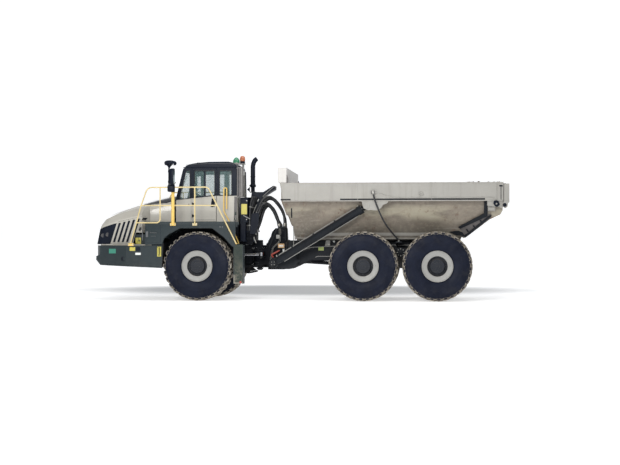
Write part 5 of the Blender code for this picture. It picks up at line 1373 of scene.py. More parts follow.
# ---- bumper and skirts -----------------------------------------------------------------------------------------------------------
def bumper():
    skin("front_bumper", ("charcoal",), None, 0.016, 3)
    s = Shape()
    BUMPER = [(-3.66, 1.60), (-4.65, 1.59), (-5.20, 1.46), (-5.44, 1.29), (-5.53, 1.16), (-5.555, 0.75)]

    def out(x):
        for (xa, ya), (xb, yb) in zip(BUMPER, BUMPER[1:]):
            if xb <= x <= xa:
                t = (x - xa) / (xb - xa)
                return ya + (yb - ya) * t
        return BUMPER[0][1] if x > BUMPER[0][0] else BUMPER[-1][1]

    def turn(x):
        for (xa, ya), (xb, yb) in zip(BUMPER, BUMPER[1:]):
            if xb <= x <= xa:
                return math.degrees(math.atan2(ya - yb, xa - xb))
        return 0.0

    def patch(x, z, w, h, mat, lift=0.0012, thick=0.0024):
        s.brick((x, -out(x) - lift, z), (w, thick, h), (0, 0, -turn(x)), mat)

    # blank colour patches where the real one's labels sit
    patch(-5.045, 1.335, 0.205, 0.125, 1)
    patch(-4.470, 1.392, 0.150, 0.100, 2)
    patch(-4.315, 1.262, 0.150, 0.060, 3)
    patch(-4.312, 1.392, 0.120, 0.100, 4)
    # yellow handle plate at the rear end
    s.prism([(-3.790, 1.19), (-3.680, 1.19), (-3.680, 1.455), (-3.790, 1.455)], -out(-3.74) - 0.004, -out(-3.74) + 0.01, "Y", 2)
    s.prism([(-3.760, 1.215), (-3.712, 1.215), (-3.712, 1.435), (-3.760, 1.435)], -out(-3.74) - 0.0055, -out(-3.74) + 0.0, "Y", 0)
    s.tube(bent_path([(-3.735, -out(-3.74) - 0.002, 1.235), (-3.735, -out(-3.74) - 0.040, 1.25), (-3.735, -out(-3.74) - 0.040, 1.43), (-3.735, -out(-3.74) - 0.002, 1.445)], 0.02), 0.010, 10, 2)
    # pale sealing strip between the bumper and the hood above it
    strip = [(x, -out(x) + 0.035) for x in (-3.95, -4.30, -4.65, -5.0, -5.20, -5.32, -5.42)]
    s.rows([[Vector((x, yy, z)) for x, yy in strip] for z in (1.474, 1.5165)], 7)
    # tow eye hole, panel seams and the fold line along the top
    at = Vector((-4.725, -out(-4.725) - 0.001, 1.125))
    s.lathe([(0.060, 0.0), (0.062, 0.006), (0.050, 0.008), (0.047, -0.004), (0.0, -0.004)], at, (0, -1, 0), 28, mats=[4, 4, 4, 4])
    for x in (-4.32,):
        s.prism([(x, 0.93), (x + 0.006, 0.93), (x + 0.006, 1.47), (x, 1.47)], -out(x) - 0.0006, -out(x) + 0.004, "Y", 4)
    line = [Vector((x, -out(x) - 0.0008, 1.462)) for x in (-3.68, -4.20, -4.65, -5.0, -5.20, -5.32, -5.44, -5.53)]
    s.tube(line, 0.004, 6, 0)
    low = [Vector((x, -out(x) - 0.0005, 0.985 + (x + 5.43) * -0.043)) for x in (-3.72, -4.20, -4.65, -5.0, -5.20, -5.40)]
    s.tube(low, 0.0045, 6, 0)
    for x in (-3.78, -4.25, -4.45, -4.95, -5.15):
        for z in (1.43, 1.01):
            s.bolt((x, -out(x) - 0.0, z), (0, -1, 0), 0.011, 0.008, 0)
    # fog lamp in the front corner, and a folded step on the bumper's face
    s.both()
    for y in (-0.62, 0.62):
        s.brick((-5.557, y, 1.28), (0.012, 0.26, 0.15), (0, 0, 0), 4)
        s.lathe([(0.058, 0.0), (0.060, 0.008), (0.052, 0.010), (0.045, 0.003), (0.0, 0.001)], (-5.562, y, 1.28), (-1, 0, 0), 24, mats=[0, 0, 5, 5])
    for y in (-0.26, 0.26):
        s.prism([(-5.575, 1.00), (-5.545, 1.00), (-5.545, 1.115), (-5.575, 1.115)], y - 0.055, y + 0.055, "Y", 0)
        s.tube(bent_path([(-5.560, y - 0.035, 1.05), (-5.596, y - 0.035, 1.05), (-5.596, y + 0.035, 1.05), (-5.560, y + 0.035, 1.05)], 0.02), 0.012, 10, 4)
    s.box(-5.575, -5.545, -0.36, 0.36, 1.405, 1.465, 6)
    s.make("bumper_fittings", "tractor", ("charcoal", "decal_green", "decal_yellow", "decal_white", "black", "clear_lens", "tread_plate", "dirt_pale"), smooth=35, bevel=0.0015, segs=1)


bumper()


def platforms():
    """Deck, skirt and steps: the CAD solids with rounded edges, tread plate on top, and what is bolted to them."""
    for side, sign in SIDES:
        # faces turned in toward the machine and faces looking down low on the deck get black paint: painted shade under
        # and inside the deck
        skin(f"platform_{side}", ("charcoal", "tread_plate", "black", "green_dark"), lambda c, n: 3 if (c.x > -1.72 and c.z < 1.52 and side == "left") else 1 if (n.z > 0.9 and c.z > 1.9) else (2 if (n.y * c.y < 0 and abs(n.y) > 0.7) or (c.z < 1.97 and n.z < -0.2) else 0), 0.008, 2)
    s = Shape()
    y = -1.615
    # skirt: folded lip over the wheel arch
    arch = [(-3.665, 1.50), (-3.60, 1.68), (-3.46, 1.80), (-3.16, 1.955), (-2.29, 1.955), (-1.98, 1.72), (-1.745, 1.46)]
    s.rows([[Vector((x, y - 0.004 + dy, z + dz)) for x, z in arch] for dy, dz in ((0.0, 0.014), (-0.006, 0.006), (-0.006, -0.004), (0.03, -0.004), (0.13, -0.002))], 0)
    # rubber flap hanging behind and before the wheel
    s.prism([(-3.672, 0.90), (-3.660, 0.90), (-3.625, 1.55), (-3.637, 1.55)], -1.60, -1.00, "Y", 3)
    # small plates and latches on the skirt
    for x, z, w, h in ((-2.075, 1.985, 0.030, 0.030), (-2.010, 1.985, 0.030, 0.030)):
        s.brick((x, y - 0.0022, z), (w, 0.003, h), (0, 0, 0), 4)
    # the box below the deck's front: its door seam, hinge and grey latch handle
    s.prism([(-4.095, 1.56), (-4.089, 1.56), (-4.089, 2.03), (-4.095, 2.03)], y - 0.0012, y + 0.004, "Y", 2)
    s.prism([(-3.70, 1.56), (-3.694, 1.56), (-3.694, 2.03), (-3.70, 2.03)], y - 0.0012, y + 0.004, "Y", 2)
    s.prism([(-4.09, 1.556), (-3.70, 1.556), (-3.70, 1.562), (-4.09, 1.562)], y - 0.0012, y + 0.004, "Y", 2)
    s.tube(bent_path([(-4.185, y - 0.002, 1.63), (-4.185, y - 0.028, 1.645), (-4.185, y - 0.028, 1.93), (-4.185, y - 0.002, 1.945)], 0.02), 0.011, 10, 4)
    s.brick((-4.065, y - 0.003, 1.79), (0.060, 0.006, 0.150), (0, 0, 0), 4)
    s.tube(bent_path([(-3.98, y - 0.001, 1.84), (-3.98, y - 0.016, 1.83), (-3.80, y - 0.016, 1.83), (-3.80, y - 0.001, 1.82)], 0.012), 0.006, 8, 4)
    s.tube([(-3.96, y - 0.001, 1.74), (-3.82, y - 0.001, 1.74)], 0.0045, 6, 4)
    for x in (-4.06, -3.66, -3.40, -2.62, -2.28):
        s.bolt((x, y, 2.02), (0, -1, 0), 0.010, 0.008, 0)
    s.both()
    # step treads on the left: punched grip plates, the pale worn lip of the lowest, and a small red-brown reflector
    for z in (0.48, 0.80, 1.12, 1.40):
        for k in range(7):
            s.brick((-1.665 + 0.028 * k, -1.45, z + 0.0145), (0.008, 0.24, 0.006), (0, 0, 0), 7)
    s.prism([(-1.706, 0.470), (-1.455, 0.470), (-1.455, 0.492), (-1.690, 0.492), (-1.690, 0.700), (-1.706, 0.700)], -1.6055, -1.590, "Y", 8)
    s.brick((-1.520, -1.6045, 0.500), (0.045, 0.006, 0.060), (0, 0, 0), 6)
    # dark risers behind the treads: painted shade in the steps' openings
    for z in (0.62, 0.94, 1.26):
        s.box(-1.690, -1.466, -1.596, -1.588, z, z + 0.14, 7)
    s.prism([(-1.706, 1.10), (-1.690, 1.10), (-1.690, 1.50), (-1.706, 1.50)], -1.6045, -1.590, "Y", 7)
    # closed dark panel between the treads' outer edges, a sheet of painted shade over the steps' openings, and the bead
    # down its middle
    s.prism([(-1.692, 0.50), (-1.466, 0.50), (-1.466, 1.515), (-1.692, 1.515)], -1.6015, -1.592, "Y", 7)
    for z in (0.77, 1.09, 1.39):
        s.prism([(-1.688, z), (-1.470, z), (-1.470, z + 0.020), (-1.688, z + 0.020)], -1.6045, -1.600, "Y", 7)
    # yellow patch and dark pocket on the foothold's block, both sides of the nose
    for sy in (-1, 1):
        s.prism([(-4.452, 1.53), (-4.30, 1.53), (-4.30, 1.70), (-4.452, 1.70)], *sorted((sy * 1.300, sy * 1.3045)), "Y", 9)
    s.make("platform_fittings", "tractor", ("charcoal", "tread_plate", "black", "hose", "trim", "rim", "decal_red", "green_dark", "dirt_pale", "decal_yellow"), smooth=35, bevel=0.001, segs=1)
    # raised diamonds of the deck's tread plate
    d = Shape()
    for i in range(34):
        for k in range(7):
            x, yy = -4.05 + 0.066 * i, 1.02 + 0.088 * k
            for sy in (-1, 1):
                if sy < 0 and x > -2.05 and 0.93 < yy < 1.58:
                    continue
                a = 45 if (i + k) % 2 else -45
                t = math.radians(a)
                u, w = Vector((math.cos(t), math.sin(t), 0)), Vector((-math.sin(t), math.cos(t), 0))
                c = Vector((x, sy * yy, DECK_TOP))
                d.add([c - u * 0.020, c - w * 0.006, c + u * 0.020, c + w * 0.006, c + Vector((0, 0, 0.0035))], [[0, 1, 4], [1, 2, 4], [2, 3, 4], [3, 0, 4]], 0)
    d.make("deck_tread", "tractor", ("tread_plate",), smooth=20, weld=False)


platforms()


# ---- cab ----------------------------------------------------------------------------------------------------------------------------
SIDE_LIGHTS = {
    "front": [(-3.325, 2.76), (-3.03, 2.80), (-3.03, 3.54), (-3.14, 3.54)],
    "middle": [(-2.90, 2.83), (-2.34, 2.87), (-2.34, 3.54), (-2.90, 3.54)],
    "back": [(-2.21, 2.87), (-1.87, 2.87), (-1.87, 3.54), (-2.21, 3.54)],
}


def belt(x):
    """Height of the line where the beige lower cab meets the black window frames."""
    return 2.735 + (x + 3.42) * 0.115 / 1.08 if x < -2.34 else 2.850


def cab_pick(c, n):
    inside = -3.38 < c.x < -1.76 and abs(c.y) < 0.84 and 2.02 < c.z < 3.60 and n.dot(Vector((-2.55, 0.0, 2.8)) - c) > 0
    if inside:
        return 2
    # faces looking back: grey-brown low down, partly dirt and partly painted shade, black above
    if c.x > -1.80 and n.x > 0.4:
        return 3 if c.z < 2.6 else 1
    return 1 if c.z > 2.72 else 0


def cab():
    skin("cab_shell", ("stone", "black", "trim", "brown_panel"), cab_pick, 0.010, 2)
    skin("cab_door", ("stone", "black", "trim"), lambda c, n: 2 if n.y > 0.5 else (1 if c.z > 2.74 or abs(n.x) > 0.5 or abs(n.z) > 0.5 else 0), 0.006, 2)
    skin("cab_roof", ("black", "trim"), lambda c, n: 1 if n.z < -0.9 else 0, 0.028, 3)

    s = Shape()
    f = -0.8712  # just proud of the cab's outer wall
    # black window surround on the fixed side wall: the band from the belt to the roof, around the openings
    out = [(-3.418, belt(-3.418)), (-2.985, belt(-2.985)), (-2.985, 3.6185), (-3.195, 3.6185)]

    def band(outline, hole, y, thick, mat, flip=False):
        """A flat frame between an outline and a hole with the same number of corners."""
        n = len(outline)
        a = [Vector((x, y, z)) for x, z in outline]
        b = [Vector((x, y, z)) for x, z in hole]
        rows = [a, [p + Vector((0, -thick, 0)) for p in a], [p + Vector((0, -thick, 0)) for p in b], b]
        s.rows(rows, mat, loop=True)

    band(out, SIDE_LIGHTS["front"], f + 0.001, 0.005, 0)
    # the surround behind the door
    band([(-2.285, 2.850), (-1.722, 2.850), (-1.738, 3.6185), (-2.285, 3.6185)], SIDE_LIGHTS["back"], f + 0.001, 0.005, 0)
    # rubber seals round each fixed side light
    for key in ("front", "back"):
        loop = [Vector((x, f + 0.003 - 0.006, z)) for x, z in SIDE_LIGHTS[key]]
        s.tube(bent_path(loop + [loop[0], loop[1]], 0.035, 4)[1:-1], 0.011, 8, 1, caps=False)
    s.both()
    # middle light on the right side, whose wall has no door
    loop = [Vector((x, 0.874, z)) for x, z in SIDE_LIGHTS["middle"]]
    s.tube(bent_path(loop + [loop[0], loop[1]], 0.035, 4)[1:-1], 0.011, 8, 1, caps=False)
    rows = [[Vector((x, 0.8702, z)) for x, z in ((-2.985, belt(-2.985)), (-2.285, 2.850), (-2.285, 3.6185), (-2.985, 3.6185))]]
    rows.append([p + Vector((0, 0.005, 0)) for p in rows[0]])
    rows.append([Vector((x, 0.8752, z)) for x, z in SIDE_LIGHTS["middle"]])
    rows.append([Vector((x, 0.8702, z)) for x, z in SIDE_LIGHTS["middle"]])
    s.rows(rows, 0, loop=True)
    # front pillars: black sheaths along the windscreen's slanting edges, with the rubber between
    for sy in (-1, 1):
        s.tube([(-3.424, sy * 0.815, 2.70), (-3.203, sy * 0.815, 3.60)], 0.030, 10, 0)
        s.tube([(-3.431, sy * 0.772, 2.76), (-3.243, sy * 0.772, 3.53)], 0.010, 8, 1)
    s.tube([(-3.431, -0.772, 2.757), (-3.431, 0.772, 2.757)], 0.011, 8, 1)
    s.tube([(-3.243, -0.772, 3.533), (-3.243, 0.772, 3.533)], 0.011, 8, 1)
    # rear corner pillars, and the ribbed panel that fills the cab's rear corner
    for sy in (-1, 1):
        s.tube([(-1.735, sy * 0.835, 2.86), (-1.752, sy * 0.835, 3.60)], 0.040, 12, 0)
        # black trim over what shows of the wall between the frames, the door and the roof
        for x0, x1, z0, z1 in ((-2.992, -2.280, 3.580, 3.6195), (-2.9865, -2.9665, 2.79, 3.6195), (-2.2910, -2.2825, 2.850, 3.6195)):
            s.box(x0, x1, *sorted((sy * 0.868, sy * 0.8735)), z0, z1, 0)
    # seams and small parts of the lower cab, left and right
    for sy in (-1, 1):
        y = sy * 0.8708
        s.brick((-2.10, y, 2.075), (0.36, 0.004, 0.010), (0, 0, 0), 0)
        s.brick((-3.00, sy * 0.8705, 2.44), (0.004, 0.003, 0.70), (0, 0, 0), 0)
        s.brick((-2.055, y, 2.47), (0.0035, 0.002, 0.72), (0, 0, 0), 0)
        # grey-brown strip down the cab's rear corner: partly dirt, partly painted shade where the rounded corner turns
        # away
        s.prism([(-1.815, 2.06), (-1.728, 2.08), (-1.722, 2.83), (-1.800, 2.83)], *sorted((sy * 0.868, sy * 0.8745)), "Y", 5)
        s.brick((-1.765, sy * 0.877, 2.36), (0.050, 0.010, 0.085), (0, 0, 0), 6)
        s.brick((-1.772, sy * 0.877, 2.20), (0.060, 0.008, 0.070), (0, 0, 0), 6)
        s.tube(bent_path([(-1.748, sy * 0.880, 2.32), (-1.752, sy * 0.882, 2.24), (-1.790, sy * 0.880, 2.16)], 0.02), 0.009, 8, 3)
    # the box at the cab's rear lower corner and its hinge
    s.brick((-3.06, -0.8725, 2.62), (0.018, 0.006, 0.030), (0, 0, 0), 0)
    s.make("cab_window_frames", "tractor", ("black", "gasket", "trim", "zinc", "stone", "brown_panel", "green_dark"), smooth=40, bevel=0.0012, segs=1)

    # door: black upper frame, divider of the sliding pane, seals, handle, hinges, lower seam
    d = Shape()
    y = -0.8858
    d.rows([[Vector((x, y + dy, z)) for x, z in pts] for pts, dy in (
        ([(-2.968, belt(-2.968)), (-2.292, 2.850), (-2.292, 3.578), (-2.968, 3.578)], 0.0),
        ([(-2.968, belt(-2.968)), (-2.292, 2.850), (-2.292, 3.578), (-2.968, 3.578)], -0.005),
        (SIDE_LIGHTS["middle"], -0.005), (SIDE_LIGHTS["middle"], 0.0))], 0, loop=True)
    loop = [Vector((x, y - 0.004, z)) for x, z in SIDE_LIGHTS["middle"]]
    d.tube(bent_path(loop + [loop[0], loop[1]], 0.035, 4)[1:-1], 0.011, 8, 1, caps=False)
    d.box(-2.640, -2.600, y - 0.004, y + 0.02, 2.84, 3.54, 0)
    d.box(-2.600, -2.592, y - 0.006, y + 0.01, 2.84, 3.54, 1)
    # handle: recessed cup and lever
    d.brick((-2.385, y - 0.002, 2.655), (0.105, 0.004, 0.230), (0, 8, 0), 0)
    d.tube(bent_path([(-2.375, y - 0.004, 2.585), (-2.380, y - 0.034, 2.60), (-2.395, y - 0.034, 2.705), (-2.398, y - 0.004, 2.72)], 0.02), 0.011, 10, 0)
    d.cyl((-2.372, y, 2.545), (-2.372, y - 0.008, 2.545), 0.012, 14, 3, 0.002)
    # hinges
    for z in (2.30, 2.62, 3.40):
        d.cyl((-2.965, -0.885, z - 0.055), (-2.965, -0.885, z + 0.055), 0.0105, 16, 0, 0.002)
        d.brick((-2.93, y - 0.001, z), (0.06, 0.005, 0.07), (0, 0, 0), 0)
    # pressed seam along the door's foot and behind the handle
    d.brick((-2.63, y - 0.0005, 2.190), (0.62, 0.003, 0.007), (0, 0, 0), 0)
    d.brick((-2.297, y + 0.002, 2.50), (0.006, 0.006, 0.70), (0, 0, 0), 0)
    d.make("door_fittings", "cab_door", ("black", "gasket", "trim", "zinc", "stone"), smooth=40, bevel=0.0012, segs=1)

    # roof: a cap with rounded sides, an air vent, work lamps front and rear, drip rail
    r = Shape()
    for sy in (-1, 1):
        r.tube([(-3.215, sy * 0.878, 3.632), (-1.74, sy * 0.878, 3.632)], 0.012, 8, 0)
    for k, yy in enumerate((-0.30, 0.30)):
        r.brick((-3.195, yy, 3.672), (0.060, 0.17, 0.080), (0, 12, 0), 0)
        r.lathe([(0.036, 0.0), (0.038, 0.008), (0.030, 0.010), (0.0, 0.004)], (-3.226, yy, 3.666), (-0.98, 0, -0.2), 20, mats=[0, 1, 1])
        r.brick((-1.745, yy, 3.672), (0.060, 0.17, 0.080), (0, -12, 0), 0)
        r.lathe([(0.036, 0.0), (0.038, 0.008), (0.030, 0.010), (0.0, 0.004)], (-1.714, yy, 3.666), (0.98, 0, -0.2), 20, mats=[0, 1, 1])
    # low swages and the hatch's seam on the roof, and a grey line where its edge turns down, a painted highlight
    for yy in (-0.45, -0.15, 0.15, 0.45):
        r.prism([(-2.90, yy - 0.05), (-2.05, yy - 0.05), (-2.05, yy + 0.05), (-2.90, yy + 0.05)], 3.780, 3.793, "Z", 0)
    for sy in (-1, 1):
        r.tube(smooth_path([(-3.16, sy * 0.8855, 3.700), (-2.90, sy * 0.8865, 3.722), (-2.40, sy * 0.8870, 3.734), (-1.95, sy * 0.8865, 3.730), (-1.80, sy * 0.8855, 3.715)], 6), 0.0055, 6, 2)
    r.make("roof_fittings", "tractor", ("black", "clear_lens", "trim"), smooth=40, bevel=0.004, segs=2)


cab()


def cab_inside():
    """What shows through the glass: seat, wheel, console, dash with its dials, pedals, mat, headliner, instructor's seat."""
    node = frame["nodes"]["operator_seat"]
    lo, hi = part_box("operator_seat")
    cx = (lo.x + hi.x) / 2

    def pad(name, rows, crown, body="tractor"):
        """A stuffed pad lofted through rounded rows, then swollen a little between its seams."""
        s = Shape()
        s.rows(rows, 0, loop=True, caps=True)
        o = s.make(name, body, ("seat",), smooth=80)
        m = o.modifiers.new("soft", "SUBSURF")
        m.levels = m.render_levels = 2
        return o

    def oval(centre, u, v, hu, hv, n=16, power=3.2):
        c, u, v = Vector(centre), Vector(u), Vector(v)
        out = []
        for k in range(n):
            a = 2 * math.pi * k / n
            ca, sa = math.cos(a), math.sin(a)
            p = (abs(ca) ** power + abs(sa) ** power) ** (-1 / power)
            out.append(c + u * (hu * ca * p) + v * (hv * sa * p))
        return out

    # cushion: rows from front to back, pulled in at its sewn channels
    rows = []
    for x, hz, hy, cz in ((-2.690, 0.020, 0.20, 2.500), (-2.685, 0.045, 0.225, 2.500), (-2.63, 0.060, 0.240, 2.507), (-2.55, 0.055, 0.238, 2.503), (-2.53, 0.049, 0.233, 2.500), (-2.51, 0.055, 0.238, 2.500), (-2.40, 0.058, 0.238, 2.495), (-2.33, 0.055, 0.232, 2.493), (-2.27, 0.042, 0.215, 2.492), (-2.255, 0.020, 0.19, 2.492)):
        rows.append(oval((x, 0, cz), (0, 1, 0), (0, 0, 1), hy, hz))
    cushion = pad("seat_cushion", rows, 0.01)
    rows = []
    lean = 0.17
    for z, hx, hy in ((2.545, 0.020, 0.20), (2.560, 0.045, 0.222), (2.64, 0.060, 0.238), (2.71, 0.057, 0.240), (2.725, 0.051, 0.236), (2.74, 0.057, 0.240), (2.84, 0.058, 0.240), (2.94, 0.055, 0.225), (2.985, 0.045, 0.20), (3.000, 0.020, 0.16)):
        rows.append(oval((-2.225 + (z - 2.545) * lean, 0, z), (0, 1, 0), (1, 0, 0), hy, hx))
    back = pad("seat_back", rows, 0.01)
    rows = []
    for z, hx, hy in ((3.020, 0.015, 0.09), (3.030, 0.032, 0.115), (3.085, 0.038, 0.125), (3.135, 0.032, 0.115), (3.148, 0.014, 0.09)):
        rows.append(oval((-2.225 + (z - 2.545) * lean, 0, z), (0, 1, 0), (1, 0, 0), hy, hx))
    head = pad("seat_headrest", rows, 0.01)
    s = Shape()
    # seat base: suspension bellows, side shells, arm rests, belt reel
    for k in range(6):
        z = 2.10 + 0.050 * k
        s.prism([(-2.66 + (0.02 if k % 2 else 0), -0.20 + (0.02 if k % 2 else 0)), (-2.30 - (0.02 if k % 2 else 0), -0.20 + (0.02 if k % 2 else 0)), (-2.30 - (0.02 if k % 2 else 0), 0.20 - (0.02 if k % 2 else 0)), (-2.66 + (0.02 if k % 2 else 0), 0.20 - (0.02 if k % 2 else 0))], z, z + 0.05, "Z", 0)
    s.box(-2.68, -2.26, -0.215, 0.215, 2.395, 2.44, 0)
    for sy in (-1, 1):
        s.prism([(-2.60, 2.42), (-2.24, 2.42), (-2.15, 2.60), (-2.20, 2.62), (-2.28, 2.50), (-2.58, 2.47)], sy * 0.250 - 0.014, sy * 0.250 + 0.014, "Y", 0)
        s.tube(bent_path([(-2.17, sy * 0.275, 2.70), (-2.22, sy * 0.290, 2.725), (-2.50, sy * 0.290, 2.705)], 0.03), 0.024, 10, 0)
    s.cyl((-2.205, -0.285, 2.47), (-2.205, -0.255, 2.47), 0.035, 16, 0, 0.005)
    for dy in (-0.045, 0.045):
        s.tube([(-2.148, dy, 2.99), (-2.140, dy, 3.05)], 0.006, 8, 1)
    s.make("seat_frame", "tractor", ("plastic", "chrome"), stands_for=("operator_seat",), smooth=40, bevel=0.006, segs=2)

    d = Shape()
    # steering wheel: rim, three spokes, hub, column with its gaiter
    c, n = Vector((-2.93, 0.0, 2.90)), Vector((0.50, 0.0, 0.866)).normalized()
    u = Vector((0, 1, 0))
    w = n.cross(u)
    rim = [c + (u * math.cos(a) + w * math.sin(a)) * 0.222 for a in (2 * math.pi * k / 40 for k in range(41))]
    d.tube(rim, 0.0135, 10, 0, caps=False)
    for a in (90, 210, 330):
        t = math.radians(a)
        e = c + (u * math.cos(t) + w * math.sin(t)) * 0.215
        d.tube([c - n * 0.022, c + (e - c) * 0.5 - n * 0.014, e], 0.011, 8, 0)
    d.lathe([(0.0, 0.012), (0.035, 0.010), (0.052, 0.0), (0.055, -0.025), (0.040, -0.045), (0.030, -0.055)], c, n, 24, 0)
    d.tube([c - n * 0.05, c - n * 0.20, (-3.11, 0, 2.60), (-3.14, 0, 2.40)], [0.030, 0.040, 0.052, 0.060], 14, 0)
    for dy, tip in ((-0.17, 0), (0.17, 0)):
        d.tube([c - n * 0.07, c - n * 0.06 + Vector((0, dy, 0))], 0.006, 8, 0)
        d.cyl(c - n * 0.06 + Vector((0, dy, 0)), c - n * 0.06 + Vector((0, dy * 1.3, 0)), 0.010, 10, 0, 0.003)
    # dash: hooded instrument pod with dials, and switch rows
    d.make("steering_wheel", "tractor", ("plastic",), smooth=50)
    skin("dashboard", ("plastic",), None, 0.018, 3)
    p = Shape()
    p.prism([(-3.30, 2.725), (-3.06, 2.725), (-3.02, 2.76), (-3.055, 2.86), (-3.10, 2.875), (-3.235, 2.81), (-3.30, 2.76)], -0.26, 0.26, "Y", 0)
    face = Vector((0.93, 0, 0.36)).normalized()
    for y, r in ((-0.15, 0.052), (0.0, 0.060), (0.15, 0.052)):
        at = Vector((-3.036, y, 2.808))
        p.lathe([(r, 0.002), (r * 1.06, 0.010), (r * 0.96, 0.012), (r * 0.90, 0.004), (0.0, 0.003)], at, face, 24, mats=[1, 1, 2, 2])
        p.brick(at + face * 0.006, (0.003, r * 0.10, r * 1.1), (28, math.degrees(math.atan2(0.36, 0.93)) * -1, 0), 3)
    for y in (-0.50, -0.44, -0.38, 0.38, 0.44, 0.50):
        p.brick((-3.10, y, 2.738), (0.030, 0.040, 0.020), (0, 0, 0), 4)
    # right console with levers, the floor mat and pedals
    p.prism([(-3.02, 2.06), (-2.20, 2.06), (-2.20, 2.50), (-2.42, 2.60), (-2.80, 2.58), (-3.02, 2.45)], 0.36, 0.60, "Y", 0)
    p.tube([(-2.62, 0.48, 2.58), (-2.62, 0.48, 2.70)], 0.010, 8, 0)
    p.lathe([(0.0, 0.04), (0.018, 0.034), (0.026, 0.015), (0.022, -0.010), (0.012, -0.022)], (-2.62, 0.48, 2.71), "Z", 16, 0)
    p.tube([(-2.80, 0.48, 2.57), (-2.82, 0.48, 2.67)], 0.008, 8, 0)
    p.lathe([(0.0, 0.03), (0.014, 0.024), (0.018, 0.0), (0.010, -0.016)], (-2.82, 0.48, 2.68), "Z", 14, 4)
    p.box(-3.28, -1.82, -0.76, 0.76, 2.088, 2.100, 5)
    for y in (-0.16, 0.16):
        p.brick((-3.16, y, 2.20), (0.020, 0.085, 0.17), (0, -38, 0), 5)
        p.tube([(-3.17, y, 2.19), (-3.24, y, 2.11)], 0.010, 8, 0)
    # instructor's seat behind left, rear shelf, sun blind roll at the windscreen's top, inner mirror
    p.prism([(-2.13, 2.10), (-1.83, 2.10), (-1.83, 2.42), (-2.13, 2.42)], -0.74, -0.36, "Y", 0)
    p.prism([(-2.10, 2.42), (-1.84, 2.42), (-1.82, 2.47), (-2.12, 2.47)], -0.73, -0.37, "Y", 0)
    p.cyl((-3.17, -0.55, 3.53), (-3.17, 0.55, 3.53), 0.024, 14, 4, 0.003)
    p.box(-3.14, -1.80, -0.78, 0.78, 3.575, 3.605, 4)
    p.prism([(-3.10, 3.44), (-2.85, 3.50), (-2.85, 3.60), (-3.12, 3.60)], -0.50, 0.50, "Y", 0)
    p.make("cab_console", "tractor", ("plastic", "chrome", "black", "decal_orange", "trim", "hose"), smooth=40, bevel=0.004, segs=2)


cab_inside()


def glazing():
    """Panes: the CAD's own, with tinted glass, and thin rubber along them."""
    for n in ("windscreen", "window_left_front", "window_left_rear", "window_right", "window_rear", "door_glass"):
        finish_node(n, "glass", 0)
    s = Shape()
    # wiper on the windscreen, parked
    tilt = Vector((0.188, 0, 0.77)).normalized()
    at = lambda y, z: Vector((-3.452 + (z - 2.757) * 0.2442, y, z))
    s.cyl(at(0.10, 2.745), at(0.10, 2.745) + Vector((-0.03, 0, 0)), 0.022, 14, 0, 0.004)
    s.tube([at(0.10, 2.745) + Vector((-0.024, 0, 0)), at(-0.06, 3.02) + Vector((-0.012, 0, 0)), at(-0.17, 3.19) + Vector((-0.004, 0, 0))], 0.007, 8, 0)
    s.tube([at(-0.30, 2.93) + Vector((0.0, 0, 0)), at(-0.03, 3.44) + Vector((0.0, 0, 0))], 0.007, 6, 0)
    s.make("wiper", "tractor", ("black",), smooth=50)


glazing()


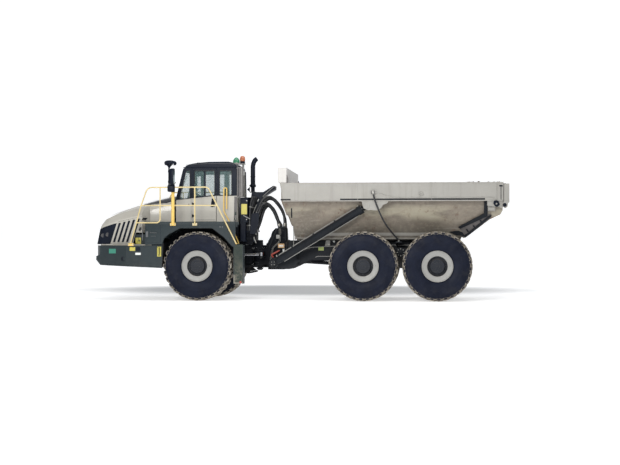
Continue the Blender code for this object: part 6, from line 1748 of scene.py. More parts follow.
# ---- hand rails -------------------------------------------------------------------------------------------------------------------
def railings():
    """Bent pale rails bolted to the deck, and the thick yellow post. They follow the CAD rails' own lines."""
    y = -RAILING_Y
    s = Shape()
    R = 0.0185
    P = lambda pts: [Vector((x, y, z)) for x, z in pts]
    s.tube(bent_path(P([(-4.345, 2.10), (-3.76, 2.10), (-3.70, 2.16), (-3.70, 3.05)]), 0.07, 6), R * 0.92, 14, 0)
    s.tube(P([(-4.22, 2.565), (-2.165, 2.562)]), R * 0.88, 14, 0)
    s.tube(P([(-2.755, 2.05), (-2.755, 3.05)]), R, 14, 0)
    s.tube(P([(-4.345, 2.10), (-4.50, 1.56)]), R * 0.85, 12, 0)
    # welds where rails meet
    for x, z in ((-4.345, 2.10), (-4.22, 2.565), (-3.70, 3.05), (-3.70, 2.565), (-2.755, 2.563), (-2.755, 3.05), (-2.165, 2.562)):
        s.lathe([(R * 1.02, -0.016), (R * 1.22, -0.008), (R * 1.25, 0.0), (R * 1.22, 0.008), (R * 1.02, 0.016)], (x, y, z), (1, 0, 0.02), 14, 0)
    # the thick post and its cap
    s.cyl((-3.350, y, 2.035), (-3.350, y, 3.045), 0.044, 24, 1, 0.004)
    s.cyl((-3.350, y, 3.04), (-3.350, y, 3.062), 0.049, 24, 1, 0.004)
    s.cyl((-3.350, y, 2.075), (-3.350, y, 2.100), 0.054, 24, 1, 0.004)
    for x, z in ((-2.755, 2.06), (-4.497, 1.57)):
        s.cyl((x, y, z - 0.01), (x, y, z + 0.022), 0.036, 18, 0, 0.004)
    # base plates with their bolts
    for x, z, w, mat in ((-3.350, 2.090, 0.150, 1), (-2.755, 2.090, 0.125, 0), (-4.50, 1.545, 0.15, 1)):
        s.brick((x, y + 0.0015, z - 0.035), (w, 0.016, 0.070), (0, 0, 0), mat)
        for dx in (-w * 0.36, w * 0.36):
            s.bolt((x + dx, y - 0.0065, z - 0.035), (0, -1, 0), 0.012, 0.009, 2)
    s.both()
    # the long rail ends at the steps' foot on the left, and on the deck on the right, which has no steps
    for sign, last in ((-1, (-1.633, 1.54)), (1, (-1.975, 2.04))):
        run = [(-4.50, 1.56), (-4.22, 2.56), (-4.07, 2.98), (-3.98, 3.05), (-2.45, 3.055), (-2.38, 3.02), last]
        if sign > 0:
            run = run[:-2] + [(-2.335, 3.02), last]
        s.tube(bent_path([Vector((x, sign * RAILING_Y, z)) for x, z in run], 0.09, 6), R, 14, 0)
    s.tube(bent_path([(-1.633, y + 0.01, 1.535), (-1.633, -1.15, 1.535), (-1.93, -1.03, 2.18), (-2.07, -1.0, 2.42), (-2.07, -1.0, 3.06), (-1.99, -1.0, 3.06), (-1.99, -1.0, 2.48)], 0.05, 5), R * 0.9, 14, 1)
    s.cyl((-1.975, RAILING_Y, 2.035), (-1.975, RAILING_Y, 2.066), 0.036, 18, 0, 0.004)
    s.brick((-1.975, RAILING_Y - 0.0015, 2.015), (0.13, 0.016, 0.070), (0, 0, 0), 0)
    s.make("handrails_bent", "tractor", ("pale_yellow", "yellow", "zinc"), stands_for=("handrails_left", "handrails_right"), slot="yellow", smooth=45)


railings()


def mirrors():
    """Black mirror arms: mast, round wide-angle mirror on top, tall main mirror, small lower box, each with a reflecting face."""
    s = Shape()
    y = -1.71
    s.tube([(-3.446, y, 2.94), (-3.446, y, 3.70)], 0.021, 14, 0)
    s.tube(bent_path([(-3.37, -1.655, 2.99), (-3.37, -1.70, 3.02), (-3.446, y, 3.06)], 0.03), 0.018, 12, 0)
    for z in (3.20, 3.48):
        s.cyl((-3.446, y, z - 0.03), (-3.446, y, z + 0.03), 0.030, 16, 0, 0.004)
        s.tube([(-3.446, y, z), (-3.36, -1.79, z)], 0.011, 10, 0)
    # dish: a deep bowl, its rim and the convex glass under it
    s.lathe([(0.0, 0.062), (0.070, 0.060), (0.120, 0.050), (0.152, 0.032), (0.166, 0.006), (0.166, -0.022), (0.156, -0.040), (0.144, -0.036), (0.08, -0.052), (0.0, -0.058)], (-3.405, -1.72, 3.708), (0.03, 0.06, 0.99), 40, mats=[0, 0, 0, 0, 0, 0, 0, 1, 1])
    # its ribs, as the rim reads knobbly from the side
    for k in range(12):
        a = 2 * math.pi * k / 12
        s.brick((-3.405 + 0.140 * math.cos(a), -1.72 + 0.140 * math.sin(a), 3.672), (0.030, 0.030, 0.052), (0, 0, math.degrees(a)), 0)
    s.lathe([(0.024, -0.09), (0.050, -0.04), (0.075, -0.02), (0.060, 0.0)], (-3.44, -1.715, 3.660), "Z", 20, 0)
    # the main mirror: rounded shell, face toward the back
    rows = []
    for x, g in ((-3.398, 0.60), (-3.394, 0.80), (-3.370, 0.97), (-3.330, 1.0), (-3.292, 0.99), (-3.286, 0.95), (-3.290, 0.90)):
        row = []
        for k in range(24):
            a = 2 * math.pi * k / 24
            ca, sa = math.cos(a), math.sin(a)
            p = (abs(ca) ** 5 + abs(sa) ** 5) ** (-1 / 5)
            row.append(Vector((x, -1.795 + 0.098 * g * ca * p, 3.33 + 0.222 * (g * 0.3 + 0.7) * sa * p)))
        rows.append(row)
    s.rows(rows, 0, loop=True, caps=True)
    s.add([(-3.2880, -1.880, 3.13), (-3.2880, -1.710, 3.13), (-3.2880, -1.710, 3.53), (-3.2880, -1.880, 3.53)], [[0, 1, 2, 3]], 1)
    # the lower box: a second mirror on the mast's foot
    rows = []
    for x, g in ((-3.480, 0.7), (-3.474, 0.9), (-3.43, 1.0), (-3.30, 0.98), (-3.292, 0.9)):
        row = []
        for k in range(20):
            a = 2 * math.pi * k / 20
            ca, sa = math.cos(a), math.sin(a)
            p = (abs(ca) ** 5 + abs(sa) ** 5) ** (-1 / 5)
            row.append(Vector((x, -1.715 + 0.062 * g * ca * p, 3.02 + 0.098 * g * sa * p)))
        rows.append(row)
    s.rows(rows, 0, loop=True, caps=True)
    # grey arm between the two, its pale grey a painted highlight
    s.tube(bent_path([(-3.42, y, 3.13), (-3.36, y - 0.03, 3.155), (-3.28, y - 0.06, 3.15), (-3.25, y - 0.07, 3.18)], 0.02), 0.016, 10, 2)
    s.both()
    s.make("mirrors_moulded", "tractor", ("black", "mirror", "grey_part"), stands_for=("mirror_left", "mirror_right"), slot="black", smooth=40, weld=False)


mirrors()


# ---- behind the cab -----------------------------------------------------------------------------------------------------------------
def cooler():
    """The cooler pack behind the cab: housings and cores, the near housing's door, the plumbing tray with its fittings, and the heat shield."""
    skin("cooler_pack", ("black", "core"), lambda c, n: 1 if (n.x > 0.9 and c.y > 0.0 and c.z < 2.6) else 0, 0.008, 2)
    s = Shape()
    # the near housing's door: plate, folded rim, hasp, hinges and its blank yellow patch
    s.prism([(-1.660, 2.12), (-1.452, 2.12), (-1.452, 2.80), (-1.660, 2.80)], -0.716, -0.700, "Y", 0)
    rim = [(-1.648, 2.132), (-1.464, 2.132), (-1.464, 2.788), (-1.648, 2.788)]
    s.tube(bent_path([Vector((x, -0.718, z)) for x, z in rim + rim[:2]], 0.03, 4)[1:-1], 0.006, 8, 0, caps=False)
    s.prism([(-1.629, 2.345), (-1.465, 2.345), (-1.465, 2.629), (-1.629, 2.629)], -0.7185, -0.714, "Y", 1)
    s.tube(bent_path([(-1.562, -0.720, 2.311), (-1.562, -0.750, 2.311), (-1.396, -0.750, 2.220), (-1.396, -0.700, 2.220)], 0.015), 0.0125, 10, 2)
    for z in (2.20, 2.72):
        s.cyl((-1.655, -0.722, z - 0.03), (-1.655, -0.722, z + 0.03), 0.010, 12, 0, 0.002)
        s.bolt((-1.475, -0.716, z), (0, -1, 0), 0.011, 0.008, 3)
    # cores' louvres on the back of the far housing, and the frame round them
    for k in range(17):
        z = 1.66 + 0.046 * k
        x = -1.40 + (z - 1.585) * 0.0925
        s.brick((x + 0.010, 0.375, z), (0.030, 0.62, 0.006), (0, -28, 0), 0)
    for y in (0.045, 0.375, 0.705):
        s.brick((-1.400 + 0.41 * 0.0925 + 0.012, y, 2.00), (0.026, 0.022, 0.84), (0, 5.3, 0), 0)
    # ribs and bolts on the housings' outer sides
    for y in (0.722,):
        for x, z in ((-1.60, 1.66), (-1.46, 1.66), (-1.62, 2.30), (-1.42, 2.30), (-1.36, 2.90), (-1.20, 2.90)):
            s.bolt((x, y, z), (0, 1, 0), 0.012, 0.008, 3)
        s.brick((-1.53, y + 0.004, 1.98), (0.012, 0.010, 0.66), (0, 0, 0), 0)
    # bundled hoses and pipes standing between the housings, which close the gap to the tray
    for x0, y0, x1, y1, r in ((-1.50, -0.40, -1.36, -0.34, 0.040), (-1.47, -0.20, -1.34, -0.16, 0.044), (-1.50, -0.02, -1.37, 0.02, 0.040), (-1.43, -0.56, -1.40, -0.46, 0.034)):
        path = smooth_path([(x0, y0, 1.90), (x0 + 0.01, y0, 2.10), ((x0 + x1) / 2, (y0 + y1) / 2, 2.42), (x1, y1, 2.66), (x1 + 0.05, y1 + 0.05, 2.84)], 8)
        s.tube(path, r, 14, 4)
        for k in (6, 20):
            s.lathe([(r, -0.012), (r + 0.006, -0.010), (r + 0.006, 0.010), (r, 0.012)], path[k], path[k + 1] - path[k], 14, 2)
    # thin grey lines clipped along them
    for (xa, ya, za), (xb, yb, zb) in (((-1.258, -0.47, 2.567), (-1.357, -0.50, 2.286)), ((-1.244, -0.50, 2.370), (-1.357, -0.52, 2.118)), ((-1.150, -0.30, 2.40), (-1.222, -0.34, 2.118))):
        s.tube(smooth_path([(xa + 0.02, ya + 0.02, za + 0.05), (xa, ya, za), ((xa + xb) / 2 - 0.006, (ya + yb) / 2, (za + zb) / 2), (xb, yb, zb), (xb - 0.01, yb + 0.02, zb - 0.06)], 6), 0.0075, 8, 2)
    # short white pipe stubs with black clips: their white is a painted highlight, standing for glints on clamps
    for (xa, za), (xb, zb) in (((-1.409, 2.690), (-1.423, 2.564)), ((-1.217, 2.788), (-1.253, 2.718)), ((-1.090, 2.717), (-1.174, 2.620))):
        s.tube([(xa, -0.13, za), (xb, -0.13, zb)], 0.013, 8, 5)
        s.brick((xa - 0.01, -0.10, (za + zb) / 2), (0.05, 0.06, 0.03), (0, 30, 0), 0)
    # tray: folded lips, and a bulkhead fitting with its hexagons under each hose
    s.prism([(-1.535, 1.855), (-1.215, 1.855), (-1.215, 1.915), (-1.225, 1.915), (-1.225, 1.865), (-1.525, 1.865), (-1.525, 1.915), (-1.535, 1.915)], -0.528, -0.516, "Y", 0)
    s.box(-1.226, -1.214, -0.52, 0.06, 1.862, 1.912, 0)
    for x, y in TRAY_ENDS:
        s.cyl((x, y, 1.898), (x, y, 1.915), 0.054, 24, 0, 0.003)
        s.cyl((x, y, 1.914), (x, y, 1.948), 0.048, 6, 2, 0.004)
    # bracket on the far housing's top, light fittings under the tray's near end
    s.panel([(-1.597, 0.19, 3.065), (-1.512, 0.19, 2.992), (-1.512, 0.19, 3.14)], 0.02, 0)
    s.tube(smooth_path([(-1.332, -0.500, 1.971), (-1.300, -0.520, 1.90), (-1.262, -0.520, 1.84), (-1.248, -0.500, 1.790)], 6), 0.017, 10, 2)
    s.tube(smooth_path([(-1.304, -0.500, 1.721), (-1.290, -0.515, 1.66), (-1.262, -0.515, 1.60), (-1.248, -0.490, 1.555)], 6), 0.017, 10, 2)
    for x, z in ((-1.30, 1.905), (-1.30, 1.62)):
        s.brick((x, -0.505, z), (0.05, 0.03, 0.05), (0, 0, 0), 0)
    # the dark cover plate between tray and stack, behind the hoses' rise
    s.prism([(-1.40, 1.90), (-1.235, 1.90), (-1.155, 2.10), (-1.115, 2.34), (-1.065, 2.52), (-1.045, 2.60), (-1.09, 2.68), (-1.17, 2.79), (-1.34, 2.72), (-1.45, 2.45)], -0.075, -0.055, "Y", 0)
    s.prism([(-1.41, 1.80), (-1.25, 1.80), (-1.17, 2.08), (-1.145, 2.30), (-1.18, 2.40), (-1.36, 2.36)], -0.585, -0.570, "Y", 0)
    s.make("cooler_fittings", "tractor", ("black", "decal_yellow", "grey_part", "zinc", "hose", "decal_white"), smooth=40, bevel=0.0012, segs=1)

    h = Shape()
    # heat shield's rolled edge and its stiffening beads
    for y in (0.052, 0.568):
        h.tube([(-1.165, y, 2.835), (-0.803, y, 3.155)], 0.009, 10, 0)
    h.tube([(-0.803, 0.052, 3.155), (-0.803, 0.568, 3.155)], 0.009, 10, 0)
    for y in (0.18, 0.31, 0.44):
        h.tube([(-1.14, y, 2.868), (-0.82, y, 3.150)], 0.007, 6, 0)
    h.make("heat_shield_edges", "tractor", ("grey_part",), smooth=50)

    c = Shape()
    # the grey-brown duct up the cab's rear corner on each side, with its seams and clamps
    c.prism([(-1.725, 2.815), (-1.555, 2.815), (-1.548, 3.60), (-1.566, 3.638), (-1.725, 3.638)], -0.880, -0.800, "Y", 0)
    for z in (2.95, 3.22, 3.49):
        c.prism([(-1.725, z), (-1.549, z), (-1.549, z + 0.014), (-1.725, z + 0.014)], -0.8835, -0.7965, "Y", 0)
    c.tube([(-1.605, -0.884, 2.83), (-1.600, -0.884, 3.61)], 0.009, 8, 2)
    c.tube([(-1.685, -0.884, 2.83), (-1.685, -0.884, 3.61)], 0.007, 8, 1)
    c.make("cab_corner_duct", "tractor", ("brown_panel", "black", "grey_part"), smooth=35, bevel=0.010, segs=3)


TRAY_ENDS = ((-1.385, -0.45), (-1.440, -0.36), (-1.285, -0.25), (-1.340, -0.14))
cooler()


def exhaust():
    """Stack with its flange, clamp and curved, open tail."""
    s = Shape()
    x, y = -1.462, 0.45
    s.lathe([(0.055, 0.0), (0.092, 0.0), (0.092, 0.016), (0.060, 0.018)], (x, y, 2.992), "Z", 32, 0)
    s.ring_of_bolts((x, y, 3.008), (0, 0, 1), 0.077, 6, 0.010, 0.009, 1)
    s.tube([(x, y, 3.000), (x, y, 3.160)], 0.056, 24, 0)
    s.lathe([(0.056, -0.030), (0.070, -0.026), (0.084, -0.010), (0.088, 0.0), (0.088, 0.032), (0.080, 0.050), (0.0665, 0.056)], (x, y, 3.170), "Z", 32, 0)
    s.brick((x - 0.094, y, 3.186), (0.030, 0.022, 0.030), (0, 0, 0), 1)
    path = [(x, y, 3.20), (x, y, 3.40), (x, y, 3.60), (x, y, 3.70)] + [(x + 0.20 - 0.20 * math.cos(math.radians(a)), y, 3.72 + 0.26 * math.sin(math.radians(a))) for a in range(6, 67, 6)]
    s.tube(path, [0.066] * (len(path) - 3) + [0.0655, 0.064, 0.062], 28, 0, bore=0.054)
    for z in (3.45,):
        s.lathe([(0.066, -0.014), (0.0705, -0.012), (0.0705, 0.012), (0.066, 0.014)], (x, y, z), "Z", 28, 0)
    s.weld([(x + 0.0662 * math.cos(a), y + 0.0662 * math.sin(a), 3.70) for a in (2 * math.pi * k / 14 for k in range(15))], 0.003, 0)
    s.make("exhaust_tail", "tractor", ("black", "zinc"), stands_for=("exhaust_stack",), slot="black", smooth=45)


exhaust()


def beacons():
    """A wide green work-state lamp and an amber flasher on one base behind the cab's roof."""
    s = Shape()
    y = 0.45
    s.prism([(-2.035, y - 0.09), (-2.015, y - 0.105), (-1.70, y - 0.105), (-1.68, y - 0.09), (-1.68, y + 0.09), (-1.70, y + 0.105), (-2.015, y + 0.105), (-2.035, y + 0.09)], 3.792, 3.814, "Z", 3)
    s.tube([(-1.74, y, 3.66), (-1.74, y, 3.80)], 0.030, 14, 3)
    s.lathe([(0.094, 0.0), (0.100, 0.004), (0.100, 0.022), (0.092, 0.026)], (-1.938, y, 3.812), "Z", 32, 3)
    s.lathe([(0.092, 0.0), (0.094, 0.045), (0.086, 0.090), (0.068, 0.125), (0.042, 0.150), (0.016, 0.162), (0.0, 0.164)], (-1.938, y, 3.836), "Z", 32, 0)
    for k in range(16):
        a = 2 * math.pi * k / 16
        s.tube([(-1.938 + 0.093 * math.cos(a), y + 0.093 * math.sin(a), 3.84), (-1.938 + 0.095 * math.cos(a), y + 0.095 * math.sin(a), 3.88), (-1.938 + 0.086 * math.cos(a), y + 0.086 * math.sin(a), 3.928)], 0.003, 6, 0)
    s.lathe([(0.064, 0.0), (0.072, 0.006), (0.074, 0.060), (0.068, 0.072), (0.0, 0.074)], (-1.760, y, 3.812), "Z", 32, 2)
    s.lathe([(0.066, 0.0), (0.076, 0.020), (0.079, 0.060), (0.074, 0.105), (0.058, 0.137), (0.032, 0.154), (0.0, 0.160)], (-1.760, y, 3.882), "Z", 32, 1)
    s.make("roof_beacons", "tractor", ("green_lens", "amber", "black", "grey_part"), stands_for=("beacon",), slot="orange" if "orange" in slots_of_record() else None, smooth=50, weld=False)


def slots_of_record():
    """Names of the record's material slots."""
    found = frame["record"].get("materials") or frame["record"].get("material_slots") or {}
    if isinstance(found, dict):
        found = found.get("slots", found)
    return {s.get("name", s.get("slot", "")) if isinstance(s, dict) else s for s in found}


beacons()


# ---- under the tractor --------------------------------------------------------------------------------------------------------------
def underbody():
    """Frame, axle and engine, and what hangs between them: arch walls, drop box, guard, tank, valve block, lines and steering cylinders."""
    skin("front_frame", ("void",), None, 0.006, 2)
    skin("engine", ("void",), None, 0.014, 2)
    skin("front_axle", ("frame",), None, 0.010, 2, smooth=50)
    s = Shape()
    for sign in (-1, 1):
        lo, hi = sorted((sign * 0.905, sign * 0.925))
        s.prism([(-3.60, 1.28), (-3.20, 1.16), (-2.10, 1.16), (-1.80, 1.28), (-1.76, 2.05), (-3.60, 2.05)], lo, hi, "Y", 0)
        for x in (-3.40, -2.95, -2.50, -2.05):
            s.box(x - 0.012, x + 0.012, *sorted((sign * 0.925, sign * 0.940)), 1.22, 2.02, 0)
        lo, hi = sorted((sign * 0.45, sign * 0.86))
        s.prism([(-3.08, 1.62), (-2.02, 1.62), (-2.02, 1.98), (-3.08, 1.98)], lo, hi, "Y", 0)
        s.prism([(-1.82, 1.60), (-1.70, 1.60), (-1.70, 2.08), (-1.82, 2.08)], *sorted((sign * 0.10, sign * 0.86)), "Y", 0)
        # cab mounts
        for x in (-3.20, -1.92):
            s.lathe([(0.0, 0.0), (0.085, 0.0), (0.092, 0.012), (0.080, 0.030), (0.092, 0.048), (0.085, 0.060), (0.0, 0.060)], (x, sign * 0.62, 1.986), "Z", 20, 1)
        # lines along the rail
        for k, z in enumerate((1.53, 1.49, 1.45)):
            s.tube(bent_path([(-3.10, sign * 0.44, z), (-2.0, sign * 0.44, z), (-1.80, sign * (0.46 + 0.02 * k), z - 0.05), (-1.66, sign * 0.36, z - 0.02)], 0.05), 0.012, 8, 1)
    # transfer box between the rails' tails, its cover, bolts and the flange of the drive shaft
    s.prism([(-2.60, 1.02), (-2.52, 0.90), (-1.80, 0.90), (-1.73, 0.96), (-1.73, 1.40), (-2.60, 1.40)], -0.26, 0.26, "Y", 0)
    s.prism([(-1.72, 0.95), (-1.42, 0.99), (-1.40, 1.03), (-1.40, 1.36), (-1.42, 1.41), (-1.72, 1.41)], -0.17, 0.17, "Y", 0)
    for z in (1.02, 1.14, 1.26, 1.38):
        for sign in (-1, 1):
            s.bolt((-1.46, sign * 0.17, z), (0, sign, 0), 0.011, 0.009, 1)
            s.bolt((-1.66, sign * 0.17, z), (0, sign, 0), 0.011, 0.009, 1)
    s.prism([(-2.04, 0.885), (-1.78, 0.742), (-1.50, 0.702), (-1.29, 0.742), (-1.27, 0.772), (-1.27, 0.792), (-1.49, 0.752), (-1.74, 0.80), (-1.76, 0.884)], -0.15, 0.15, "Y", 0)
    s.prism([(-1.72, 0.79), (-1.50, 0.755), (-1.30, 0.79), (-1.40, 0.872), (-1.72, 0.872)], -0.12, 0.12, "Y", 0)
    s.box(-1.74, -1.42, -0.165, 0.165, 0.93, 1.425, 0)
    # the saddle round the steering pin's barrel, and cheek plates over it
    arc = [(HITCH_X + 0.184 * math.cos(math.radians(a)), 0.184 * math.sin(math.radians(a))) for a in range(160, 202, 4)]
    s.prism([(-1.46, arc[0][1])] + arc + [(-1.46, arc[-1][1])], 0.970, 1.390, "Z", 0)
    for sy in (-1, 1):
        s.box(-1.42, -1.135, *sorted((sy * 0.150, sy * 0.172)), 1.497, 1.640, 0)
    s.box(-1.74, -1.60, -0.295, 0.295, 0.93, 1.43, 0)
    # valve block under the tray
    s.box(-1.60, -1.25, -0.49, 0.05, 1.63, 1.852, 0)
    s.box(-1.66, -1.335, -0.46, 0.20, 1.515, 1.632, 0)
    for k in range(4):
        x = -1.56 + 0.085 * k
        s.cyl((x, -0.49, 1.77), (x, -0.535, 1.77), 0.024, 14, 0, 0.003)
        s.cyl((x, -0.535, 1.77), (x, -0.550, 1.77), 0.014, 6, 1, 0.002)
        s.bolt((x, -0.49, 1.67), (0, -1, 0), 0.010, 0.008, 1)
    # ring of a tie-down, open, in light grey, on its lug
    ring = [Vector((-1.601 + 0.056 * math.sin(a), -0.600, 1.735 + 0.072 * math.cos(a))) for a in (math.radians(20 + 320 * k / 26) for k in range(27))]
    s.tube(ring, 0.011, 10, 2)
    s.box(-1.66, -1.625, -0.61, -0.45, 1.62, 1.69, 0)
    # axle: brake housings, bolts, breather, differential cover
    for sign in (-1, 1):
        s.lathe([(0.20, 0.0), (0.235, 0.01), (0.245, 0.03), (0.245, 0.075), (0.232, 0.09), (0.20, 0.10)], (FRONT_X, sign * 1.00, AXLE_Z), (0, sign, 0), 36, 0)
        s.ring_of_bolts((FRONT_X, sign * 0.985, AXLE_Z), (0, -sign, 0), 0.185, 14, 0.011, 0.009, 1)
    s.lathe([(0.20, 0.0), (0.235, 0.005), (0.235, 0.020), (0.15, 0.060), (0.0, 0.075)], (FRONT_X - 0.19, 0, AXLE_Z), (-1, 0, 0), 32, 0)
    s.ring_of_bolts((FRONT_X - 0.21, 0, AXLE_Z), (-1, 0, 0), 0.215, 12, 0.011, 0.009, 1)
    # dampers and rubber springs of the front axle
    for sign in (-1, 1):
        s.cyl((FRONT_X - 0.16, sign * 0.62, AXLE_Z + 0.08), (FRONT_X - 0.26, sign * 0.62, 1.56), 0.034, 16, 0, 0.004)
        s.cyl((FRONT_X - 0.20, sign * 0.62, 1.26), (FRONT_X - 0.26, sign * 0.62, 1.58), 0.045, 16, 0, 0.006)
        for k in range(4):
            s.lathe([(0.075, 0.0), (0.090, 0.012), (0.090, 0.022), (0.075, 0.034)], (FRONT_X, sign * 0.52, 1.128 + 0.036 * k), "Z", 24, 1)
        s.lathe([(0.0, 0.0), (0.095, 0.0), (0.095, 0.02), (0.0, 0.02)], (FRONT_X, sign * 0.52, 1.27), "Z", 24, 0)
    # sump and belly plate of the engine, fan and radiator back of the grille
    s.prism([(-4.70, 1.31), (-4.60, 1.16), (-3.80, 1.16), (-3.60, 1.31)], -0.24, 0.24, "Y", 0)
    s.box(-5.36, -5.24, -0.78, 0.78, 1.60, 2.06, 3)
    s.lathe([(0.0, 0.0), (0.30, 0.0), (0.33, 0.02), (0.33, 0.10), (0.0, 0.10)], (-5.22, 0, 1.78), (1, 0, 0), 28, 0)
    for k in range(6):
        x = -4.62 + 0.20 * k
        for sign in (-1, 1):
            s.tube(bent_path([(x, sign * 0.285, 2.06), (x, sign * 0.37, 2.04), (x + 0.05, sign * 0.40, 1.90)], 0.03), 0.030, 10, 1)
            s.bolt((x, sign * 0.29, 1.50), (0, sign, 0), 0.016, 0.012, 1)
    s.make("underbody", "tractor", ("void", "frame", "grey_part", "core"), smooth=40, bevel=0.003, segs=1)

    for side, sign in SIDES:
        skin(f"steering_barrel_{side}", ("frame",), None, 0.002, 1, smooth=50)
        skin(f"steering_rod_{side}", ("chrome", "frame"), lambda c, n: 1 if c.x > -1.176 else 0, 0.002, 1, smooth=50)
        y = sign * 0.52
        b = Shape()
        b.lathe([(0.0715, -0.030), (0.078, -0.028), (0.078, 0.0), (0.074, 0.004), (0.060, 0.006), (0.0465, 0.006), (0.0465, -0.02)], (-1.622, y, 1.245), (1, 0, 0), 28, 0)
        b.lathe([(0.0715, 0.0), (0.0765, 0.002), (0.0765, 0.022), (0.0715, 0.024)], (-2.395, y, 1.245), (1, 0, 0), 28, 0)
        for x in (-2.33, -1.69):
            b.cyl((x, y, 1.312), (x, y, 1.345), 0.020, 6, 1, 0.002)
            b.tube(smooth_path([(x, y, 1.340), (x - 0.01, y, 1.40), (x - 0.08, y - sign * 0.02, 1.44), (x - 0.20, y - sign * 0.07, 1.46)], 6), 0.013, 8, 2)
        b.make(f"steering_gland_{side}", "tractor", ("frame", "zinc", "hose"), smooth=45)


underbody()


# ---- hitch ----------------------------------------------------------------------------------------------------------------------------
def hitch():
    """The articulation housing, its tower and roll bearing, and the fittings on it."""
    skin("hitch_housing", ("void", "frame"), lambda c, n: 1 if abs(c.y) > 0.225 or n.x < -0.5 else 0, 0.010, 2, smooth=45)
    s = Shape()
    # the tower's cast front edge
    s.prism([(-1.003, 1.528), (-0.945, 1.582), (-0.906, 1.612), (-0.836, 1.865), (-0.737, 1.972), (-0.60, 1.965), (-0.60, 1.515), (-1.003, 1.515)], -0.205, 0.205, "Y", 0)
    # ribs and bolts of the tower's sides
    for sign in (-1, 1):
        f = sign * 0.22
        s.prism([(-0.93, 1.43), (-0.905, 1.43), (-0.70, 1.93), (-0.72, 1.945)], *sorted((f, f + sign * 0.016)), "Y", 1)
        s.prism([(-0.47, 1.62), (-0.445, 1.62), (-0.455, 1.95), (-0.475, 1.95)], *sorted((f, f + sign * 0.016)), "Y", 1)
        for x, z in ((-0.82, 1.47), (-0.74, 1.62), (-0.66, 1.90), (-0.52, 1.90), (-0.50, 1.70), (-0.90, 0.90), (-0.70, 0.90), (-0.52, 0.90)):
            s.bolt((x, f, z), (0, sign, 0), 0.014, 0.010, 1)
    # roll bearing: bolts, grease lines, wear ring
    s.ring_of_bolts((-0.4705, 0, 1.25), (-1, 0, 0), 0.345, 20, 0.015, 0.014, 2)
    s.lathe([(0.385, 0.0), (0.408, 0.004), (0.408, 0.034), (0.385, 0.038)], (-0.436, 0, 1.25), (1, 0, 0), 60, 1)
    # steering pin: caps above and below, lock bolts
    s.lathe([(0.0, 0.052), (0.070, 0.050), (0.090, 0.040), (0.094, 0.010), (0.094, 0.0), (0.0, 0.0)], (HITCH_X, 0, 1.512), "Z", 36, 1)
    s.ring_of_bolts((HITCH_X, 0, 1.562), (0, 0, 1), 0.060, 6, 0.010, 0.008, 2)
    s.lathe([(0.0, -0.050), (0.070, -0.048), (0.090, -0.038), (0.094, -0.010), (0.094, 0.0), (0.0, 0.0)], (HITCH_X, 0, 0.866), "Z", 36, 1)
    s.lathe([(0.172, 0.0), (0.184, 0.004), (0.184, 0.040), (0.172, 0.044)], (HITCH_X, 0, 0.985), "Z", 40, 1)
    s.lathe([(0.172, 0.0), (0.184, 0.004), (0.184, 0.040), (0.172, 0.044)], (HITCH_X, 0, 1.33), "Z", 40, 1)
    for z0, z1 in ((1.393, 1.4185), (0.9415, 0.9665)):
        s.lathe([(0.10, z0), (0.195, z0), (0.198, (z0 + z1) / 2), (0.195, z1), (0.10, z1)], (HITCH_X, 0, 0), "Z", 44, 1)
    s.box(-0.995, -0.92, -0.20, 0.20, 1.375, 1.53, 0)
    s.box(-0.985, -0.90, -0.19, 0.19, 0.875, 1.00, 0)
    # steering lugs' pins
    for sign in (-1, 1):
        s.cyl((-1.10, sign * 0.52, 1.142), (-1.10, sign * 0.52, 1.348), 0.030, 18, 2, 0.004)
        s.lathe([(0.0, 0.0), (0.048, 0.0), (0.050, 0.010), (0.0, 0.012)], (-1.10, sign * 0.52, 1.340), "Z", 20, 1)
    # blank patches, the roll lock's red lever, grey fitting
    y = -0.222
    s.brick((-0.578, y - 0.010, 1.478), (0.176, 0.016, 0.118), (0, 0, 0), 3)
    s.brick((-0.578, y - 0.0185, 1.478), (0.120, 0.002, 0.040), (0, 0, 0), 6)
    s.tube(smooth_path([(-0.620, y - 0.022, 1.352), (-0.70, y - 0.034, 1.306), (-0.832, y - 0.040, 1.236), (-0.812, y - 0.040, 1.180), (-0.790, y - 0.036, 1.166)], 6), [0.021] * 25, 12, 5)
    s.cyl((-0.618, y, 1.350), (-0.618, y - 0.034, 1.350), 0.026, 16, 1, 0.003)
    s.prism([(-0.538, 1.319), (-0.480, 1.319), (-0.480, 1.389), (-0.538, 1.389)], y - 0.012, y, "Y", 6)
    s.brick((-0.660, y - 0.016, 1.731), (0.104, 0.032, 0.100), (0, 0, 0), 7)
    s.cyl((-0.680, y - 0.032, 1.745), (-0.680, y - 0.046, 1.745), 0.022, 16, 7, 0.003)
    s.tube(smooth_path([(-0.615, y - 0.020, 1.745), (-0.575, y - 0.030, 1.80), (-0.560, y - 0.020, 1.90), (-0.575, y + 0.05, 1.985)], 6), 0.011, 8, 8)
    # the head of the tower where the hoses land
    s.box(-0.672, -0.452, -0.202, 0.202, 1.968, 2.022, 1)
    for x, yy in HEAD_ENDS:
        s.cyl((x, yy, 2.020), (x, yy, 2.046), 0.048, 6, 2, 0.004)
    # two steel lines down the tower's side to the trailer
    for k, yy in enumerate((-0.232, -0.250)):
        s.tube(bent_path([(-0.60 - 0.03 * k, yy, 1.96), (-0.60 - 0.03 * k, yy, 1.60), (-0.80 - 0.03 * k, yy, 1.42), (-0.86 - 0.03 * k, yy, 1.05), (-0.70, yy, 0.98)], 0.06), 0.009, 8, 2)
    s.make("hitch_fittings", "hitch", ("void", "frame", "zinc", "decal_orange", "decal_white", "red_paint", "decal_white", "grey_part", "hose"), smooth=42, bevel=0.0018, segs=1)


HEAD_ENDS = ((-0.636, -0.145), (-0.500, -0.050), (-0.612, 0.050), (-0.500, 0.145))
hitch()


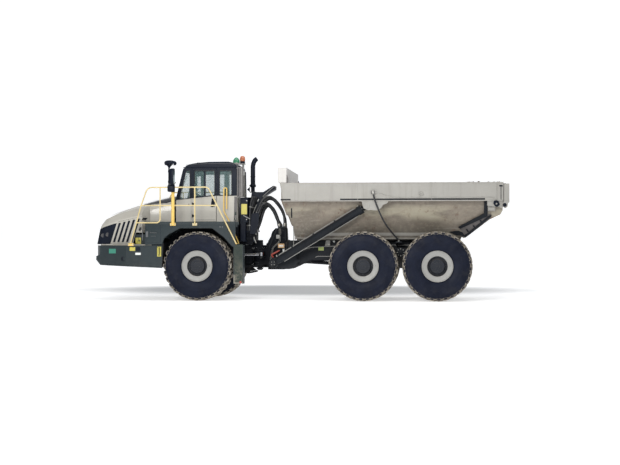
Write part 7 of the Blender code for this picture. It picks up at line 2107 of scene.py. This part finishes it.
# ---- hoses over the joint -------------------------------------------------------------------------------------------------------------
HOSE_RUNS = {
    "near_outer": ((-1.385, 1.93), (-1.36, 2.02), (-1.268, 2.16), (-1.200, 2.350), (-1.132, 2.530), (-1.060, 2.625), (-0.973, 2.650), (-0.890, 2.590), (-0.790, 2.475), (-0.708, 2.290), (-0.662, 2.133), (-0.636, 2.03)),
    "far_outer": ((-1.440, 1.93), (-1.43, 2.04), (-1.33, 2.26), (-1.205, 2.52), (-1.125, 2.69), (-1.030, 2.800), (-0.917, 2.839), (-0.822, 2.800), (-0.692, 2.678), (-0.587, 2.521), (-0.520, 2.350), (-0.497, 2.168), (-0.500, 2.03)),
    "near_inner": ((-1.285, 1.93), (-1.26, 2.00), (-1.178, 2.12), (-1.125, 2.300), (-1.062, 2.495), (-0.965, 2.598), (-0.868, 2.540), (-0.780, 2.390), (-0.705, 2.205), (-0.640, 2.10), (-0.612, 2.03)),
    "far_inner": ((-1.340, 1.93), (-1.33, 2.04), (-1.24, 2.28), (-1.155, 2.50), (-1.085, 2.66), (-1.000, 2.765), (-0.905, 2.795), (-0.800, 2.750), (-0.690, 2.620), (-0.590, 2.460), (-0.515, 2.255), (-0.497, 2.14), (-0.500, 2.03)),
}


def hoses():
    """Four hydraulic hoses from the tray over to the tower, arched between tractor and hitch."""
    ends = {"near_outer": (-0.45, -0.145), "far_outer": (-0.36, -0.050), "near_inner": (-0.25, 0.050), "far_inner": (-0.14, 0.145)}
    s = Shape()
    for key, run in HOSE_RUNS.items():
        y0, y1 = ends[key]
        n = len(run) - 1
        pts = []
        for k, (x, z) in enumerate(run):
            t = min(1.0, max(0.0, (k - 1.0) / (n - 2.0)))
            t = t * t * (3 - 2 * t)
            pts.append((x, y0 + (y1 - y0) * t, z))
        path = smooth_path(pts, 8)
        r = 0.0385 if key.startswith("far") else 0.0460
        s.tube(path, r, 18, 0)
        # crimped ferrules and swivel nuts at both ends, and a spring guard's few turns
        for i0, i1, j in ((0, 5, 0), (len(path) - 6, len(path) - 1, len(path) - 1)):
            s.tube(path[i0 : i1 + 1], r + 0.006, 18, 1)
        for i in (1, 3, len(path) - 4, len(path) - 2):
            d = path[min(i + 1, len(path) - 1)] - path[i - 1]
            s.lathe([(r + 0.004, -0.006), (r + 0.009, -0.004), (r + 0.009, 0.004), (r + 0.004, 0.006)], path[i], d, 18, 1)
        for i in (int(len(path) * 0.42), int(len(path) * 0.62)):
            d = path[i + 1] - path[i - 1]
            s.lathe([(r, -0.020), (r + 0.005, -0.018), (r + 0.005, 0.018), (r, 0.020)], path[i], d, 18, 0)
    o = s.make("articulation_hose_set", None, ("hose", "zinc"), stands_for=("articulation_hoses",), slot="black", smooth=60)
    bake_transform(o)


hoses()


# ---- trailer --------------------------------------------------------------------------------------------------------------------------
def trailer():
    """Rear frame, walking beams and axles with their drive shafts, links, brakes and lines."""
    def settle(co):
        return (co.x, co.y, 0.918) if co.x > -0.15 and co.z < 0.86 and abs(co.y) > 0.47 else co

    skin("trailer_frame", ("frame", "void"), lambda c, n: 1 if (abs(c.y) < 0.355 or (c.z < 1.12 and n.z < -0.2)) else 0, 0.010, 2, change=settle, smooth=40)
    for node in ("mid_axle", "rear_axle"):
        skin(node, ("frame",), None, 0.010, 2, smooth=50)
    for side in ("left", "right"):
        skin(f"walking_beam_{side}", ("frame",), None, 0.020, 3)
    s = Shape()
    for sign in (-1, 1):
        Y = lambda a, b: sorted((sign * a, sign * b))
        # flanges along the rail's bottom and top edges
        edge = [(0.02, 0.98), (0.30, 1.08), (1.20, 1.08), (1.42, 1.27), (4.10, 1.27)]
        for (xa, za), (xb, zb) in zip(edge, edge[1:]):
            s.panel([(xa, Y(0.345, 0.520)[0], za - 0.012), (xb, Y(0.345, 0.520)[0], zb - 0.012), (xb, Y(0.345, 0.520)[1], zb - 0.012), (xa, Y(0.345, 0.520)[1], za - 0.012)], 0.016, 1)
        s.prism([(-0.33, 1.60), (4.10, 1.60), (4.10, 1.616), (-0.33, 1.616)], *Y(0.345, 0.515), "Y", 0)
        # the fork's boss round the hoist pin, its cap, and the doubler
        s.lathe([(0.0, 0.012), (0.060, 0.012), (0.072, 0.004), (0.130, 0.002), (0.150, 0.0), (0.150, -0.02)], (-0.72, sign * 0.602, 1.00), (0, sign, 0), 36, 0)
        s.lathe([(0.055, 0.0), (0.075, 0.004), (0.075, 0.016), (0.0, 0.020)], (-0.72, sign * 0.962, 1.00), (0, sign, 0), 28, 0)
        s.ring_of_bolts((-0.72, sign * 0.980, 1.00), (0, sign, 0), 0.050, 4, 0.009, 0.007, 2)
        # the pack of valves on the plate's outer side, with its lines
        s.prism([(-0.255, 1.262), (-0.10, 1.300), (-0.02, 1.345), (-0.02, 1.405), (-0.12, 1.405), (-0.255, 1.345)], *Y(0.602, 0.650), "Y", 3)
        s.brick((-0.14, sign * 0.652, 1.345), (0.18, 0.010, 0.026), (0, 22, 0), 4)
        s.brick((-0.07, sign * 0.602, 1.06), (0.09, 0.020, 0.08), (0, 0, 0), 0)
        # yellow-green blank patch, grey bracket, bolt with a white washer, light line under it, belly of the tank
        s.brick((0.558, sign * 0.5025, 1.397), (0.150, 0.006, 0.094), (0, 0, 0), 5)
        s.prism([(0.665, 1.486), (0.808, 1.486), (0.808, 1.628), (0.700, 1.628)], *Y(0.500, 0.535), "Y", 4)
        for x, z in ((0.69, 1.51), (0.78, 1.51), (0.78, 1.60)):
            s.bolt((x, sign * 0.535, z), (0, sign, 0), 0.012, 0.009, 2)
        s.cyl((0.915, sign * 0.500, 1.598), (0.915, sign * 0.530, 1.598), 0.030, 20, 6, 0.004)
        s.tube(bent_path([(0.40, sign * 0.508, 1.160), (0.46, sign * 0.512, 1.190), (0.95, sign * 0.512, 1.186), (1.10, sign * 0.508, 1.22), (1.35, sign * 0.508, 1.40)], 0.05), 0.008, 8, 4)
        s.tube(bent_path([(-0.05, sign * 0.510, 1.34), (0.30, sign * 0.512, 1.44), (1.60, sign * 0.512, 1.50), (3.80, sign * 0.512, 1.50)], 0.10), 0.010, 8, 4)
        s.tube(bent_path([(-0.05, sign * 0.510, 1.30), (0.32, sign * 0.512, 1.405), (0.45, sign * 0.512, 1.47), (3.80, sign * 0.512, 1.47)], 0.10), 0.008, 8, 7)
        for x in (0.20, 1.30, 2.10, 3.30):
            s.brick((x, sign * 0.510, 1.45 if x > 0.5 else 1.41), (0.035, 0.018, 0.13), (0, 0, 0), 0)
        # small plate low on the fork, breather pipe with its cap, on clips
        s.brick((-0.715, sign * 0.604, 1.085 if sign < 0 else 1.09), (0.070, 0.008, 0.050), (0, 0, 0), 6)
        s.tube(bent_path([(-0.150, sign * 0.612, 1.26), (-0.190, sign * 0.616, 1.30), (-0.190, sign * 0.616, 1.72), (-0.195, sign * 0.640, 2.04)], 0.03), 0.0105, 10, 4)
        s.cyl((-0.195, sign * 0.640, 2.03), (-0.195, sign * 0.640, 2.075), 0.017, 14, 0, 0.003)
        s.brick((-0.190, sign * 0.606, 1.44), (0.05, 0.020, 0.025), (0, 0, 0), 0)
        # beam pivot on the cross tube, beam ends' rubber pads and their bolts
        s.lathe([(0.078, 0.0), (0.130, 0.0), (0.138, 0.012), (0.138, 0.040), (0.0, 0.052)], (2.75, sign * 0.790, 1.30), (0, sign, 0), 36, 0)
        s.ring_of_bolts((2.75, sign * 0.835, 1.30), (0, sign, 0), 0.095, 8, 0.013, 0.010, 2)
        for x in (MID_X, REAR_X):
            for k in range(3):
                s.lathe([(0.098, 0.0), (0.112, 0.010), (0.112, 0.020), (0.098, 0.030)], (x, sign * 0.70, 1.040 + 0.030 * k), "Z", 24, 7)
            s.lathe([(0.20, 0.0), (0.235, 0.01), (0.245, 0.03), (0.245, 0.075), (0.232, 0.09), (0.20, 0.10)], (x, sign * 1.00, AXLE_Z), (0, sign, 0), 36, 0)
            s.ring_of_bolts((x, sign * 0.985, AXLE_Z), (0, -sign, 0), 0.185, 14, 0.011, 0.009, 2)
            # links from the frame to the axle
            s.tube([(x - 0.20 if x < 3 else x + 0.20, sign * 0.30, 1.28), (x, sign * 0.30, 1.08)], 0.030, 12, 0)
            s.tube([(2.45 if x < 3 else 3.05, sign * 0.55, 1.12), (x + (0.18 if x < 3 else -0.18), sign * 0.55, 0.93)], 0.030, 12, 0)
        # rope's outrigger: eye plate
        s.lathe([(0.0, 0.024), (0.030, 0.022), (0.036, 0.0), (0.0, 0.0)], (2.70, sign * 1.00, 1.598), "Z", 18, 2)
        s.panel([(2.62, Y(0.50, 0.98)[0], 1.556), (2.62, Y(0.50, 0.98)[1], 1.556), (2.70, sign * 0.52, 1.40)], 0.02, 0)
    # cross members' fishplates, tank belly, differential covers and pinion flanges
    s.prism([(0.29, 1.064), (0.75, 1.064), (0.75, 1.105), (0.70, 1.24), (0.36, 1.24), (0.29, 1.105)], -0.335, 0.335, "Y", 1)
    for x in (MID_X, REAR_X):
        s.lathe([(0.20, 0.0), (0.245, 0.005), (0.245, 0.022), (0.16, 0.065), (0.0, 0.080)], (x + 0.17, 0, AXLE_Z), (1, 0, 0), 36, 0)
        s.ring_of_bolts((x + 0.192, 0, AXLE_Z), (1, 0, 0), 0.222, 12, 0.012, 0.010, 2)
    # drive shafts with their universal joints
    for xa, za, xb, zb in ((-0.22, 1.06, 1.42, AXLE_Z + 0.02), (2.02, AXLE_Z, 3.38, AXLE_Z)):
        a, b = Vector((xa, 0, za)), Vector((xb, 0, zb))
        d = (b - a).normalized()
        s.tube([a + d * 0.10, a + d * 0.14, a + d * 0.18, b - d * 0.34, b - d * 0.30, b - d * 0.18, b - d * 0.14, b - d * 0.10], [0.040, 0.058, 0.052, 0.052, 0.060, 0.060, 0.052, 0.040], 20, 0)
        for p, q in ((a, 1), (b, -1)):
            s.lathe([(0.0, -0.012), (0.082, -0.012), (0.085, 0.0), (0.082, 0.014), (0.0, 0.014)], p, d, 24, 0)
            s.cyl(p + d * 0.062 * q + Vector((0, -0.065, 0)), p + d * 0.062 * q + Vector((0, 0.065, 0)), 0.019, 14, 2, 0.003)
            s.cyl(p + d * 0.062 * q + Vector((0, 0, -0.065)), p + d * 0.062 * q + Vector((0, 0, 0.065)), 0.019, 14, 2, 0.003)
            for sy in (-1, 1):
                s.brick(p + d * 0.045 * q + Vector((0, sy * 0.055, 0)), (0.085, 0.022, 0.040), (0, 0, 0), 0)
    # lock plates of the body's pivot
    for sign in (-1, 1):
        s.brick((4.05, sign * 0.512, 1.60), (0.10, 0.018, 0.05), (0, 0, 0), 0)
    # cable trays and the ribs of the rear cross member
    for y in (-0.30, 0.0, 0.30):
        s.box(3.99, 4.14, y - 0.012, y + 0.012, 1.325, 1.60, 0)
    s.box(2.60, 2.90, -0.36, 0.36, 1.30, 1.322, 0)
    # brown, dust-covered torque box and its ribs between the axles
    s.prism([(2.42, 1.26), (3.08, 1.26), (3.02, 0.98), (2.90, 0.86), (2.60, 0.86), (2.48, 0.98)], -0.31, 0.31, "Y", 8)
    for x in (2.56, 2.75, 2.94):
        s.box(x - 0.014, x + 0.014, -0.335, 0.335, 0.90, 1.24, 8)
    s.box(0.90, 1.55, -0.30, 0.30, 1.00, 1.065, 1)
    s.make("trailer_fittings", "trailer", ("frame", "void", "zinc", "charcoal", "grey_part", "decal_lime", "decal_white", "hose", "brown_panel"), smooth=42, bevel=0.0025, segs=1)


trailer()


def body_trim():
    """The pale flange line under the tipping body's edge and the pads it rests on."""
    s = Shape()
    s.tube(bent_path([(-0.136, -0.880, 1.690), (0.286, -0.880, 1.684), (0.504, -0.894, 1.770)], 0.05), 0.011, 8, 0)
    s.prism([(-0.140, 1.640), (-0.10, 1.640), (-0.10, 1.80), (-0.140, 1.80)], -0.886, -0.868, "Y", 0)
    s.prism([(0.42, 1.668), (3.95, 1.668), (3.95, 1.752), (0.42, 1.752)], -0.862, -0.842, "Y", 0)
    s.prism([(0.42, 1.662), (3.95, 1.662), (3.95, 1.676), (0.42, 1.676)], -0.884, -0.842, "Y", 0)
    for x in (0.10, 1.10, 2.10, 3.10):
        s.box(x, x + 0.16, -0.485, -0.375, 1.6225, 1.635, 1)
    s.both()
    s.make("body_edge_trim", "dump_body", ("rail", "hose"), smooth=40, bevel=0.002, segs=1)


body_trim()


def hoist():
    """Tipping cylinders: finished barrels with glands, ports and a pipe along them, and chromed rods."""
    for side, sign in SIDES:
        low = Vector((-0.72, sign * 0.85, 1.00))
        top = Vector((1.86, sign * 1.49, 2.541))
        d = (top - low).normalized()
        skin(f"hoist_barrel_{side}", ("frame",), None, 0.004, 2, smooth=50)
        skin(f"hoist_rod_{side}", ("chrome", "frame"), lambda c, n: 1 if (c - top).length < 0.13 else 0, 0.003, 2, smooth=50)
        out = (Vector((0, sign, 0)) - d * d.y * sign).normalized()
        up = d.cross(out) * sign
        if up.z < 0:
            up = -up
        s = Shape()
        # gland with its bolts, collars along the barrel, welded base, grease nipple
        s.lathe([(0.1005, -0.02), (0.116, -0.015), (0.1175, 0.0), (0.1175, 0.115), (0.108, 0.124), (0.062, 0.126), (0.0565, 0.122)], low + d * 2.805, d, 36, 0)
        s.ring_of_bolts(low + d * 2.931, d, 0.088, 8, 0.011, 0.010, 1)
        for h in (0.22, 1.05, 1.95):
            s.lathe([(0.1003, 0.0), (0.107, 0.003), (0.107, 0.032), (0.1003, 0.035)], low + d * h, d, 36, 0)
        s.lathe([(0.116, -0.066), (0.128, -0.060), (0.128, 0.060), (0.116, 0.066)], low, (0, 1, 0), 36, 0)
        s.cyl(low - d * 0.112, low - d * 0.135, 0.010, 10, 1, 0.002)
        # the steel pipe along the barrel's upper side, and its ports and clips
        a, b = low + up * 0.118 + d * 0.26, low + up * 0.118 + d * 2.70
        s.tube(bent_path([low + up * 0.075 + d * 0.22, a, b, low + up * 0.085 + d * 2.76], 0.04), 0.0125, 10, 2)
        a, b = low - up * 0.112 + d * 0.30, low - up * 0.112 + d * 2.70
        s.tube([a, b], 0.009, 8, 2)
        for h in (0.70, 1.40, 2.10):
            s.brick(low + up * 0.108 + d * h, (0.05, 0.035, 0.035), (0, -math.degrees(math.atan2(d.z, d.x)), math.degrees(math.atan2(d.y, d.x))), 0)
        s.cyl(low + up * 0.095 + d * 0.19, low + up * 0.150 + d * 0.19, 0.021, 6, 1, 0.003)
        s.cyl(low + up * 0.100 + d * 2.86, low + up * 0.142 + d * 2.86, 0.021, 6, 1, 0.003)
        s.make(f"hoist_fittings_{side}", f"hoist_barrel_{side}", ("frame", "zinc", "grey_part"), smooth=45)
        r = Shape()
        r.lathe([(0.096, -0.048), (0.104, -0.044), (0.104, 0.044), (0.096, 0.048)], top, (0, 1, 0), 32, 0)
        r.lathe([(0.046, 0.0), (0.062, 0.004), (0.066, 0.030), (0.072, 0.060)], top - d * 0.16, d, 24, 0)
        r.make(f"hoist_eye_{side}", f"hoist_rod_{side}", ("frame",), smooth=45)


hoist()


def ropes():
    """The rope on each side that opens the tailgate as the body tips, from its guide on the rail to the frame's outrigger."""
    for side, sign in SIDES:
        route = [(2.03, 1.70, 2.88), (2.06, 1.70, 2.76), (2.11, 1.69, 2.60), (2.19, 1.66, 2.40), (2.29, 1.58, 2.18), (2.41, 1.44, 1.98), (2.55, 1.22, 1.80), (2.64, 1.08, 1.70), (2.70, 1.00, 1.62)]
        path = smooth_path([(x, sign * y, z) for x, y, z in route], 10)
        s = Shape()
        n = len(path)
        for strand in range(5):
            pts = []
            for i, p in enumerate(path):
                t = (path[min(i + 1, n - 1)] - path[max(i - 1, 0)]).normalized()
                u = t.orthogonal().normalized()
                u = (Vector((0, 1, 0)) - t * t.y).normalized()
                w = t.cross(u)
                a = 2 * math.pi * (strand / 5 + i / 9.0)
                pts.append(p + (u * math.cos(a) + w * math.sin(a)) * 0.0115)
            s.tube(pts, 0.0115, 8, 0)
        s.tube([path[0] + Vector((0.0, 0, 0.02)), path[0], path[3]], [0.022, 0.024, 0.024], 14, 1)
        s.tube([path[-5], path[-2], path[-1]], [0.024, 0.024, 0.022], 14, 1)
        o = s.make(f"tailgate_rope_{side}_laid", None, ("hose", "zinc"), stands_for=(f"tailgate_rope_{side}",), smooth=60)
        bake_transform(o)
        g = Shape()
        g.box(1.985, 2.075, *sorted((sign * 1.655, sign * 1.704)), 2.862, 2.872, 0)
        for dx in (-0.045, 0.035):
            g.box(2.03 + dx, 2.03 + dx + 0.010, *sorted((sign * 1.655, sign * 1.722)), 2.862, 2.940, 0)
        g.cyl((1.990, sign * 1.705, 2.905), (2.072, sign * 1.705, 2.905), 0.012, 14, 1, 0.002)
        g.make(f"rope_guide_{side}", "dump_body", ("black", "zinc"), smooth=40, bevel=0.002, segs=1)


ropes()


# ---- the rest of the CAD, finished ----------------------------------------------------------------------------------------
def leftovers():
    """Each CAD node that no piece stands for gets a finished material and rounded edges of its own."""
    table = {
        "front_frame": "frame", "engine": "black", "front_axle": "frame", "front_bumper": "charcoal", "platform_left": "charcoal", "platform_right": "charcoal",
        "handrails_left": "pale_yellow", "handrails_right": "pale_yellow", "mirror_left": "black", "mirror_right": "black", "cab_shell": "stone", "cab_roof": "black",
        "windscreen": "glass", "window_left_front": "glass", "window_left_rear": "glass", "window_right": "glass", "window_rear": "glass", "operator_seat": "seat",
        "dashboard": "plastic", "cooler_pack": "black", "exhaust_stack": "black", "beacon": "amber", "steering_barrel_left": "black", "steering_barrel_right": "black",
        "hood_shell": "stone", "front_grille": "grille", "cab_door": "stone", "door_glass": "glass", "hitch_housing": "frame", "articulation_hoses": "hose",
        "trailer_frame": "frame", "mid_axle": "frame", "rear_axle": "frame", "walking_beam_left": "frame", "walking_beam_right": "frame", "dump_tub": "tub",
        "side_rail_left": "rail", "side_rail_right": "rail", "tailgate_rope_left": "hose", "tailgate_rope_right": "hose", "tailgate": "rail",
        "steering_rod_left": "chrome", "steering_rod_right": "chrome", "hoist_barrel_left": "black", "hoist_barrel_right": "black", "hoist_rod_left": "chrome", "hoist_rod_right": "chrome",
    }
    for node, mat in table.items():
        if not frame["nodes"][node].hide_render:
            finish_node(node, mat)


leftovers()
